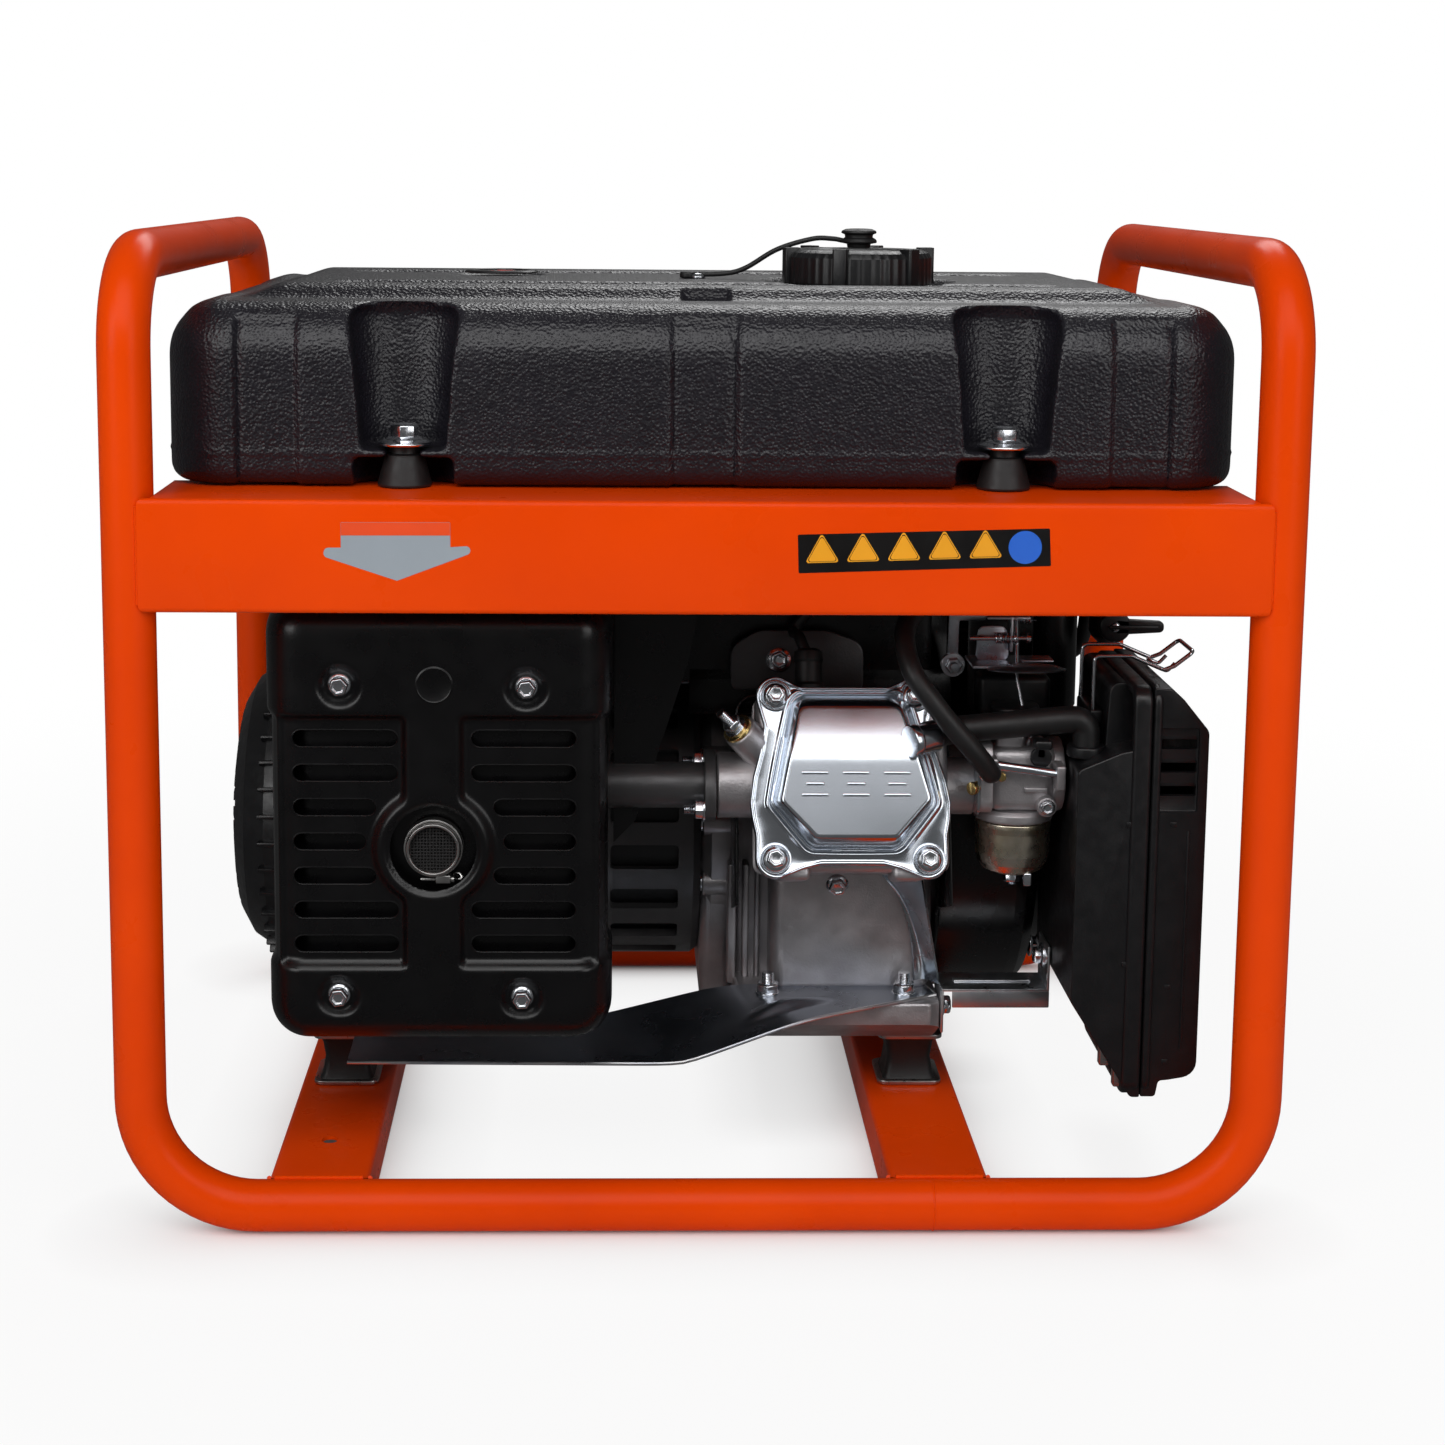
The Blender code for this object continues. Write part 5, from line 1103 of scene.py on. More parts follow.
def heat_plate():
    """The sheet that carries the silencer: a shelf, a slope up to the engine's foot, and a pressed rib."""
    shelf, foot = BASE_Z + 0.0123, FOOT_TOP + GAP
    front = fillet([(-0.1820, -0.1500), (-0.0080, -0.1530), (0.0560, -0.1400), (0.1300, -0.1010)],
                   [0, 0.018, 0.060, 0], 14, False)
    back = fillet([(-0.1820, -0.0600), (-0.0600, -0.0880), (0.0140, -0.0880), (0.1240, -0.0780)],
                  [0, 0.020, 0.020, 0], 14, False)
    columns, across = 200, 40

    def along(line, t):
        lengths = [0.0]
        for p, q in zip(line, line[1:]):
            lengths.append(lengths[-1] + math.dist(p, q))
        at = t * lengths[-1]
        return Vector((np.interp(at, lengths, [p[0] for p in line]),
                       np.interp(at, lengths, [p[1] for p in line])))

    start, end = Vector((0.018, -0.1330)), Vector((0.080, -0.1060))
    way = (end - start).normalized()
    half = (end - start).length / 2
    rows = []
    for i in range(columns + 1):
        near, far = along(front, i / columns), along(back, i / columns)
        row = []
        for j in range(across + 1):
            p = near.lerp(far, j / across)
            first, second = -0.0080 - 0.80 * (p.y + 0.1530), 0.0560 - 0.81 * (p.y + 0.1400)
            rise = float(soft_min([-soft_min([(first - p.x) / (second - first), 0.0], 14), 1.0], 14))
            z = shelf + (foot - shelf) * rise
            q = p - (start + end) / 2
            far_off = math.hypot(q.dot(way) / half, (q.x * way.y - q.y * way.x) / 0.0085)
            z += 0.0040 * max(0, 1 - far_off ** 2) ** 2
            row.append(Vector((p.x, p.y, z)))
        rows.append(row)
    points = [p + Vector((0, 0, dz)) for dz in (0, 0.0015) for row in rows for p in row]
    n, w = (columns + 1) * (across + 1), across + 1
    faces = []
    for i in range(columns):
        for j in range(across):
            p, q, r, s = i * w + j, i * w + j + 1, (i + 1) * w + j + 1, (i + 1) * w + j
            faces += [(p, q, r, s), (n + s, n + r, n + q, n + p)]
    edge = [i * w for i in range(columns + 1)] + [columns * w + j for j in range(1, w)]
    edge += [i * w + across for i in range(columns - 1, -1, -1)] + [j for j in range(across - 1, 0, -1)]
    faces += [(p, q, n + q, n + p) for p, q in zip(edge, edge[1:] + edge[:1])]
    dress(from_lists("plate", points, faces), "heat_plate_sheet", PLATE, replaces=["muffler_bracket"],
          smooth=40)
    rim = [row[0] + Vector((0, 0, 0.0007)) for row in rows[::4]] + [p + Vector((0, 0, 0.0007))
                                                                    for p in rows[-1][::4]]
    dress(sweep("lip", rim, 0.0010, 10), "heat_plate_edge", ZINC)
    nuts = [nut((x, -0.1000, foot + 0.0015), Z_AXIS, 0.0110, 0.0060, 0.0050, 0.4) for x in FOOT_STUDS]
    dress(merge("nuts", *nuts), "foot_nuts", BOLTS)


# ---------------------------------------------------------------- engine

# (x, y) drawn across the cylinder and height measured up it from the shaft
FACE = UP_CYLINDER @ Matrix(((1, 0, 0, 0), (0, 0, -1, 0), (0, 1, 0, 0), (0, 0, 0, 1)))
HEAD_TOP, FIN_PITCH = DECK + 0.0380, 0.011
PLUG_WELL = UP_CYLINDER @ Matrix.Translation((-0.020, -DECK - 0.022, 0))
COVER_BOLTS = ((-0.0388, 0.0446), (-0.0395, -0.0395), (0.0395, -0.0395), (0.0336, 0.0446))
STUD, STUD_AXIS = (0.0200, -0.1330, 0.2410), (-0.62, -0.42, 0.66)
PORT = UP_CYLINDER @ Vector((0, -DECK - 0.019, 0))


def soft_min(values, sharpness):
    """The least of the values, with the corner between them rounded."""
    total = sum(np.exp(-sharpness * v) for v in values)
    return -np.log(total) / sharpness


def ray_length(loop, centre, angle):
    """How far the ray at that angle runs from the centre to the closed loop."""
    dx, dy = math.cos(angle), math.sin(angle)
    far = 0
    for (x0, y0), (x1, y1) in zip(loop, loop[1:] + loop[:1]):
        ex, ey = x1 - x0, y1 - y0
        across = dx * ey - dy * ex
        if abs(across) > 1e-12:
            along = ((x0 - centre[0]) * ey - (y0 - centre[1]) * ex) / across
            share = ((x0 - centre[0]) * dy - (y0 - centre[1]) * dx) / across
            if -1e-9 <= share <= 1 + 1e-9:
                far = max(far, along)
    return far


def cover_dome(y):
    """Height of the pressed cover's top above its flange: the upper panel slopes back."""
    return 0.0195 + 0.22 * float(soft_min([-max(y - 0.0118, -0.02), 0.0], 900))


def cover_pressing(outline, foot, crown, base):
    """Closed rings from the flange's edge over its bead and up the wall to the crown."""
    centre, turns = (0.0010, 0.0030), 420
    rays = []
    for k in range(turns):
        angle = 2 * math.pi * k / turns
        rays.append((math.cos(angle), math.sin(angle),
                     *(ray_length(loop, centre, angle) for loop in (outline, foot, crown))))
    rows = []

    def ring(radius, height):
        row = []
        for cx, cy, *edges in rays:
            r = radius(*edges)
            x, y = centre[0] + cx * r, centre[1] + cy * r
            row.append(FACE @ Vector((x, y, base + height(y))))
        rows.append(row)

    for inset, level in ((0, 0), (0, 0.0016), (0.0003, 0.0025), (0.0009, 0.0031), (0.0016, 0.0032),
                         (0.0023, 0.0028),
                         (0.0028, 0.0026)):
        ring(lambda o, f, c, d=inset: o - d * min(1, (o - f) / 0.0075), lambda y, h=level: h)
    for outset, level in ((0.0046, 0.0026), (0.0040, 0.0029), (0.0034, 0.0037), (0.0026, 0.0041),
                          (0.0018, 0.0038),
                          (0.0012, 0.0029), (0.0006, 0.0024), (0, 0.0026)):
        ring(lambda o, f, c, d=outset: f + d * min(1, (o - f) / 0.0075), lambda y, h=level: h)
    for share, lift in ((0.10, 0.16), (0.35, 0.46), (0.60, 0.74), (0.80, 0.90), (0.92, 0.965), (1.0, 0.99),
                        (1.05, 1.0)):
        ring(lambda o, f, c, t=share: f + (c - f) * t,
             lambda y, t=lift: 0.0026 + (cover_dome(y) - 0.0026) * t)
    for k in range(1, 26):
        ring(lambda o, f, c, t=k / 26: (f + (c - f) * 1.05) * (1 - t), lambda y: cover_dome(y))
    points = [p for row in rows for p in row] + [FACE @ Vector((*centre, base + cover_dome(centre[1])))]
    faces = [tuple(range(turns))[::-1]]
    for r in range(len(rows) - 1):
        for k in range(turns):
            n = (k + 1) % turns
            faces.append((r * turns + k, r * turns + n, (r + 1) * turns + n, (r + 1) * turns + k))
    last = (len(rows) - 1) * turns
    faces += [(last + k, last + (k + 1) % turns, len(points) - 1) for k in range(turns)]
    return from_lists("cover", points, faces)


def valve_cover():
    """A pressed cover: lipped flange, bead, six-sided crown with plain embossed bars, four bolts."""
    outline = arc(-0.0388, 0.0446, 0.0102, 78, 195, 12)
    outline += [(-0.0450, 0.0290), (-0.0472, 0.0160), (-0.0510, 0.0020), (-0.0526, -0.0110),
                (-0.0514, -0.0200),
                (-0.0496, -0.0280)]
    outline += arc(-0.0395, -0.0395, 0.0102, 178, 285, 12)
    outline += [(-0.0260, -0.0450), (-0.0170, -0.0428), (0.0170, -0.0428), (0.0260, -0.0450)]
    outline += arc(0.0395, -0.0395, 0.0102, 255, 362, 12)
    outline += [(0.0496, -0.0280), (0.0512, -0.0200), (0.0518, -0.0110), (0.0496, 0.0010), (0.0458, 0.0120),
                (0.0420, 0.0240), (0.0418, 0.0330)]
    outline += arc(0.0336, 0.0446, 0.0102, -15, 102, 12)
    outline += [(0.0200, 0.0492), (-0.0260, 0.0492)]
    outline = fillet(outline, 0.004, 3)
    foot = fillet([(0.0285, 0.0450), (-0.0300, 0.0450), (-0.0412, -0.0112), (-0.0216, -0.0346),
                   (0.0240, -0.0346),
                   (0.0432, -0.0104)], [0.0090, 0.0090, 0.0060, 0.0080, 0.0080, 0.0060], 8)
    crown = fillet([(0.0252, 0.0380), (-0.0268, 0.0380), (-0.0372, -0.0110), (-0.0196, -0.0292),
                    (0.0216, -0.0292),
                    (0.0390, -0.0098)], [0.0040, 0.0040, 0.0040, 0.0030, 0.0030, 0.0040], 6)
    base = HEAD_TOP + GAP
    dress(cover_pressing(outline, foot, crown, base), "valve_cover_pressing", CHROME,
          replaces=["valve_cover"], smooth=60)
    bars = []
    for x in (-0.0200, 0.0010, 0.0220):
        for y, half in ((0.0034, 0.0070), (-0.0022, 0.0048), (-0.0078, 0.0070)):
            bars.append(block("bar", (x - half, y - 0.0009, base + 0.0186),
                              (x + half, y + 0.0009, base + 0.0198), 0.0005, 3, FACE))
    dress(merge("bars", *bars), "valve_cover_bars", CHROME)
    up = (FACE.to_3x3() @ Vector((0, 0, 1))).normalized()
    heads, seats = [], []
    for k, (x, y) in enumerate(COVER_BOLTS):
        heads.append(bolt(FACE @ Vector((x, y, base + 0.0034)), up, 0.0086, 0.0058, 0.0064, 0.3 * k,
                          0.0008))
        seats.append(lathe("seat", [(0.0020, 0.0022), (0.0086, 0.0022), (0.0082, 0.0032), (0.0074, 0.0034),
                                    (0.0068, 0.0030),
                                    (0.0020, 0.0030)], FACE @ Matrix.Translation((x, y, base)), 40, 0.0003,
                                    True))
    dress(merge("bolts", *heads), "valve_cover_bolts", BOLTS)
    dress(merge("seats", *seats), "valve_cover_bolt_seats", CHROME)
    spout = lathe("spout", [(0, 0), (0.0086, 0), (0.0086, 0.004), (0.0076, 0.005), (0.0076, 0.016),
                            (0, 0.016)],
                  placed((0.1060, -0.1560, 0.2405), (0.9, 0.40, 0.08)), 32, 0.0006)
    dress(spout, "breather_spout", CHROME)


def fin_groove(along):
    """A cutter for the gap between two cooling fins, so far up the cylinder."""
    half = 0.0027
    return block("groove", (-0.060, -along - half, -0.060), (0.060, -along + half, 0.060), 0, 1,
                 UP_CYLINDER)


def cylinder_head():
    """The finned head with its ports and the plug's well; the barrel's fins belong to the crankcase."""
    low, high = DECK + GAP, HEAD_TOP
    head = block("head", (-0.049, -high, -0.046), (0.051, -low, 0.046), 0.005, 4, UP_CYLINDER)
    for k in range(2):
        along = DECK + 0.010 + FIN_PITCH * k
        groove = fin_groove(along)
        cut(groove, block("core", (-0.040, -along - 0.01, -0.036), (0.042, -along + 0.01, 0.036), 0.004, 3,
                          UP_CYLINDER))
        cut(head, groove)
    left = lathe("left", [(0, -0.02), (0.0170, -0.02), (0.0170, 0.014), (0.0155, 0.0150), (0, 0.0150)],
                 placed((0.0240, PORT.y, PORT.z), (-1, 0, 0)), 44, 0.0010)
    right = lathe("right", [(0, -0.02), (0.0150, -0.02), (0.0150, 0.0095), (0, 0.0100)],
                  placed((0.1340, PORT.y, PORT.z), X_AXIS), 44, 0.0010)
    union(head, left, right)
    cut(head, disc("left_bore", 0.0105, -0.03, 0.03, placed((0.0100, PORT.y, PORT.z), X_AXIS), 0, 32),
        disc("right_bore", 0.0105, -0.03, 0.03, placed((0.1440, PORT.y, PORT.z), X_AXIS), 0, 32),
        disc("well", 0.0075, 0.025, 0.060, PLUG_WELL, 0, 32))
    soften(head, 0.0006, 2, 40)
    for x in (-0.030, 0.030):
        boss = block("boss", (x - 0.009, -high - 0.0002, -0.050), (x + 0.009, -low - 0.012, -0.040), 0.003,
                     3, UP_CYLINDER)
        head = merge("head", head, boss)
    lug = lathe("lug", [(0, -0.022), (0.0105, -0.022), (0.0090, 0.0), (0, 0.0)], placed(STUD, STUD_AXIS),
                36, 0.0015)
    dress(merge("head", head, lug), "cylinder_head_casting", CAST, replaces=["cylinder_head"], smooth=38)
    washer = lathe("washer", [(0.0032, 0.0001), (0.0082, 0.0001), (0.0082, 0.0020), (0.0032, 0.0020)],
                   placed(STUD, STUD_AXIS), 36,
                   0.0003, True)
    dress(washer, "head_stud_washer", BRASS)
    top = Vector(STUD) + Vector(STUD_AXIS).normalized() * 0.0022
    dress(nut(top, STUD_AXIS, 0.0092, 0.0058, 0.0075, 0.3, 0.0062), "head_stud_nut", BOLTS)


def crankcase():
    low, high = CASE_X
    case = lathe("case", [(0, low), (0.0770, low), (0.0780, low + 0.002), (0.0780, high - 0.004),
                          (0.0740, high),
                          (0, high)], SHAFT, 88, 0.0012)
    outline = [(low, -0.0850), (low + 0.010, -0.0990), (low + 0.026, -0.1085), (low + 0.040, -0.1120),
               (high - 0.006, -0.1120),
               (high, -0.1060), (high, 0.1300), (low, 0.1300)]
    foot = soften(prism("foot", fillet(outline, [0.002, 0.010, 0.010, 0.010, 0.004, 0.004, 0.012, 0.012],
                                       5),
                        BASE_Z, FOOT_TOP), 0.0022, 3)
    trunk = block("trunk", (low, -0.0620, BASE_Z + 0.02), (high - 0.003, 0.085, AXIS_Z), 0.006, 4)
    barrel = block("barrel", (-0.043, -DECK, -0.042), (0.043, -0.040, 0.042), 0.005, 4, UP_CYLINDER)
    filler = lathe("filler", [(0, 0), (0.0125, 0), (0.0125, 0.016), (0.0105, 0.0205), (0, 0.0205)],
                   dipstick(), 40, 0.001)
    union(case, foot, trunk, barrel, filler)
    cut(case, disc("hollow", 0.0680, low - 0.01, high - 0.006, SHAFT, 0, 64),
        disc("shaft_hole", SHAFT_R + 0.001, high - 0.02, high + 0.02, SHAFT, 0, 32),
        disc("bore", 0.0340, 0.02, DECK + 0.02, FACE, 0, 64),
        disc("filler_bore", 0.0085, -0.02, 0.05, dipstick(), 0, 32))
    cut(case, prism("rise", [(-0.1300, 0.0500), (-0.1300, 0.0780), (-0.1120, 0.0740), (-0.0760, 0.0540),
                             (-0.0760, 0.0500)],
                    low - 0.01, high + 0.01, ON_YZ))
    for k in range(5):
        along = DECK - 0.012 - FIN_PITCH * k
        groove = fin_groove(along)
        cut(groove, disc("core", 0.0375, along - 0.01, along + 0.01, FACE, 0, 56))
        cut(case, groove)
    ribs = []
    for x, width in ((low - 0.0010, 0.0024), (low + 0.0065, 0.0018), (low + 0.0130, 0.0014)):
        ribs.append(block("rib", (x - width, -0.0690, FOOT_TOP - 0.004), (x + width, -0.0560, 0.1500),
                          0.0012))
    ribs.append(edged_block("front", (low + 0.019, -0.0900, FOOT_TOP - 0.002),
                            (high - 0.003, -0.0560, 0.1620), 0.008, 0.0070,
                            0.0070, 5))
    for rib in ribs:
        cut(rib, disc("bore", 0.0345, 0.0, DECK + 0.02, FACE, 0, 64))
    for x in FOOT_STUDS:
        ribs.append(lathe("pad", [(0, FOOT_TOP - 0.01), (0.0085, FOOT_TOP - 0.01), (0.0085, FOOT_TOP),
                                  (0, FOOT_TOP)],
                          placed((x, -0.1000, 0)), 36, 0.0005))
    dress(merge("case", case, *ribs), "crankcase_casting", CAST, replaces=["crankcase"], smooth=38)

    roof = prism("roof", fillet([(-0.0575, -0.062), (-0.0575, 0.050), (0.0575, 0.050), (0.0575, -0.062),
                                 (0.0560, -0.062),
                                 (0.0560, 0.0485), (-0.0560, 0.0485), (-0.0560, -0.062)],
                                [0, 0.010, 0.010, 0, 0, 0.0088, 0.0088, 0], 6), 0.070, DECK - 0.002, FACE)
    dress(soften(roof, 0.0004, 2), "cylinder_air_duct", ENAMEL)
    points, faces = [], []
    for k in range(33):
        t = k / 32
        turn = math.radians(90 * t)
        near = Vector((0.0790 + 0.0400 * math.sin(turn) ** 0.8, -0.0912,
                       0.1600 - 0.0680 * (1 - math.cos(turn))))
        far = Vector((0.1180 + 0.0150 * t, -0.1210 + 0.0250 * t, 0.1640 - 0.0720 * t))
        points += [near.lerp(far, j / 12) + Vector((0, 0.0050 * math.sin(math.pi * j / 12), 0))
                   for j in range(13)]
        if k:
            faces += [((k - 1) * 13 + j, (k - 1) * 13 + j + 1, k * 13 + j + 1, k * 13 + j)
                      for j in range(12)]
    guide = from_lists("guide", points, faces)
    step = guide.modifiers.new("sheet", "SOLIDIFY")
    step.thickness = 0.0012
    bake(guide)
    dress(guide, "cylinder_lower_air_guide", TEAL, smooth=60)
    screws = [bolt(UP_CYLINDER @ Vector((x, -0.115, 0.0500)), (UP_CYLINDER.to_3x3() @ Vector((0, 0, 1))),
                   0.0085, 0.005,
                   0.0065, 0.5) for x in (-0.034, 0.036)]
    under = bolt((CYLINDER_X - 0.0045, -0.1240, 0.1560), (0, -1, -0.3), 0.0085, 0.005, 0.006, 0.2)
    dress(merge("bolts", *screws, under), "air_duct_bolts", BOLTS)


def engine_cowl():
    """The black sheet that leads the fan's air over the cylinder, and the guard beside the silencer."""
    cowl = edged_block("cowl", (-0.0620, -0.0700, 0.2500), (0.1390, 0.0720, 0.3220), 0.018, 0.008, 0.004, 5)
    cut(cowl, block("inside", (-0.0605, -0.0685, 0.2400), (0.1375, 0.0705, 0.3205), 0.006, 3))
    skirt = block("skirt", (-0.0040, -0.0700, 0.2350), (0.1390, -0.0685, 0.2600), 0.0005, 2)
    plate = prism("plate", fillet([(0.0180, 0.2500), (0.0900, 0.2500), (0.0900, 0.2760), (0.0700, 0.2830),
                                   (0.0330, 0.2830),
                                   (0.0180, 0.2740)], [0.004, 0.004, 0.010, 0.016, 0.016, 0.010], 6),
                                   -0.0790, -0.0755, ON_XZ)
    dress(merge("cowl", cowl, skirt), "engine_cowl_sheet", ENAMEL, smooth=38)
    dress(soften(plate, 0.0012, 2), "engine_cowl_front_plate", DARK_CAST)
    posts = [lathe("post", [(0, 0), (0.0040, 0), (0.0040, 0.0056), (0, 0.0056)],
                   placed((x, -0.0756, 0.2700), Y_AXIS), 20)
             for x in (0.044, 0.082)]
    head = bolt((0.044, -0.0790, 0.2670), (0, -1, 0.15), 0.0085, 0.0055, 0.0068, 0.4)
    dress(merge("bolts", *posts, head), "engine_cowl_bolts", BOLTS)
    guard = prism("guard", fillet([(-0.0445, 0.1780), (-0.0330, 0.1900), (-0.0060, 0.2750),
                                   (0.0010, 0.3120), (-0.0445, 0.3120)],
                                  [0.0002, 0.004, 0.010, 0.003, 0.0002], 5), -0.1230, -0.1215, ON_XZ)
    flap = block("flap", (-0.0440, -0.1230, 0.3105), (0.0005, -0.0640, 0.3120), 0.0004, 2)
    dress(merge("guard", guard, flap), "muffler_side_guard", ENAMEL)


def dipstick():
    return Matrix.Translation((0.0450, 0.1150, FOOT_TOP)) @ Matrix.Rotation(math.radians(-40), 4, "X")


def oil_dipstick():
    def grip(a, r):
        return 1 - (0.07 * (0.5 + 0.5 * math.cos(9 * a)) if r > 0.012 else 0)

    cap = lathe("cap", [(0, 0.0330), (0.0090, 0.0330), (0.0125, 0.0318), (0.0140, 0.0300), (0.0140, 0.0212),
                        (0.0070, 0.0206), (0.0070, 0.0100), (0, 0.0100)], dipstick(), 72, 0.0006, pull=grip)
    thread = sweep("thread", [dipstick() @ Vector((0.0072 * math.cos(a), 0.0072 * math.sin(a),
                                                   0.016 - a * 0.0004))
                              for a in np.linspace(0, 30, 120)], 0.0006, 6)
    blade = block("blade", (-0.0028, -0.0008, -0.0200), (0.0028, 0.0008, 0.0105), 0.0004, 2, dipstick())
    dress(merge("dipstick", cap, thread, blade), "oil_dipstick_cap", BLACK, "oil_dipstick",
          ["oil_dipstick"])


def side_cover():
    low, high = 0.0040, CASE_X[0] - GAP
    at = SHAFT
    cover = lathe("cover", [(0, low), (0.0740, low), (0.0800, low + 0.006), (0.0800, high), (0, high)], at,
                  88, 0.0010)
    union(cover, block("skirt", (low, -0.0500, BASE_Z + 0.010), (high, 0.0900, AXIS_Z), 0.005, 4))
    cut(cover, disc("hole", SHAFT_R + 0.001, -0.02, 0.04, at, 0, 40))
    turns = [math.radians(-20 + 27.5 * k) for k in range(9)]
    places = [(AXIS_Y + 0.0745 * math.cos(a), AXIS_Z + 0.0745 * math.sin(a)) for a in turns]
    lugs = [lathe("lug", [(0, low + 0.001), (0.0075, low + 0.001), (0.0075, high), (0, high)],
                  placed((0, y, z), X_AXIS), 24, 0.0008) for y, z in places]
    dress(merge("cover", cover, *lugs), "crankcase_side_cover", CAST, replaces=["crankcase_cover"],
          smooth=38)
    heads = [bolt((low + 0.001, y, z), (-1, 0, 0), 0.0080, 0.0050, 0.0056, 0.2 * k)
             for k, (y, z) in enumerate(places) if z > 0.09]
    dress(merge("bolts", *heads), "side_cover_bolts", BOLTS)


def spark_plug():
    at = PLUG_WELL
    body = lathe("body", [(0, 0.0300), (0.0060, 0.0300), (0.0060, 0.0440), (0.0075, 0.0450),
                          (0.0042, 0.0500),
                          (0.0042, 0.0560), (0, 0.0560)], at, 32, 0.0004)
    hexagon = soften(lathe("hexagon", [(0, 0.0450), (0.0092, 0.0450), (0.0092, 0.0490), (0, 0.0490)], at,
                           6), 0.0004, 2)
    dress(merge("plug", body, hexagon), "spark_plug_body", STEEL, replaces=["spark_plug"])
    boot = lathe("boot", [(0.0046, 0.0490), (0.0085, 0.0490), (0.0085, 0.0520), (0.0072, 0.0535),
                          (0.0072, 0.0640),
                          (0.0080, 0.0655), (0.0074, 0.0700), (0.0046, 0.0720)], at, 36, 0.0005, True)
    top = at @ Vector((0, 0, 0.0660))
    lead = [top, at @ Vector((-0.004, 0.004, 0.078)), at @ Vector((-0.006, 0.016, 0.084)),
            (0.062, -0.080, 0.2960),
            (0.064, -0.066, 0.2955)]
    wire = sweep("lead", spline(lead, 60), 0.0030, 14)
    dress(merge("boot", boot, wire), "spark_plug_lead", RUBBER, smooth=50)


def flywheel():
    low, high = 0.1400, 0.1540
    at = SHAFT
    wheel = lathe("wheel", [(0.0128, high + 0.004), (0.0240, high + 0.004), (0.0260, high),
                            (0.0560, high - 0.002),
                            (0.0600, high), (0.0850, high), (0.0880, high - 0.003), (0.0880, low),
                            (0.0128, low)],
                  at, 96, 0.0008, True)
    blades = []
    for k in range(18):
        a = 2 * math.pi * k / 18
        route = []
        for j in range(7):
            r = 0.052 + 0.034 * j / 6
            b = a + 0.22 * (j / 6) ** 1.5
            route.append((r * math.cos(b), r * math.sin(b)))
        outline = [(x, y) for x, y in route] + [(x * 0.998 - y * 0.03, y * 0.998 + x * 0.03) for x,
                                                y in reversed(route)]
        blades.append(prism("blade", outline, high - 0.001, high + 0.0195, at))
    dress(merge("wheel", wheel, *blades), "flywheel_fan", CAST, "crank", ["flywheel"], 30)


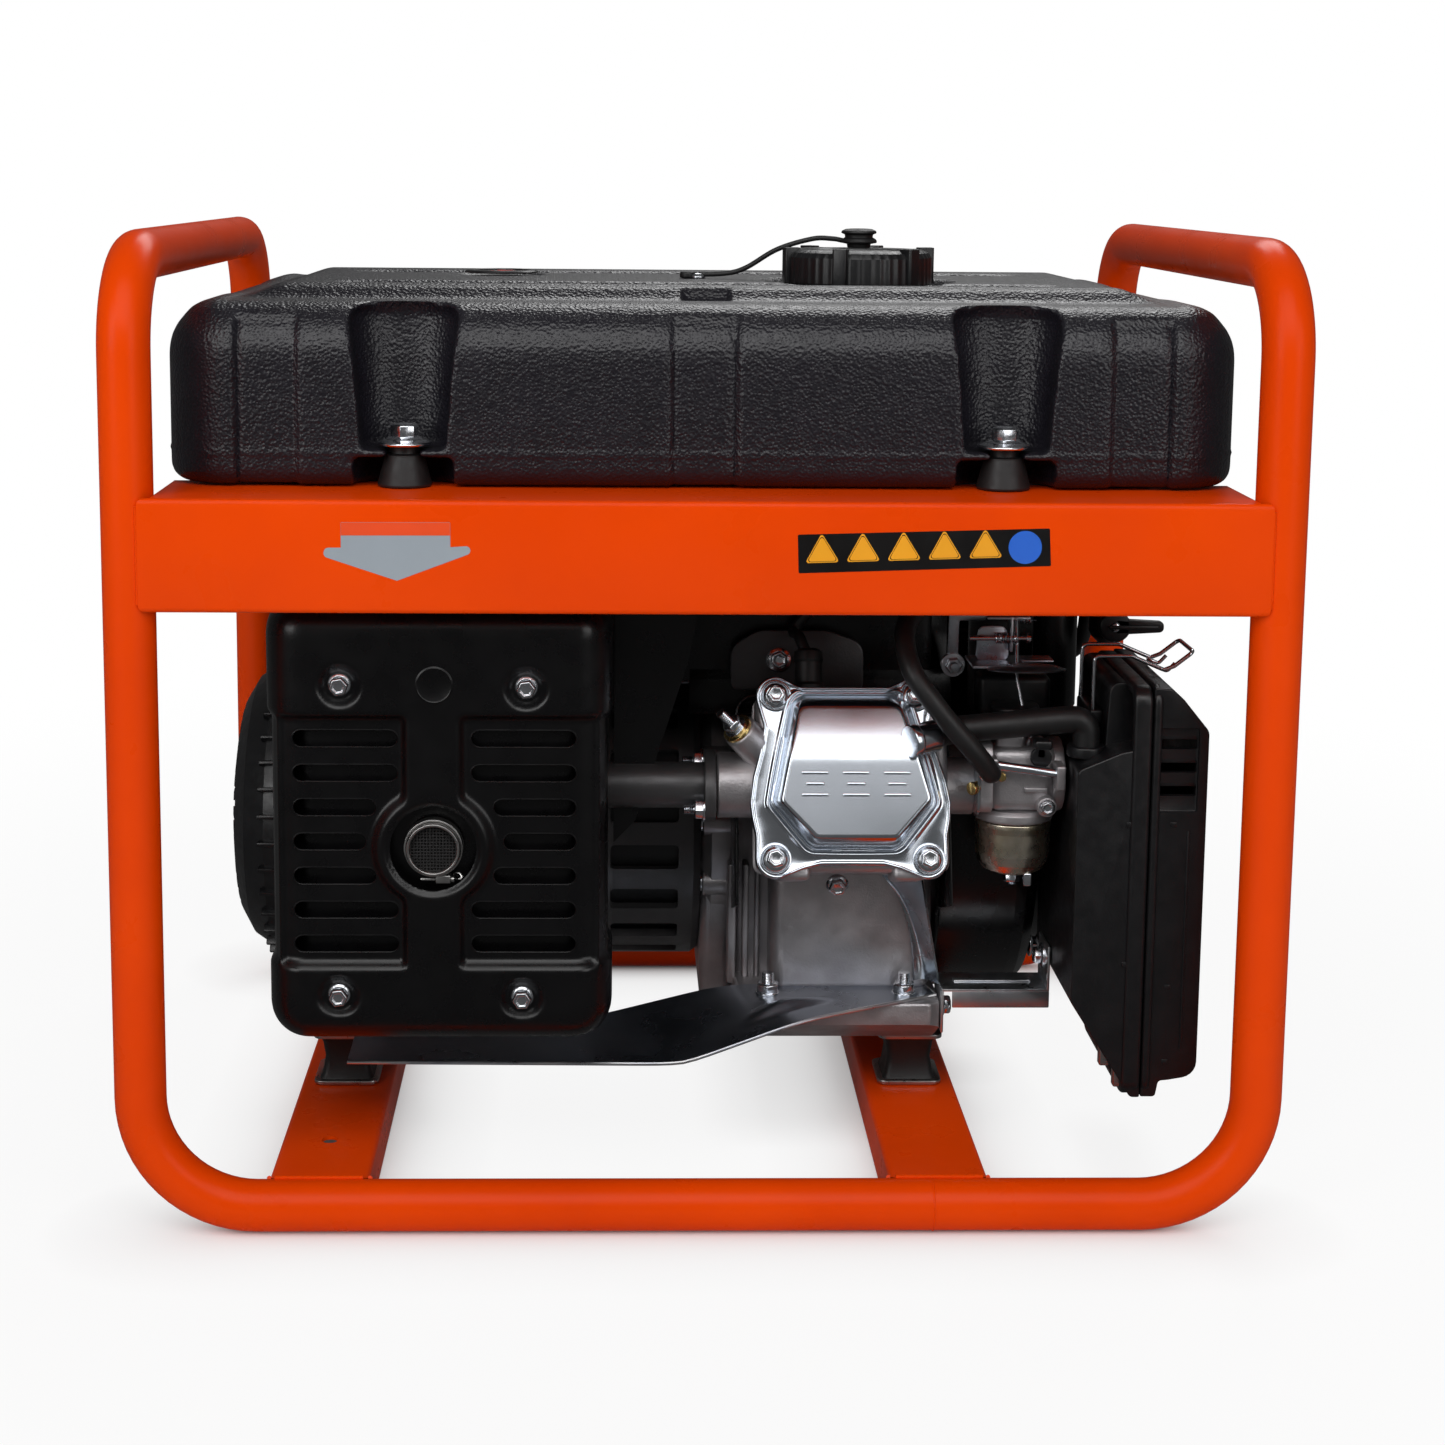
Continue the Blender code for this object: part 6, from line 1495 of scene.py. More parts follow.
def shroud_and_starter():
    low, high = SHROUD_X
    at = SHAFT
    shroud = lathe("shroud", [(0.0660, high), (SHROUD_R - 0.014, high), (SHROUD_R - 0.006, high - 0.002),
                              (SHROUD_R - 0.001, high - 0.008), (SHROUD_R, high - 0.014), (SHROUD_R, low),
                              (SHROUD_R - 0.002, low), (SHROUD_R - 0.002, high - 0.014),
                              (SHROUD_R - 0.003, high - 0.009),
                              (SHROUD_R - 0.010, high - 0.002), (0.0660, high - 0.002)], at, 112, 0.0008,
                              True)
    rim = sweep("rim", [(low + 0.001, AXIS_Y + SHROUD_R * math.cos(a), AXIS_Z + SHROUD_R * math.sin(a))
                        for a in np.linspace(0, 2 * math.pi, 97)[:-1]], 0.0014, 8, True)
    hood = edged_block("hood", (low + 0.0075, -0.0580, 0.2150), (0.1880, 0.0920, 0.2955), 0.016, 0.010,
                       0.002, 5)
    cut(hood, block("inside", (low, -0.0565, 0.2000), (0.1865, 0.0905, 0.2940), 0.008, 3))
    dress(merge("shroud", shroud, rim, hood), "fan_shroud_pressing", ENAMEL, replaces=["fan_shroud"],
          smooth=35)
    heads = [bolt((high, AXIS_Y + 0.090 * math.cos(a), AXIS_Z + 0.090 * math.sin(a)), X_AXIS, 0.0085,
                  0.0055, 0.0068, a)
             for a in np.radians((45, 135, 225, 315))]
    dress(merge("bolts", *heads), "fan_shroud_bolts", BOLTS)

    low, high = SHROUD_X[1] + GAP, 0.2200
    cup = lathe("cup", [(0, high - 0.0010), (0.0180, high - 0.0010), (0.0200, high),
                        (RECOIL_R - 0.016, high),
                        (RECOIL_R - 0.006, high - 0.004), (RECOIL_R, high - 0.014),
                        (RECOIL_R, low + 0.0015),
                        (RECOIL_R + 0.0030, low + 0.0010), (RECOIL_R + 0.0030, low),
                        (RECOIL_R - 0.002, low),
                        (RECOIL_R - 0.002, high - 0.013), (RECOIL_R - 0.014, high - 0.002),
                        (0.0075, high - 0.002),
                        (0.0075, low), (0, low)], at, 112, 0.0007)
    tools = []
    for k in range(12):
        a = 2 * math.pi * k / 12
        turned = at @ Matrix.Rotation(a, 4, "Z")
        outline = [(0.0300, -0.0022), (0.0560, -0.0046), (0.0560, 0.0046), (0.0300, 0.0022)]
        tools.append(prism("slot", fillet(outline, 0.0020, 5), high - 0.02, high + 0.01, turned))
    for k in range(10):
        turned = at @ Matrix.Rotation(2 * math.pi * (k + 0.5) / 10, 4, "Z")
        if k not in (0, 9, 1, 8):
            tools.append(block("vent", (RECOIL_R - 0.01, -0.010, low + 0.008),
                               (RECOIL_R + 0.01, 0.010, low + 0.015), 0.002, 2,
                               turned))
    tools.append(disc("rope_hole", 0.0045, -0.02, 0.04, placed((ROPE_X, AXIS_Y + 0.070, AXIS_Z + ROPE_RISE),
                                                               Y_AXIS), 0, 24))
    cut(cup, *tools)
    crown = edged_block("crown", (low, -0.0280, 0.2280), (0.2175, 0.0900, 0.2900), 0.012, 0.008, 0.002, 5)
    cup = merge("cup", cup, crown)
    dress(cup, "recoil_starter_cover", ENAMEL, replaces=["recoil_cover"], smooth=35)
    eye = lathe("eye", [(0.0024, -0.002), (0.0080, -0.002), (0.0080, 0.001), (0.0055, 0.003),
                        (0.0024, 0.003)],
                placed((ROPE_X, AXIS_Y + 0.0620, AXIS_Z + ROPE_RISE), Y_AXIS), 32, 0.0006, True)
    dress(eye, "rope_eyelet", BLACK)

    rim = ROPE_RISE + 0.0032
    pulley = lathe("pulley", [(0.0080, 0.2110), (rim, 0.2110), (rim, 0.2085), (rim - 0.0055, 0.2060),
                              (rim - 0.0055, 0.2000),
                              (rim, 0.1975), (rim, 0.1960), (0.0080, 0.1960)], at, 80, 0.0005, True)
    cut(pulley, *[disc("hole", 0.0080, 0.18, 0.22, at @ Matrix.Translation((0.028 * math.cos(a),
                                                                            0.028 * math.sin(a), 0)),
                       0, 24) for a in np.radians(range(0, 360, 60))])
    dress(pulley, "recoil_starter_pulley", BLACK, "recoil_pulley", ["recoil_pulley"], 35)

    start, end = AXIS_Y + 0.0040, 0.1075
    z = AXIS_Z + ROPE_RISE
    strand = []
    for k in range(3):
        route = [(ROPE_X + 0.0009 * math.cos(2.09 * k + 330 * (y - start)), y,
                  z + 0.0009 * math.sin(2.09 * k + 330 * (y - start)))
                 for y in np.linspace(start, end + 0.004, 90)]
        strand.append(sweep("strand", route, 0.0011, 8))
    rope = merge("rope", *strand)
    dress(rope, "recoil_rope", WHITE, None, ["starter_rope"], 60)
    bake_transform(rope)

    outline = fillet([(-0.0440, 0.1165), (-0.0200, 0.1185), (-0.0120, 0.1085), (0.0120, 0.1085),
                      (0.0200, 0.1185),
                      (0.0440, 0.1165), (0.0450, 0.1335), (-0.0450, 0.1335)],
                     [0.007, 0.010, 0.004, 0.004, 0.010, 0.007, 0.008, 0.008], 6)
    to_grip = Matrix(((0, 0, 1, ROPE_X), (0, 1, 0, 0), (1, 0, 0, z), (0, 0, 0, 1)))
    grip = soften(prism("grip", outline, -0.0100, 0.0100, to_grip), 0.0042, 4, 50)
    hole = disc("end", 0.0042, 0.1300, 0.1345, placed((ROPE_X, 0, z), Y_AXIS), 0.0006, 24)
    dress(merge("grip", grip, hole), "recoil_grip", RUBBER, "starter_grip", ["starter_grip"], 50)


# ---------------------------------------------------------------- intake

def carburetor():
    left = 0.1443
    y, z = CARB_Y, CARB_Z
    body = block("body", (left + 0.006, y - 0.0190, 0.1985), (0.1850, y + 0.018, 0.2330), 0.006, 5)
    throat = disc("throat", 0.0172, 0.0, 0.0420, placed((left + 0.002, y, z), X_AXIS), 0.0012, 48)
    inlet = disc("inlet", 0.0195, 0.0, 0.0065, placed((0.1835, y, z), X_AXIS), 0.0010, 48)
    rim = lathe("rim", [(0, 0.1922), (0.0206, 0.1922), (0.0208, 0.1935), (0.0208, 0.1965), (0.0190, 0.1985),
                        (0, 0.1995)],
                placed((0.1660, y, 0)), 56, 0.0006)
    ears = fillet([(y - 0.026, 0.1990), (y + 0.020, 0.1990), (y + 0.024, 0.2360), (y - 0.022, 0.2360)],
                  0.007, 5)
    flange = soften(prism("flange", ears, left, left + 0.0070, ON_YZ), 0.0008)
    tower = block("tower", (0.1540, y - 0.014, 0.2280), (0.1700, y + 0.010, 0.2400), 0.003, 3)
    boss = disc("boss", 0.0052, 0, 0.008, placed((0.1795, y - 0.0165, 0.2030), FRONT), 0.0008, 32)
    post = block("post", (0.1470, y - 0.0295, 0.2170), (0.1530, y - 0.0160, 0.2300), 0.0012)
    post_right = block("post", (0.1830, y - 0.0295, 0.2130), (0.1880, y - 0.0150, 0.2260), 0.0012)
    ridge = block("ridge", (0.1680, y - 0.0205, 0.2095), (0.1805, y - 0.0175, 0.2125), 0.0008)
    tail = lathe("tail", [(0, -0.004), (0.0040, -0.004), (0.0040, 0.006), (0.0046, 0.0066), (0.0034, 0.010),
                          (0, 0.010)],
                 placed((0.1480, -0.1390, 0.2240), FRONT), 24)
    parts = [body, throat, inlet, rim, flange, tower, boss, post, post_right, ridge, tail]
    dress(merge("carburetor", *parts), "carburetor_casting", CAST, replaces=["carburetor"], smooth=38)
    gasket = prism("gasket", fillet([(y - 0.027, 0.1975), (y + 0.021, 0.1975), (y + 0.025, 0.2375),
                                     (y - 0.023, 0.2375)],
                                    0.007, 5), left - 0.0012, left - 0.0001, ON_YZ)
    dress(gasket, "carburetor_gasket", TEAL)

    bowl = lathe("bowl", [(0, 0.1915), (0.0200, 0.1915), (0.0200, 0.1890), (0.0194, 0.1860),
                          (0.0194, 0.1740), (0.0184, 0.1690),
                          (0.0158, 0.1650), (0.0110, 0.1628), (0.0060, 0.1620), (0, 0.1620)],
                          placed((0.1660, y, 0)), 72, 0.0006)
    dress(bowl, "float_bowl_cup", YELLOW_ZINC, replaces=["float_bowl"], smooth=40)
    drain = nut((0.1655, y - 0.004, 0.1625), (0, -0.25, -1), 0.0085, 0.0050, 0.0012, 0.3, 0.0058)
    stub = block("stub", (0.1700, y - 0.0150, 0.1580), (0.1745, y - 0.0100, 0.1650), 0.0008)
    dress(merge("drain", drain, stub), "float_bowl_drain", BOLTS)
    rod = lathe("rod", [(0, 0), (0.0026, 0), (0.0026, 0.0350), (0, 0.0350)],
                placed((0.1505, y - 0.0265, 0.2262), (1, 0, -0.14)),
                24, 0.0003)
    dress(rod, "throttle_rod", CHROME)
    head = soften(lathe("head", [(0, 0), (0.0034, 0), (0.0034, 0.003), (0, 0.003)],
                        placed((0.1420, y - 0.0230, 0.2130),
                                                                                      (-0.8, -0.6, 0)), 20),
                                                                                      0.0004)
    coil = sweep("coil", helix((0.1424, y - 0.0225, 0.2130), (0.8, 0.6, 0.25), 0.0026, 0.0080, 6), 0.0005,
                 6)
    low_jet = disc("jet", 0.0024, 0, 0.006, placed((0.1560, y - 0.0165, 0.2185), FRONT), 0.0005, 24)
    dress(merge("screws", head, coil, low_jet), "mixture_screws", BRASS)
    bowl_bolt = bolt((0.1795, y - 0.0240, 0.2030), FRONT, 0.0064, 0.0030, 0.0042, 0.4)
    dress(bowl_bolt, "carburetor_bolt", BOLTS)

    cy = y - 0.0218
    hub = disc("hub", 0.0055, -0.0015, 0.0015, placed((0.1760, cy, 0.2290), FRONT), 0.0005, 28)
    arm = soften(prism("arm", fillet([(0.1738, 0.2290), (0.1782, 0.2290), (0.1775, 0.2385),
                                      (0.1745, 0.2385)], 0.001, 3),
                       cy - 0.0015, cy + 0.0012, ON_XZ), 0.0004)
    tab = block("tab", (0.1715, cy - 0.0080, 0.2345), (0.1805, cy + 0.0010, 0.2395), 0.0014)
    dress(merge("choke", hub, arm, tab), "choke_handle", BLACK, "choke_lever", ["choke_lever"])


def throttle_controls():
    """The governor arm with its spring, and the bracket behind them with the stop screw."""
    pivot = (0.1380, -0.0800, 0.2650)
    hub = disc("hub", 0.0065, -0.0015, 0.0015, placed(pivot, FRONT), 0.0005, 32)
    outline = fillet([(0.1352, 0.2650), (0.1408, 0.2650), (0.1410, 0.2890), (0.1550, 0.2892),
                      (0.1560, 0.2935), (0.1355, 0.2940)],
                     [0, 0, 0.001, 0.0015, 0.0015, 0.003], 4)
    arm = soften(prism("arm", outline, -0.0813, -0.0788, ON_XZ), 0.0004)
    dress(merge("arm", hub, arm, nut((pivot[0], -0.0815, pivot[2]), FRONT, 0.0080, 0.0045, 0.003)),
          "governor_arm_plate", ZINC,
          "governor_arm", ["governor_arm"])
    base = merge("base", block("base", (0.1440, -0.1120, 0.2690), (0.1725, -0.0820, 0.2706), 0.0006, 2),
                 block("wing", (0.1700, -0.0955, 0.2691), (0.1900, -0.0820, 0.2705), 0.0006, 2))
    ear = soften(prism("ear", fillet([(0.1475, 0.2700), (0.1660, 0.2700), (0.1640, 0.2890),
                                      (0.1490, 0.2890)], 0.004, 5),
                       -0.0960, -0.0945, ON_XZ), 0.0004)
    lug = block("lug", (0.1655, -0.1010, 0.2760), (0.1668, -0.0900, 0.2950), 0.0004, 2)
    top = block("top", (0.1530, -0.1010, 0.2935), (0.1760, -0.0960, 0.2948), 0.0004, 2)
    oval = lathe("oval", [(0, 0), (0.0165, 0), (0.0170, 0.0008), (0.0120, 0.0026), (0, 0.0030)],
                 placed((0.1720, -0.1140, 0.2690)) @ Matrix.Diagonal((1.25, 0.5, 1, 1)), 48)
    dress(merge("bracket", base, ear, lug, top, oval), "throttle_bracket", ZINC)
    shank = lathe("shank", [(0, 0), (0.0013, 0), (0.0013, 0.030), (0.0026, 0.0302), (0.0026, 0.0324),
                            (0, 0.0326)],
                  placed((0.1440, -0.0985, 0.2830), X_AXIS), 20)
    coil = sweep("coil", helix((0.1575, -0.0985, 0.2830), X_AXIS, 0.0026, 0.0120, 10), 0.0005, 6)
    long_coil = sweep("long_coil", helix((0.1560, -0.0745, 0.2915), (1, 0.15, -0.15), 0.0022, 0.0260, 15),
                      0.00045, 6)
    link_rod = sweep("link", [(0.1700, -0.0900, 0.2960), (0.1695, -0.0955, 0.2840),
                              (0.1690, -0.1040, 0.2620),
                              (0.1720, -0.1110, 0.2440), (0.1755, -0.1140, 0.2330)], 0.0009, 8)
    dress(merge("screw", shank, coil, long_coil, link_rod), "throttle_stop_and_springs", BOLTS)
    stack = [disc("butterfly", 0.0110, 0, 0.0050, placed((0.1680, -0.1050, 0.2400)), 0.0012, 40),
             disc("cover", 0.0130, 0.0040, 0.0090, placed((0.1680, -0.1050, 0.2400)), 0.0016, 40),
             block("housing", (0.1500, -0.0955, 0.2400), (0.1890, -0.0760, 0.2620), 0.004, 4)]
    dress(merge("throttle", *stack), "throttle_housing", BLACK)


def filter_solid(name, outline, low, high, rounding, edge):
    return soften(prism(name, fillet(outline, rounding, 5), low, high, ON_XZ), edge, 3, 40)


def air_filter():
    low, high = FILTER_Y
    split = FILTER_SPLIT_X
    front = low + 0.0012
    outline = [(split, 0.2400), (0.2130, 0.2368), (0.1912, 0.2275), (0.1912, 0.1050), (0.2235, 0.0540),
               (split, 0.0540)]
    base = filter_solid("base", outline[::-1], front, high - 0.001,
                        [0.001, 0.003, 0.006, 0.004, 0.004, 0.001], 0.0030)
    tower = filter_solid("tower", [(split, 0.2690), (0.2105, 0.2690), (0.2085, 0.2300),
                                   (split, 0.2300)][::-1], low + 0.022,
                         high - 0.004, [0.001, 0.001, 0.006, 0.001], 0.0030)
    union(base, tower)
    hollow = [(split + 0.01, 0.2360), (0.2130, 0.2330), (0.1942, 0.2240), (0.1942, 0.1070),
              (0.2250, 0.0620),
              (split + 0.01, 0.0620)]
    cut(base, prism("hollow", hollow[::-1], low + 0.0045, high - 0.0045, ON_XZ),
        block("upper", (0.2135, low + 0.0255, 0.2250), (split + 0.01, high - 0.0075, 0.2655), 0),
        disc("inlet", 0.0150, -0.01, 0.01, placed((0.1925, CARB_Y, CARB_Z), X_AXIS), 0, 40),
        disc("breather", 0.0045, -0.02, 0.02, placed((0.1990, -0.1420, 0.2300)), 0, 24))
    ring = fillet([(low - 0.0006, 0.0545), (high - 0.0006, 0.0545), (high - 0.0006, 0.2710),
                   (low - 0.0006, 0.2710)], 0.009, 6)
    inner_ring = fillet([(low + 0.0050, 0.0600), (high - 0.0050, 0.0600), (high - 0.0050, 0.2650),
                         (low + 0.0050, 0.2650)],
                        0.005, 5)
    flange = prism("flange", ring, split - 0.0100, split - 0.0002, ON_YZ)
    cut(flange, prism("inside", inner_ring, split - 0.02, split + 0.01, ON_YZ))
    soften(flange, 0.0040, 5)
    boss = disc("socket", 0.0098, 0, 0.006, placed((0.1990, -0.1420, 0.2300)), 0.001, 36)
    hook = block("hook", (0.2025, -0.1320, 0.2440), (0.2095, -0.0960, 0.2520), 0.0015)
    pips = [block("pip", (0.2165, low + 0.0004, level), (0.2215, low + 0.003, level + 0.003), 0.0006, 2)
            for level in (0.1980, 0.1240)]
    dress(merge("base", base, boss, hook, flange, *pips), "air_filter_base_moulding", BLACK,
          replaces=["air_filter_base"], smooth=38)

    start = split + GAP
    right = 0.2575
    outline = [(start, 0.2705), (0.2380, 0.2700), (0.2440, 0.2645), (right, 0.2480), (right, 0.0660),
               (0.2430, 0.0635),
               (0.2380, 0.0630), (0.2365, 0.0545), (start, 0.0545)]
    cover = filter_solid("cover", outline[::-1], low + 0.001, high,
                         [0.0008, 0.002, 0.002, 0.003, 0.010, 0.006, 0.004, 0.003,
                                                                     0.001], 0.0040)
    hollow = [(start - 0.01, 0.2640), (0.2365, 0.2640), (right - 0.003, 0.2440), (right - 0.003, 0.0700),
              (start - 0.01, 0.0670)]
    cut(cover, prism("hollow", hollow[::-1], low + 0.0065, high - 0.0045, ON_XZ))
    tools = [block("recess", (0.2318, low - 0.002, 0.2060), (0.2525, low + 0.0026, 0.2500), 0.0012, 2)]
    for k in range(3):
        level = 0.2420 - 0.0122 * k
        tools.append(block("louvre", (0.2322, low - 0.006, level - 0.0034),
                           (0.2518, low + 0.010, level + 0.0034), 0.0008, 2))
        tools.append(block("louvre", (0.2350, high - 0.0065, level - 0.0034),
                           (0.2520, high + 0.006, level + 0.0034), 0.0008, 2))
    cut(cover, *tools)
    bits = []
    lip = prism("lip", ring, start, start + 0.0045, ON_YZ)
    cut(lip, prism("inside", inner_ring, start - 0.02, start + 0.02, ON_YZ))
    bits.append(soften(lip, 0.0018, 4))
    for level in (0.1980, 0.1120, 0.0720):
        bits.append(block("pip", (0.2390, low + 0.0006, level), (0.2425, low + 0.003, level + 0.0030),
                          0.0006, 2))
    for level in (0.2080, 0.1480, 0.1260, 0.0980):
        bits.append(block("pad", (right - 0.0013, low + 0.020, level),
                          (right + 0.0011, high - 0.020, level + 0.018), 0.0009, 2))
    bits.append(block("fold", (0.2478, low + 0.0004, 0.0800), (0.2492, low + 0.002, 0.1960), 0.0005, 2))
    dress(merge("cover", cover, *bits), "air_filter_cover_moulding", BLACK, "air_filter_cover",
          ["air_filter_cover"], 38)
    vent = [block("slat", (0.2320, low + 0.0030, 0.2081 + 0.0122 * k - 0.0012),
                  (0.2520, low + 0.0060, 0.2081 + 0.0122 * k + 0.0012),
                  0.0005, 2) for k in range(4)]
    dress(merge("slats", *vent), "air_filter_louvre_slats", BLACK, "air_filter_cover")
    tabs = [block("tab", (0.2075, low + 0.004, 0.0700), (0.2130, low + 0.010, 0.0860), 0.0010),
            block("tab", (0.2150, low + 0.004, 0.0585), (0.2205, low + 0.010, 0.0745), 0.0010)]
    dress(merge("tabs", *tabs), "air_filter_lower_clips", STEEL)

    element = block("foam", (0.1990, low + 0.006, 0.1150), (0.2275, high - 0.006, 0.2250), 0.004, 4)
    dress(element, "air_filter_foam", FOAM, replaces=["air_filter_element"])

    front, back, px, pz = -0.1300, -0.0980, 0.2045, 0.2480
    profile = [(px, pz), (px, 0.2800), (0.2240, 0.2800), (0.2345, 0.2755), (0.2410, 0.2728),
               (0.2462, 0.2748), (0.2560, 0.2825)]
    wire = [(x, front, z) for x, z in profile] + [(x, back, z) for x, z in reversed(profile)]
    radii = [0.001] + [0.0030] * (len(wire) - 2) + [0.001]
    bail = sweep("bail", fillet(wire, radii, 6, closed=False), 0.0011, 12)
    catch = sweep("catch", fillet([(0.2480, -0.1240, 0.2752), (0.2440, -0.1240, 0.2708),
                                   (0.2380, -0.1240, 0.2735),
                                   (0.2380, -0.1040, 0.2735), (0.2440, -0.1040, 0.2708),
                                   (0.2480, -0.1040, 0.2752)],
                                  [0, 0.002, 0.002, 0.002, 0.002, 0], 5, closed=False), 0.0010, 10)
    dress(merge("clip", bail, catch), "air_filter_wire_clip", BOLTS, "air_filter_clip", ["air_filter_clip"],
          60)

    left, right, level, sheet = CASE_X[1] + GAP, 0.1907, 0.0910, 0.0015
    strip = block("strip", (left, -0.1080, level), (right, -0.0800, level + sheet), 0.0006, 2)
    ends = [block("end", (left, -0.1080, 0.0680), (left + sheet, -0.0800, level + sheet), 0.0006, 2),
            block("end", (right - sheet, -0.1080, level), (right, -0.0800, 0.1160), 0.0006, 2)]
    bead = block("bead", (left + 0.008, -0.0965, level + sheet - 0.0004),
                 (right - 0.008, -0.0915, level + sheet + 0.0012), 0.0012)
    ends.append(block("lip", (left + 0.006, -0.1080, 0.0820), (right, -0.1066, level + 0.0004), 0.0006, 2))
    dress(merge("strip", strip, bead, *ends), "air_filter_bracket_strip", ZINC,
          replaces=["air_filter_bracket"])
    heads = [bolt((right - sheet, -0.0940, 0.1070), (-1, 0, 0), 0.0085, 0.0055, 0.0068),
             bolt((left + sheet, -0.0940, 0.0790), X_AXIS, 0.0085, 0.0055, 0.0068)]
    dress(merge("bolts", *heads), "air_filter_bracket_bolts", BOLTS)


def hoses():
    route = [(0.1150, -0.1500, 0.2425), (0.1250, -0.1450, 0.2432), (0.1350, -0.1420, 0.2440),
             (0.1850, -0.1420, 0.2488),
             (0.1990, -0.1420, 0.2495), (0.1990, -0.1420, 0.2300)]
    line = fillet(route, [0, 0.01, 0.01, 0.02, 0.0100, 0], 10, closed=False)
    dress(sweep("breather", line, 0.0070, 24), "breather_hose_moulding", RUBBER, replaces=["breather_hose"],
          smooth=60)
    route = spline([(COCK[0] - 0.0265, COCK[1], 0.2990), (0.200, COCK[1] - 0.001, 0.2992),
                    (0.180, -0.040, 0.3040),
                    (0.140, -0.080, 0.3060), (0.108, -0.128, 0.2990), (0.1060, -0.1500, 0.2790),
                    (0.1200, -0.1585, 0.2580),
                    (0.1380, -0.1590, 0.2370), (0.1478, -0.1540, 0.2243), (0.1480, -0.1466, 0.2240)], 110)
    hose = sweep("fuel", route, 0.0054, 20)
    vent = spline([(0.2268, 0.0, 0.3506), (0.2268, 0.0, 0.3350), (0.2270, 0.0, 0.3150),
                   (0.2268, 0.002, 0.2850),
                   (0.2262, 0.008, 0.2650), (0.2230, 0.016, 0.2540), (0.2160, 0.022, 0.2500)], 70)
    dress(sweep("vent", vent, 0.0042, 20), "tank_vent_hose", RUBBER, smooth=60)
    dress(hose, "fuel_hose_line", RUBBER, replaces=["fuel_hose"], smooth=60)
    bands = []
    for at, axis in (((COCK[0] - 0.0245, COCK[1], 0.2990), X_AXIS), ((0.1480, -0.1485, 0.2240), FRONT)):
        bands.append(sweep("band", helix(at, axis, 0.0053, 0.0030, 1.9, 20)[1:-1], 0.0007, 8))
    dress(merge("bands", *bands), "fuel_hose_clips", BOLTS)


# ---------------------------------------------------------------- alternator

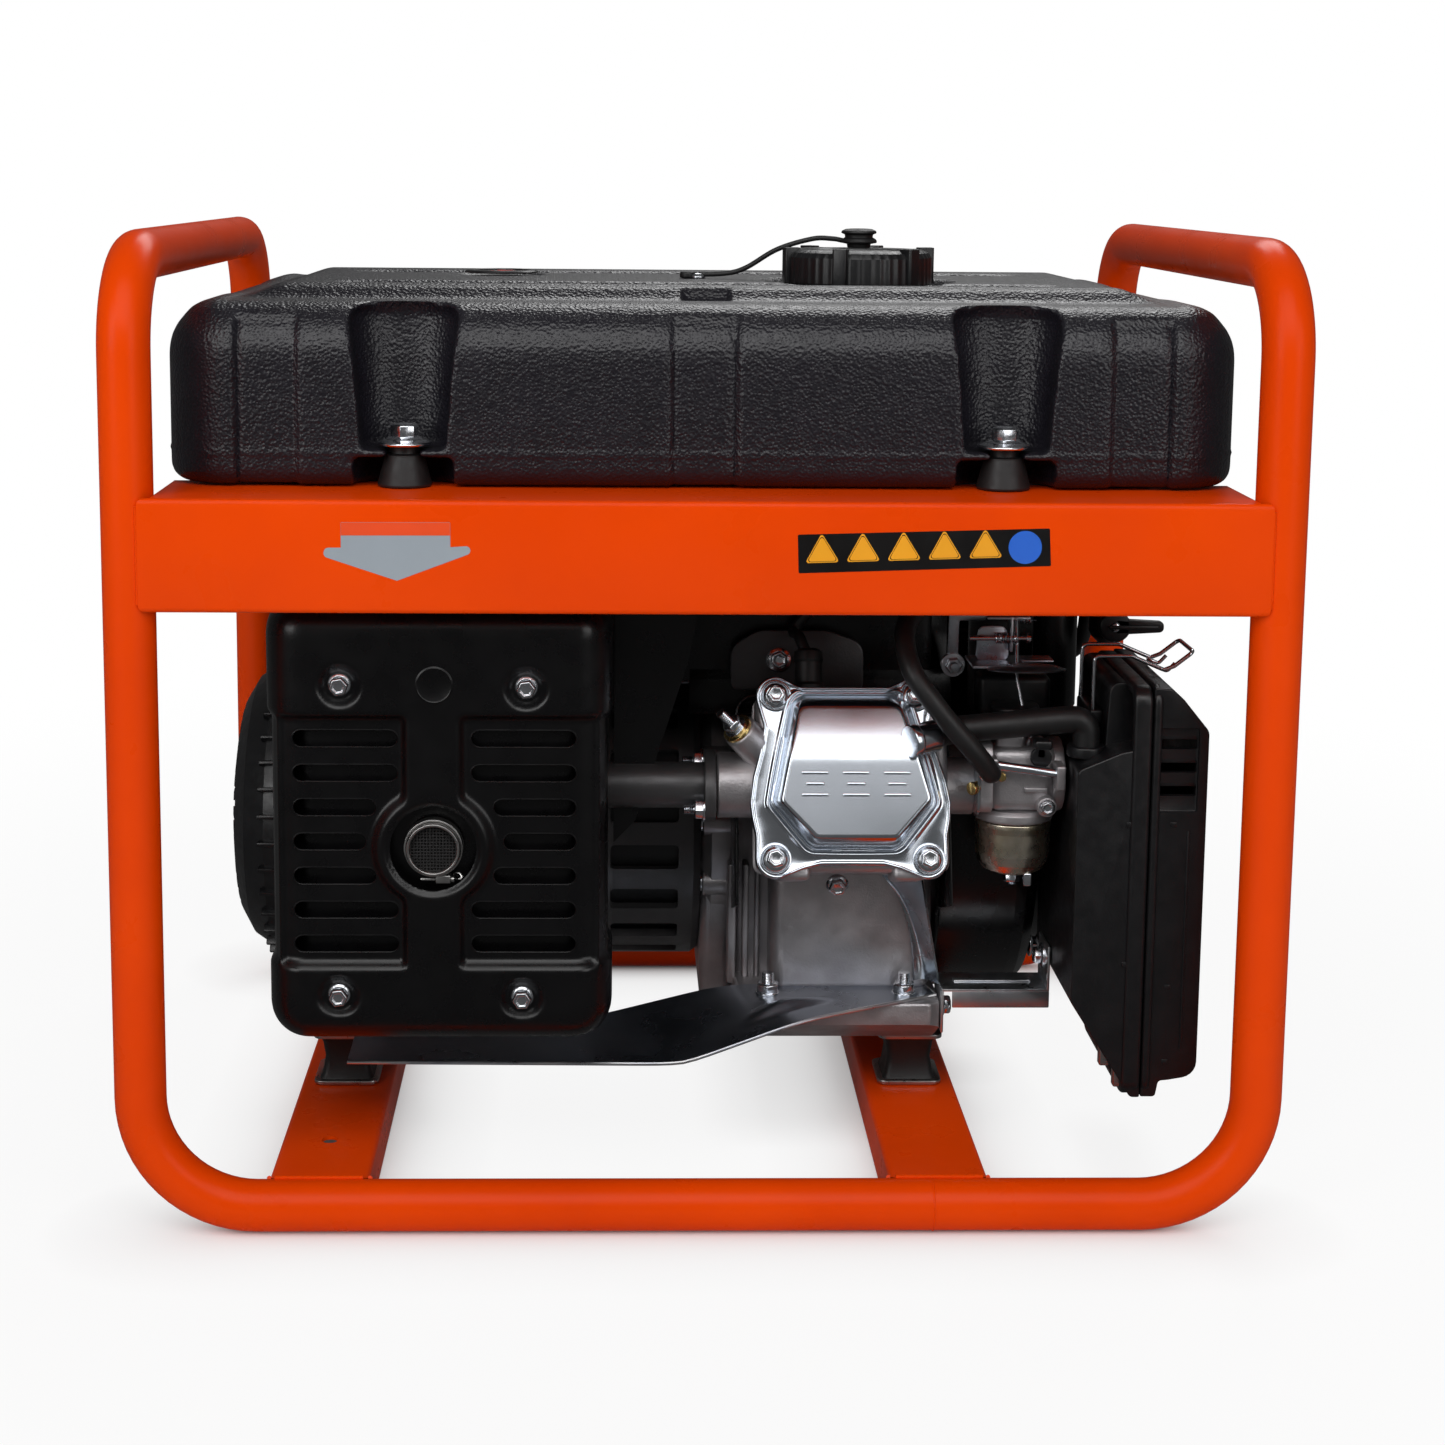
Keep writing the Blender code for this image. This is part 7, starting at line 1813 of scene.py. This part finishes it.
def alternator():
    at = SHAFT
    radius = ALTERNATOR_R
    low, high = STATOR_X[1] + GAP, 0.0037
    bracket = lathe("bracket", [(radius - 0.010, high), (radius - 0.003, high), (radius, high - 0.004),
                                (radius, low + 0.010),
                                (radius + 0.001, low + 0.008), (radius + 0.001, low), (radius - 0.005, low),
                                (radius - 0.005, high - 0.005), (radius - 0.010, high - 0.005)], at, 112,
                                0.0007, True)
    tools = []
    for k in range(20):
        turned = at @ Matrix.Rotation(math.radians(18 * k + 5), 4, "Z")
        tools.append(block("slot", (radius - 0.02, -0.0070, -0.0460), (radius + 0.02, 0.0070, -0.0085),
                           0.002, 2, turned))
    cut(bracket, *tools)
    liner = lathe("liner", [(radius - 0.0075, high - 0.006), (radius - 0.0065, high - 0.006),
                            (radius - 0.0065, low + 0.003),
                            (radius - 0.0075, low + 0.003)], at, 96, 0, True)
    dress(liner, "alternator_air_baffle", BLACK)
    dress(soften(bracket, 0.0004, 1, 50), "alternator_front_housing", DARK_CAST,
          replaces=["alternator_front_bracket"], smooth=35)

    left, right = STATOR_X
    z, pitch = right - 0.0005, 0.0052
    rows = [(0.0485, z), (radius - 0.0060, z), (radius - 0.0020, z - 0.001)]
    while z - pitch > left + 0.004:
        rows += [(radius - 0.0020, z - pitch + 0.0006), (radius - 0.0026, z - pitch + 0.0003),
                 (radius - 0.0020, z - pitch)]
        z -= pitch
    rows += [(radius - 0.0020, left), (0.0485, left)]
    stack = lathe("stack", rows, at, 96, 0, True)
    fins = []
    for k in range(28):
        a = 2 * math.pi * k / 28
        turned = at @ Matrix.Rotation(a, 4, "Z")
        fins.append(block("fin", (radius - 0.0035, -0.0024, left + 0.001),
                          (radius + 0.0002, 0.0024, right - 0.001), 0.0008, 2,
                          turned))
    dress(merge("stack", stack, *fins), "stator_core", LAMINATE, replaces=["stator"], smooth=28)
    coils = []
    for k in range(24):
        a = 2 * math.pi * k / 24
        route = []
        for j in range(9):
            turn, swell = a + 0.42 * j / 8, math.sin(math.pi * j / 8)
            r = 0.0600 + 0.0040 * swell
            route.append((right + 0.0135 * swell, AXIS_Y + r * math.cos(turn), AXIS_Z + r * math.sin(turn)))
        coils.append(sweep("coil", route, 0.0030, 8))
    dress(merge("coils", *coils), "stator_windings", COPPER, smooth=50)
    ties = []
    for a in np.radians((55, 125, 235, 305)):
        y, z = AXIS_Y + (radius + 0.0030) * math.cos(a), AXIS_Z + (radius + 0.0030) * math.sin(a)
        ties.append(lathe("tie", [(0, 0), (0.0025, 0), (0.0025, 0.1500), (0, 0.1500)],
                          placed((-0.1990, y, z), X_AXIS), 16))
        ties.append(bolt((-0.2003, y, z), (-1, 0, 0), 0.0080, 0.0050, 0.0052, a))
    dress(merge("ties", *ties), "alternator_tie_bolts", BOLTS)

    rotor = lathe("rotor", [(0, 0.0000), (SHAFT_R, 0.0000), (SHAFT_R, -0.0320), (0.0230, -0.0322),
                            (0.0250, -0.0340), (0.0250, -0.0420),
                            (0.0200, -0.0430), (0.0200, -0.0620), (0.0475, -0.0630), (0.0475, -0.1670),
                            (0.0140, -0.1680),
                            (0.0095, -0.1700), (0.0095, -0.1960), (0, -0.1960)], at, 72, 0.0005)
    vanes = []
    for k in range(15):
        turned = at @ Matrix.Rotation(2 * math.pi * k / 15, 4, "Z")
        vanes.append(block("vane", (0.0240, -0.0010, -0.0420), (0.0600, 0.0010, -0.0325), 0.0004, 1,
                           turned))
    dress(merge("rotor", rotor, *vanes), "alternator_rotor", IRON, "crank", ["rotor"], 30)

    end, start = left - GAP, -0.2000
    rear = lathe("rear", [(0, start), (radius - 0.004, start), (radius - 0.001, start + 0.003),
                          (radius - 0.001, end), (0, end)], at,
                 112, 0.0006)
    foot = block("foot", (start, MOUNT_Y[0] - 0.016, BASE_Z), (end, MOUNT_Y[1] + 0.016, BASE_Z + 0.012),
                 0.0025, 3)
    trunk = block("trunk", (start, -0.030, BASE_Z + 0.002), (end, 0.070, AXIS_Z), 0.002, 2)
    union(rear, foot, trunk)
    tools = [disc("bore", 0.0098, -0.24, -0.16, at, 0, 32)]
    for k in range(8):
        turned = at @ Matrix.Rotation(math.radians(45 * k + 22.5), 4, "Z")
        outline = fillet([(0.030, -0.007), (0.066, -0.016), (0.066, 0.016), (0.030, 0.007)], 0.004, 5)
        tools.append(prism("window", outline, -0.24, -0.16, turned))
    cut(rear, *tools)
    dress(rear, "alternator_rear_housing", CAST, replaces=["alternator_rear_bracket"], smooth=35)

    face, rim = COVER_END_X, start - GAP
    cover = lathe("cover", [(0, face + 0.0030), (0.048, face + 0.0028), (radius - 0.018, -0.2510),
                            (radius - 0.008, -0.2400),
                            (radius - 0.003, -0.2250), (radius - 0.003, rim), (radius + 0.001, rim),
                            (radius + 0.001, -0.2250),
                            (radius - 0.002, -0.2370), (radius - 0.010, -0.2490), (radius - 0.022, -0.2560),
                            (0.046, face + 0.0010),
                            (0.020, face + 0.0006), (0.018, face), (0, face)], at, 128, 0.0006)
    tools = []
    for k in range(36):
        turned = at @ Matrix.Rotation(2 * math.pi * (k + 0.5) / 36, 4, "Z")
        outline = fillet([(0.0320, -0.0011), (0.0640, -0.0026), (0.0640, 0.0026), (0.0320, 0.0011)], 0.0010,
                         3)
        tools.append(prism("slot", outline, face - 0.01, -0.235, turned))
    cut(cover, *tools)
    ribs = []
    for k in range(36):
        turned = at @ Matrix.Rotation(2 * math.pi * k / 36, 4, "Z")
        ribs.append(block("rib", (radius - 0.0030, -0.0012, -0.2400),
                          (radius + 0.0024, 0.0012, rim - 0.003), 0.0008, 2, turned))
    dress(merge("cover", cover, *ribs), "alternator_end_cover_moulding", BLACK,
          replaces=["alternator_end_cover"], smooth=35)


# ---------------------------------------------------------------- control panel

def control_panel():
    low_x, high_x = PANEL_X
    low_z, high_z = PANEL_Z
    back, face = PANEL_Y
    panel = block("panel", (low_x, back, low_z), (high_x, face, high_z), 0.006, 4)
    cut(panel, block("inside", (low_x + 0.002, back - 0.01, low_z + 0.002),
                     (high_x - 0.002, face - 0.003, high_z - 0.002), 0.003, 2))
    tools = []
    for x in SOCKETS:
        tools.append(disc("well", 0.0195, -0.02, 0.02, placed((x, face, SOCKET_Z), Y_AXIS), 0, 56))
    tools.append(block("switch_hole", (SWITCH_X[0], face - 0.02, SWITCH_Z[0]),
                       (SWITCH_X[1], face + 0.02, SWITCH_Z[1]), 0))
    tools.append(disc("button_hole", 0.0065, -0.02, 0.02, placed((BREAKER[0], face, BREAKER[1]), Y_AXIS), 0,
                      32))
    cut(panel, *tools)
    dress(panel, "control_panel_box", ENAMEL, replaces=["control_panel"], smooth=40)
    wells, pins = [], []
    for x in SOCKETS:
        at = placed((x, face, SOCKET_Z), Y_AXIS)
        wells.append(lathe("ring", [(0.0194, -0.006), (0.0194, 0.0058), (0.0215, 0.0060), (0.0232, 0.0045),
                                    (0.0232, 0.0002),
                                    (0.0200, -0.006)], at, 64, 0.0006, True))
        wells.append(disc("floor", 0.0196, -0.0072, -0.0042, at, 0.0002, 56))
        for dx in (-0.0095, 0.0095):
            wells.append(lathe("hole", [(0.0024, -0.0041), (0.0036, -0.0041), (0.0036, -0.0036),
                                        (0.0024, -0.0036)],
                               placed((x + dx, face, SOCKET_Z), Y_AXIS), 24, 0.0001, True))
            pins.append(disc("pin", 0.0023, -0.0044, -0.0039, placed((x + dx, face, SOCKET_Z), Y_AXIS), 0,
                             20))
        for dz in (-0.0175, 0.0175):
            pins.append(block("earth", (x - 0.002, face - 0.0045, SOCKET_Z + dz - 0.001),
                              (x + 0.002, face + 0.0030, SOCKET_Z + dz + 0.001),
                              0.0004, 2))
    dress(merge("wells", *wells), "socket_bodies", BLACK)
    dress(merge("pins", *pins), "socket_contacts", BRASS)
    at = placed((METER[0], face, METER[1]), Y_AXIS)
    bezel = lathe("bezel", [(0.0180, 0.0002), (0.0225, 0.0002), (0.0225, 0.0030), (0.0205, 0.0046),
                            (0.0185, 0.0046), (0.0180, 0.0030)],
                  at, 64, 0.0006, True)
    dress(bezel, "meter_bezel", BLACK)
    dress(disc("dial", 0.0182, 0.0002, 0.0014, at, 0.0001, 56), "meter_dial", WHITE)
    marks = []
    for k in range(11):
        a = math.radians(30 + 12 * k)
        long = 0.0026 if k % 5 == 0 else 0.0016
        marks.append(block("mark", (0.0150 - long, -0.0003, 0.0012), (0.0150, 0.0003, 0.0017), 0, 1,
                           at @ Matrix.Rotation(-a, 4, "Z")))
    marks.append(block("needle", (-0.003, -0.0004, 0.0018), (0.0125, 0.0004, 0.0024), 0.0002, 1,
                       at @ Matrix.Rotation(math.radians(-120), 4, "Z")))
    marks.append(disc("hub", 0.0022, 0.0012, 0.0030, at, 0.0003, 24))
    dress(merge("marks", *marks), "meter_marks", LABEL_BLACK)
    frames = []
    outer = fillet([(-0.0745, 0.2195), (-0.0455, 0.2195), (-0.0455, 0.2525), (-0.0745, 0.2525)], 0.002, 4)
    frame_ring = prism("frame", outer, face + 0.0001, face + 0.0020, ON_XZ)
    cut(frame_ring, block("inside", (SWITCH_X[0], face - 0.02, SWITCH_Z[0]),
                          (SWITCH_X[1], face + 0.02, SWITCH_Z[1]), 0))
    frames.append(soften(frame_ring, 0.0005, 2))
    frames.append(lathe("collar", [(0.0063, 0.0001), (0.0095, 0.0001), (0.0088, 0.0035), (0.0063, 0.0040)],
                        placed((BREAKER[0], face, BREAKER[1]), Y_AXIS), 32, 0.0004, True))
    dress(merge("frames", *frames), "switch_and_breaker_frames", BLACK)
    heads = [screw((x, face, z), Y_AXIS, 0.0034, 0.0020, x * 50) for x in (low_x + 0.010, high_x - 0.010)
             for z in (low_z + 0.010, high_z - 0.010)]
    heads.append(bolt((-0.2080, face, 0.2700), Y_AXIS, 0.0100, 0.0060, 0.0080, 0.3))
    heads.append(nut((-0.2080, face, 0.2400), Y_AXIS, 0.0100, 0.0050, 0.008, 0.2))
    dress(merge("screws", *heads), "panel_screws_and_earth_stud", BOLTS)
    plate = prism("plate", fillet([(-0.2000, 0.2780), (-0.0900, 0.2780), (-0.0900, 0.3000),
                                   (-0.2000, 0.3000)], 0.002, 3),
                  face - 0.0001, face + 0.0004, ON_XZ)
    dress(plate, "panel_blank_label", LABEL_GREY)

    for name, x in zip(("socket_flap_left", "socket_flap_right"), SOCKETS):
        at = placed((x, face + 0.0080, SOCKET_Z), Y_AXIS)
        lid = lathe("lid", [(0, -0.0012), (0.0205, -0.0012), (0.0225, -0.0004), (0.0225, 0.0010),
                            (0.0210, 0.0016), (0.0160, 0.0016),
                            (0.0150, 0.0009), (0, 0.0009)], at, 64, 0.0003)
        barrel = disc("barrel", 0.0021, -0.010, 0.010, placed((x, face + 0.0080, 0.2700), X_AXIS), 0.0003,
                      24)
        web = block("web", (x - 0.0090, face + 0.0069, 0.2600), (x + 0.0090, face + 0.0091, 0.2700), 0.0008,
                    2)
        lift = block("lift", (x - 0.006, face + 0.0068, 0.2212), (x + 0.006, face + 0.0092, 0.2240), 0.0008,
                     2)
        dress(merge("lid", lid, barrel, web, lift), name + "_lid", BLACK, name, [name], 35)

    outline = fillet([(face - 0.0080, 0.2252), (face + 0.0012, 0.2252), (face + 0.0040, 0.2262),
                      (face + 0.0012, 0.2360),
                      (face + 0.0026, 0.2468), (face - 0.0080, 0.2468)],
                      [0.0004, 0.0006, 0.0008, 0.006, 0.0008, 0.0004], 4)
    rocker = soften(prism("rocker", outline, -0.0708, -0.0492, ON_YZ), 0.0005, 2)
    dress(rocker, "engine_switch_rocker", RED, "engine_switch", ["engine_switch"])
    button = lathe("button", [(0, -0.0060), (0.0060, -0.0060), (0.0060, 0.0090), (0.0052, 0.0100),
                              (0, 0.0096)],
                   placed((BREAKER[0], face, BREAKER[1]), Y_AXIS), 40, 0.0005)
    dress(button, "breaker_button_cap", RED, "breaker_button", ["breaker_button"])
    cable = spline([(-0.150, 0.150, 0.2005), (-0.152, 0.140, 0.185), (-0.165, 0.118, 0.200),
                    (-0.190, 0.095, 0.215)], 30)
    dress(sweep("cable", cable, 0.0045, 16), "panel_cable", RUBBER, smooth=60)


BUILDERS = (tube_frame, beams, channels, mounts, fuel_tank, tank_bolts, fuel_cap, fuel_gauge, fuel_cock,
            labels, muffler,
            exhaust_pipe, heat_plate, valve_cover, cylinder_head, crankcase, engine_cowl, oil_dipstick,
            side_cover, spark_plug, flywheel,
            shroud_and_starter, carburetor, throttle_controls, air_filter, hoses, alternator, control_panel)


# ---------------------------------------------------------------- stage

FLOOR_HALF, FLOOR_Z = 6, -0.0004
# The floor glows white to the camera, a little less near the part: (distance, share) near and far
GLOW_NEAR, GLOW_FAR = (0.30, 0.90), (1.2, 1.0)
CONTACT_SHADE = 0.06  # reach of the darker floor under the tubes
WORLD_LIGHT, WORLD_SEEN = 0.08, 1.0  # the world's strength as a light and as a backdrop
LENS, SHIFT = 59.142, (0.0363, -0.1540)
CAMERA_AT, CAMERA_TURN, CAMERA_DIP, CAMERA_ROLL = (-0.0453, -1.3332, 0.5275), -1.372, 7.897, 0.489
LIGHTS = (
    ("overhead_softbox", (-0.1, -1.45, 1.75), (0, 0, 0.3), (2.0, 1.3), 21),
    ("front_high_softbox", (0.2, -3.0, 2.1), (0, 0, 0.25), (2.4, 1.3), 6),
    ("front_left_softbox", (-1.5, -1.7, 1.05), (0, 0, 0.25), (0.9, 1.3), 12),
    ("front_right_softbox", (1.4, -1.8, 0.95), (0, 0, 0.25), (0.9, 1.3), 8),
    ("rear_softbox", (0.4, 1.7, 2.1), (0, 0, 0.25), (1.4, 1.0), 22),
)


def area_light(name, at, to, size, power):
    light = bpy.data.lights.new(name, "AREA")
    light.shape = "RECTANGLE"
    light.size, light.size_y = size
    light.energy = power
    lamp = bpy.data.objects.new(name, light)
    aim = (Vector(to) - Vector(at)).to_track_quat("-Z", "Y")
    lamp.matrix_world = Matrix.Translation(at) @ aim.to_matrix().to_4x4()
    SCENE.collection.objects.link(lamp)


def glowing_floor():
    """A plain floor that reads as white paper, with the part's contact shade on it."""
    e, z = FLOOR_HALF, FLOOR_Z
    floor = from_lists("floor", [(-e, -e, z), (e, -e, z), (e, e, z), (-e, e, z)], [(0, 1, 2, 3)])
    floor.data.materials.append(FLOOR)
    tree = FLOOR.node_tree
    away = tree.nodes.new("ShaderNodeVectorMath")
    away.operation = "LENGTH"
    tree.links.new(add_node(tree, "TexCoord").outputs["Object"], away.inputs[0])
    fade = add_node(tree, "MapRange", {"Value": away.outputs["Value"], "From Min": GLOW_NEAR[0],
                                       "From Max": GLOW_FAR[0], "To Min": GLOW_NEAR[1],
                                       "To Max": GLOW_FAR[1]})
    fade.interpolation_type = "SMOOTHSTEP"
    shade = add_node(tree, "AmbientOcclusion", {"Distance": CONTACT_SHADE})
    share = fade.outputs["Result"]
    for other in (add_node(tree, "LightPath").outputs["Is Camera Ray"], shade.outputs["AO"]):
        product = tree.nodes.new("ShaderNodeMath")
        product.operation = "MULTIPLY"
        tree.links.new(share, product.inputs[0])
        tree.links.new(other, product.inputs[1])
        share = product.outputs["Value"]
    glow = add_node(tree, "Emission", {"Color": (1, 1, 1, 1)})
    blend = add_node(tree, "MixShader", {"Fac": share})
    tree.links.new(tree.nodes["Principled BSDF"].outputs["BSDF"], blend.inputs[1])
    tree.links.new(glow.outputs["Emission"], blend.inputs[2])
    tree.links.new(blend.outputs["Shader"], tree.nodes["Material Output"].inputs["Surface"])
    return floor


def stage():
    floor = glowing_floor()
    floor.visible_glossy = False
    world = bpy.data.worlds.new("studio")
    world.use_nodes = True
    tree = world.node_tree
    background = tree.nodes["Background"]
    background.inputs["Color"].default_value = (1, 1, 1, 1)
    seen = add_node(tree, "LightPath").outputs["Is Camera Ray"]
    level = add_node(tree, "MapRange", {"Value": seen, "To Min": WORLD_LIGHT, "To Max": WORLD_SEEN})
    tree.links.new(level.outputs["Result"], background.inputs["Strength"])
    SCENE.world = world
    SCENE.view_settings.view_transform = "Standard"
    for light in LIGHTS:
        area_light(*light)

    lens = bpy.data.cameras.new("camera")
    lens.sensor_width = 36
    lens.lens = LENS
    lens.shift_x, lens.shift_y = SHIFT
    camera = bpy.data.objects.new("camera", lens)
    turn, dip, roll = (math.radians(a) for a in (CAMERA_TURN, 90 - CAMERA_DIP, CAMERA_ROLL))
    camera.matrix_world = (Matrix.Translation(CAMERA_AT) @ Matrix.Rotation(turn, 4, "Z")
                           @ Matrix.Rotation(dip, 4, "X") @ Matrix.Rotation(roll, 4, "Z"))
    SCENE.collection.objects.link(camera)
    SCENE.camera = camera


for builder in BUILDERS:
    builder()

for node in NODES.values():
    slot = node.data.materials[0].name.split(".")[0] if node.data.materials else ""
    finish = BY_SLOT.get(slot, BLACK)
    node.data.materials.clear()
    node.data.materials.append(finish)

stage()
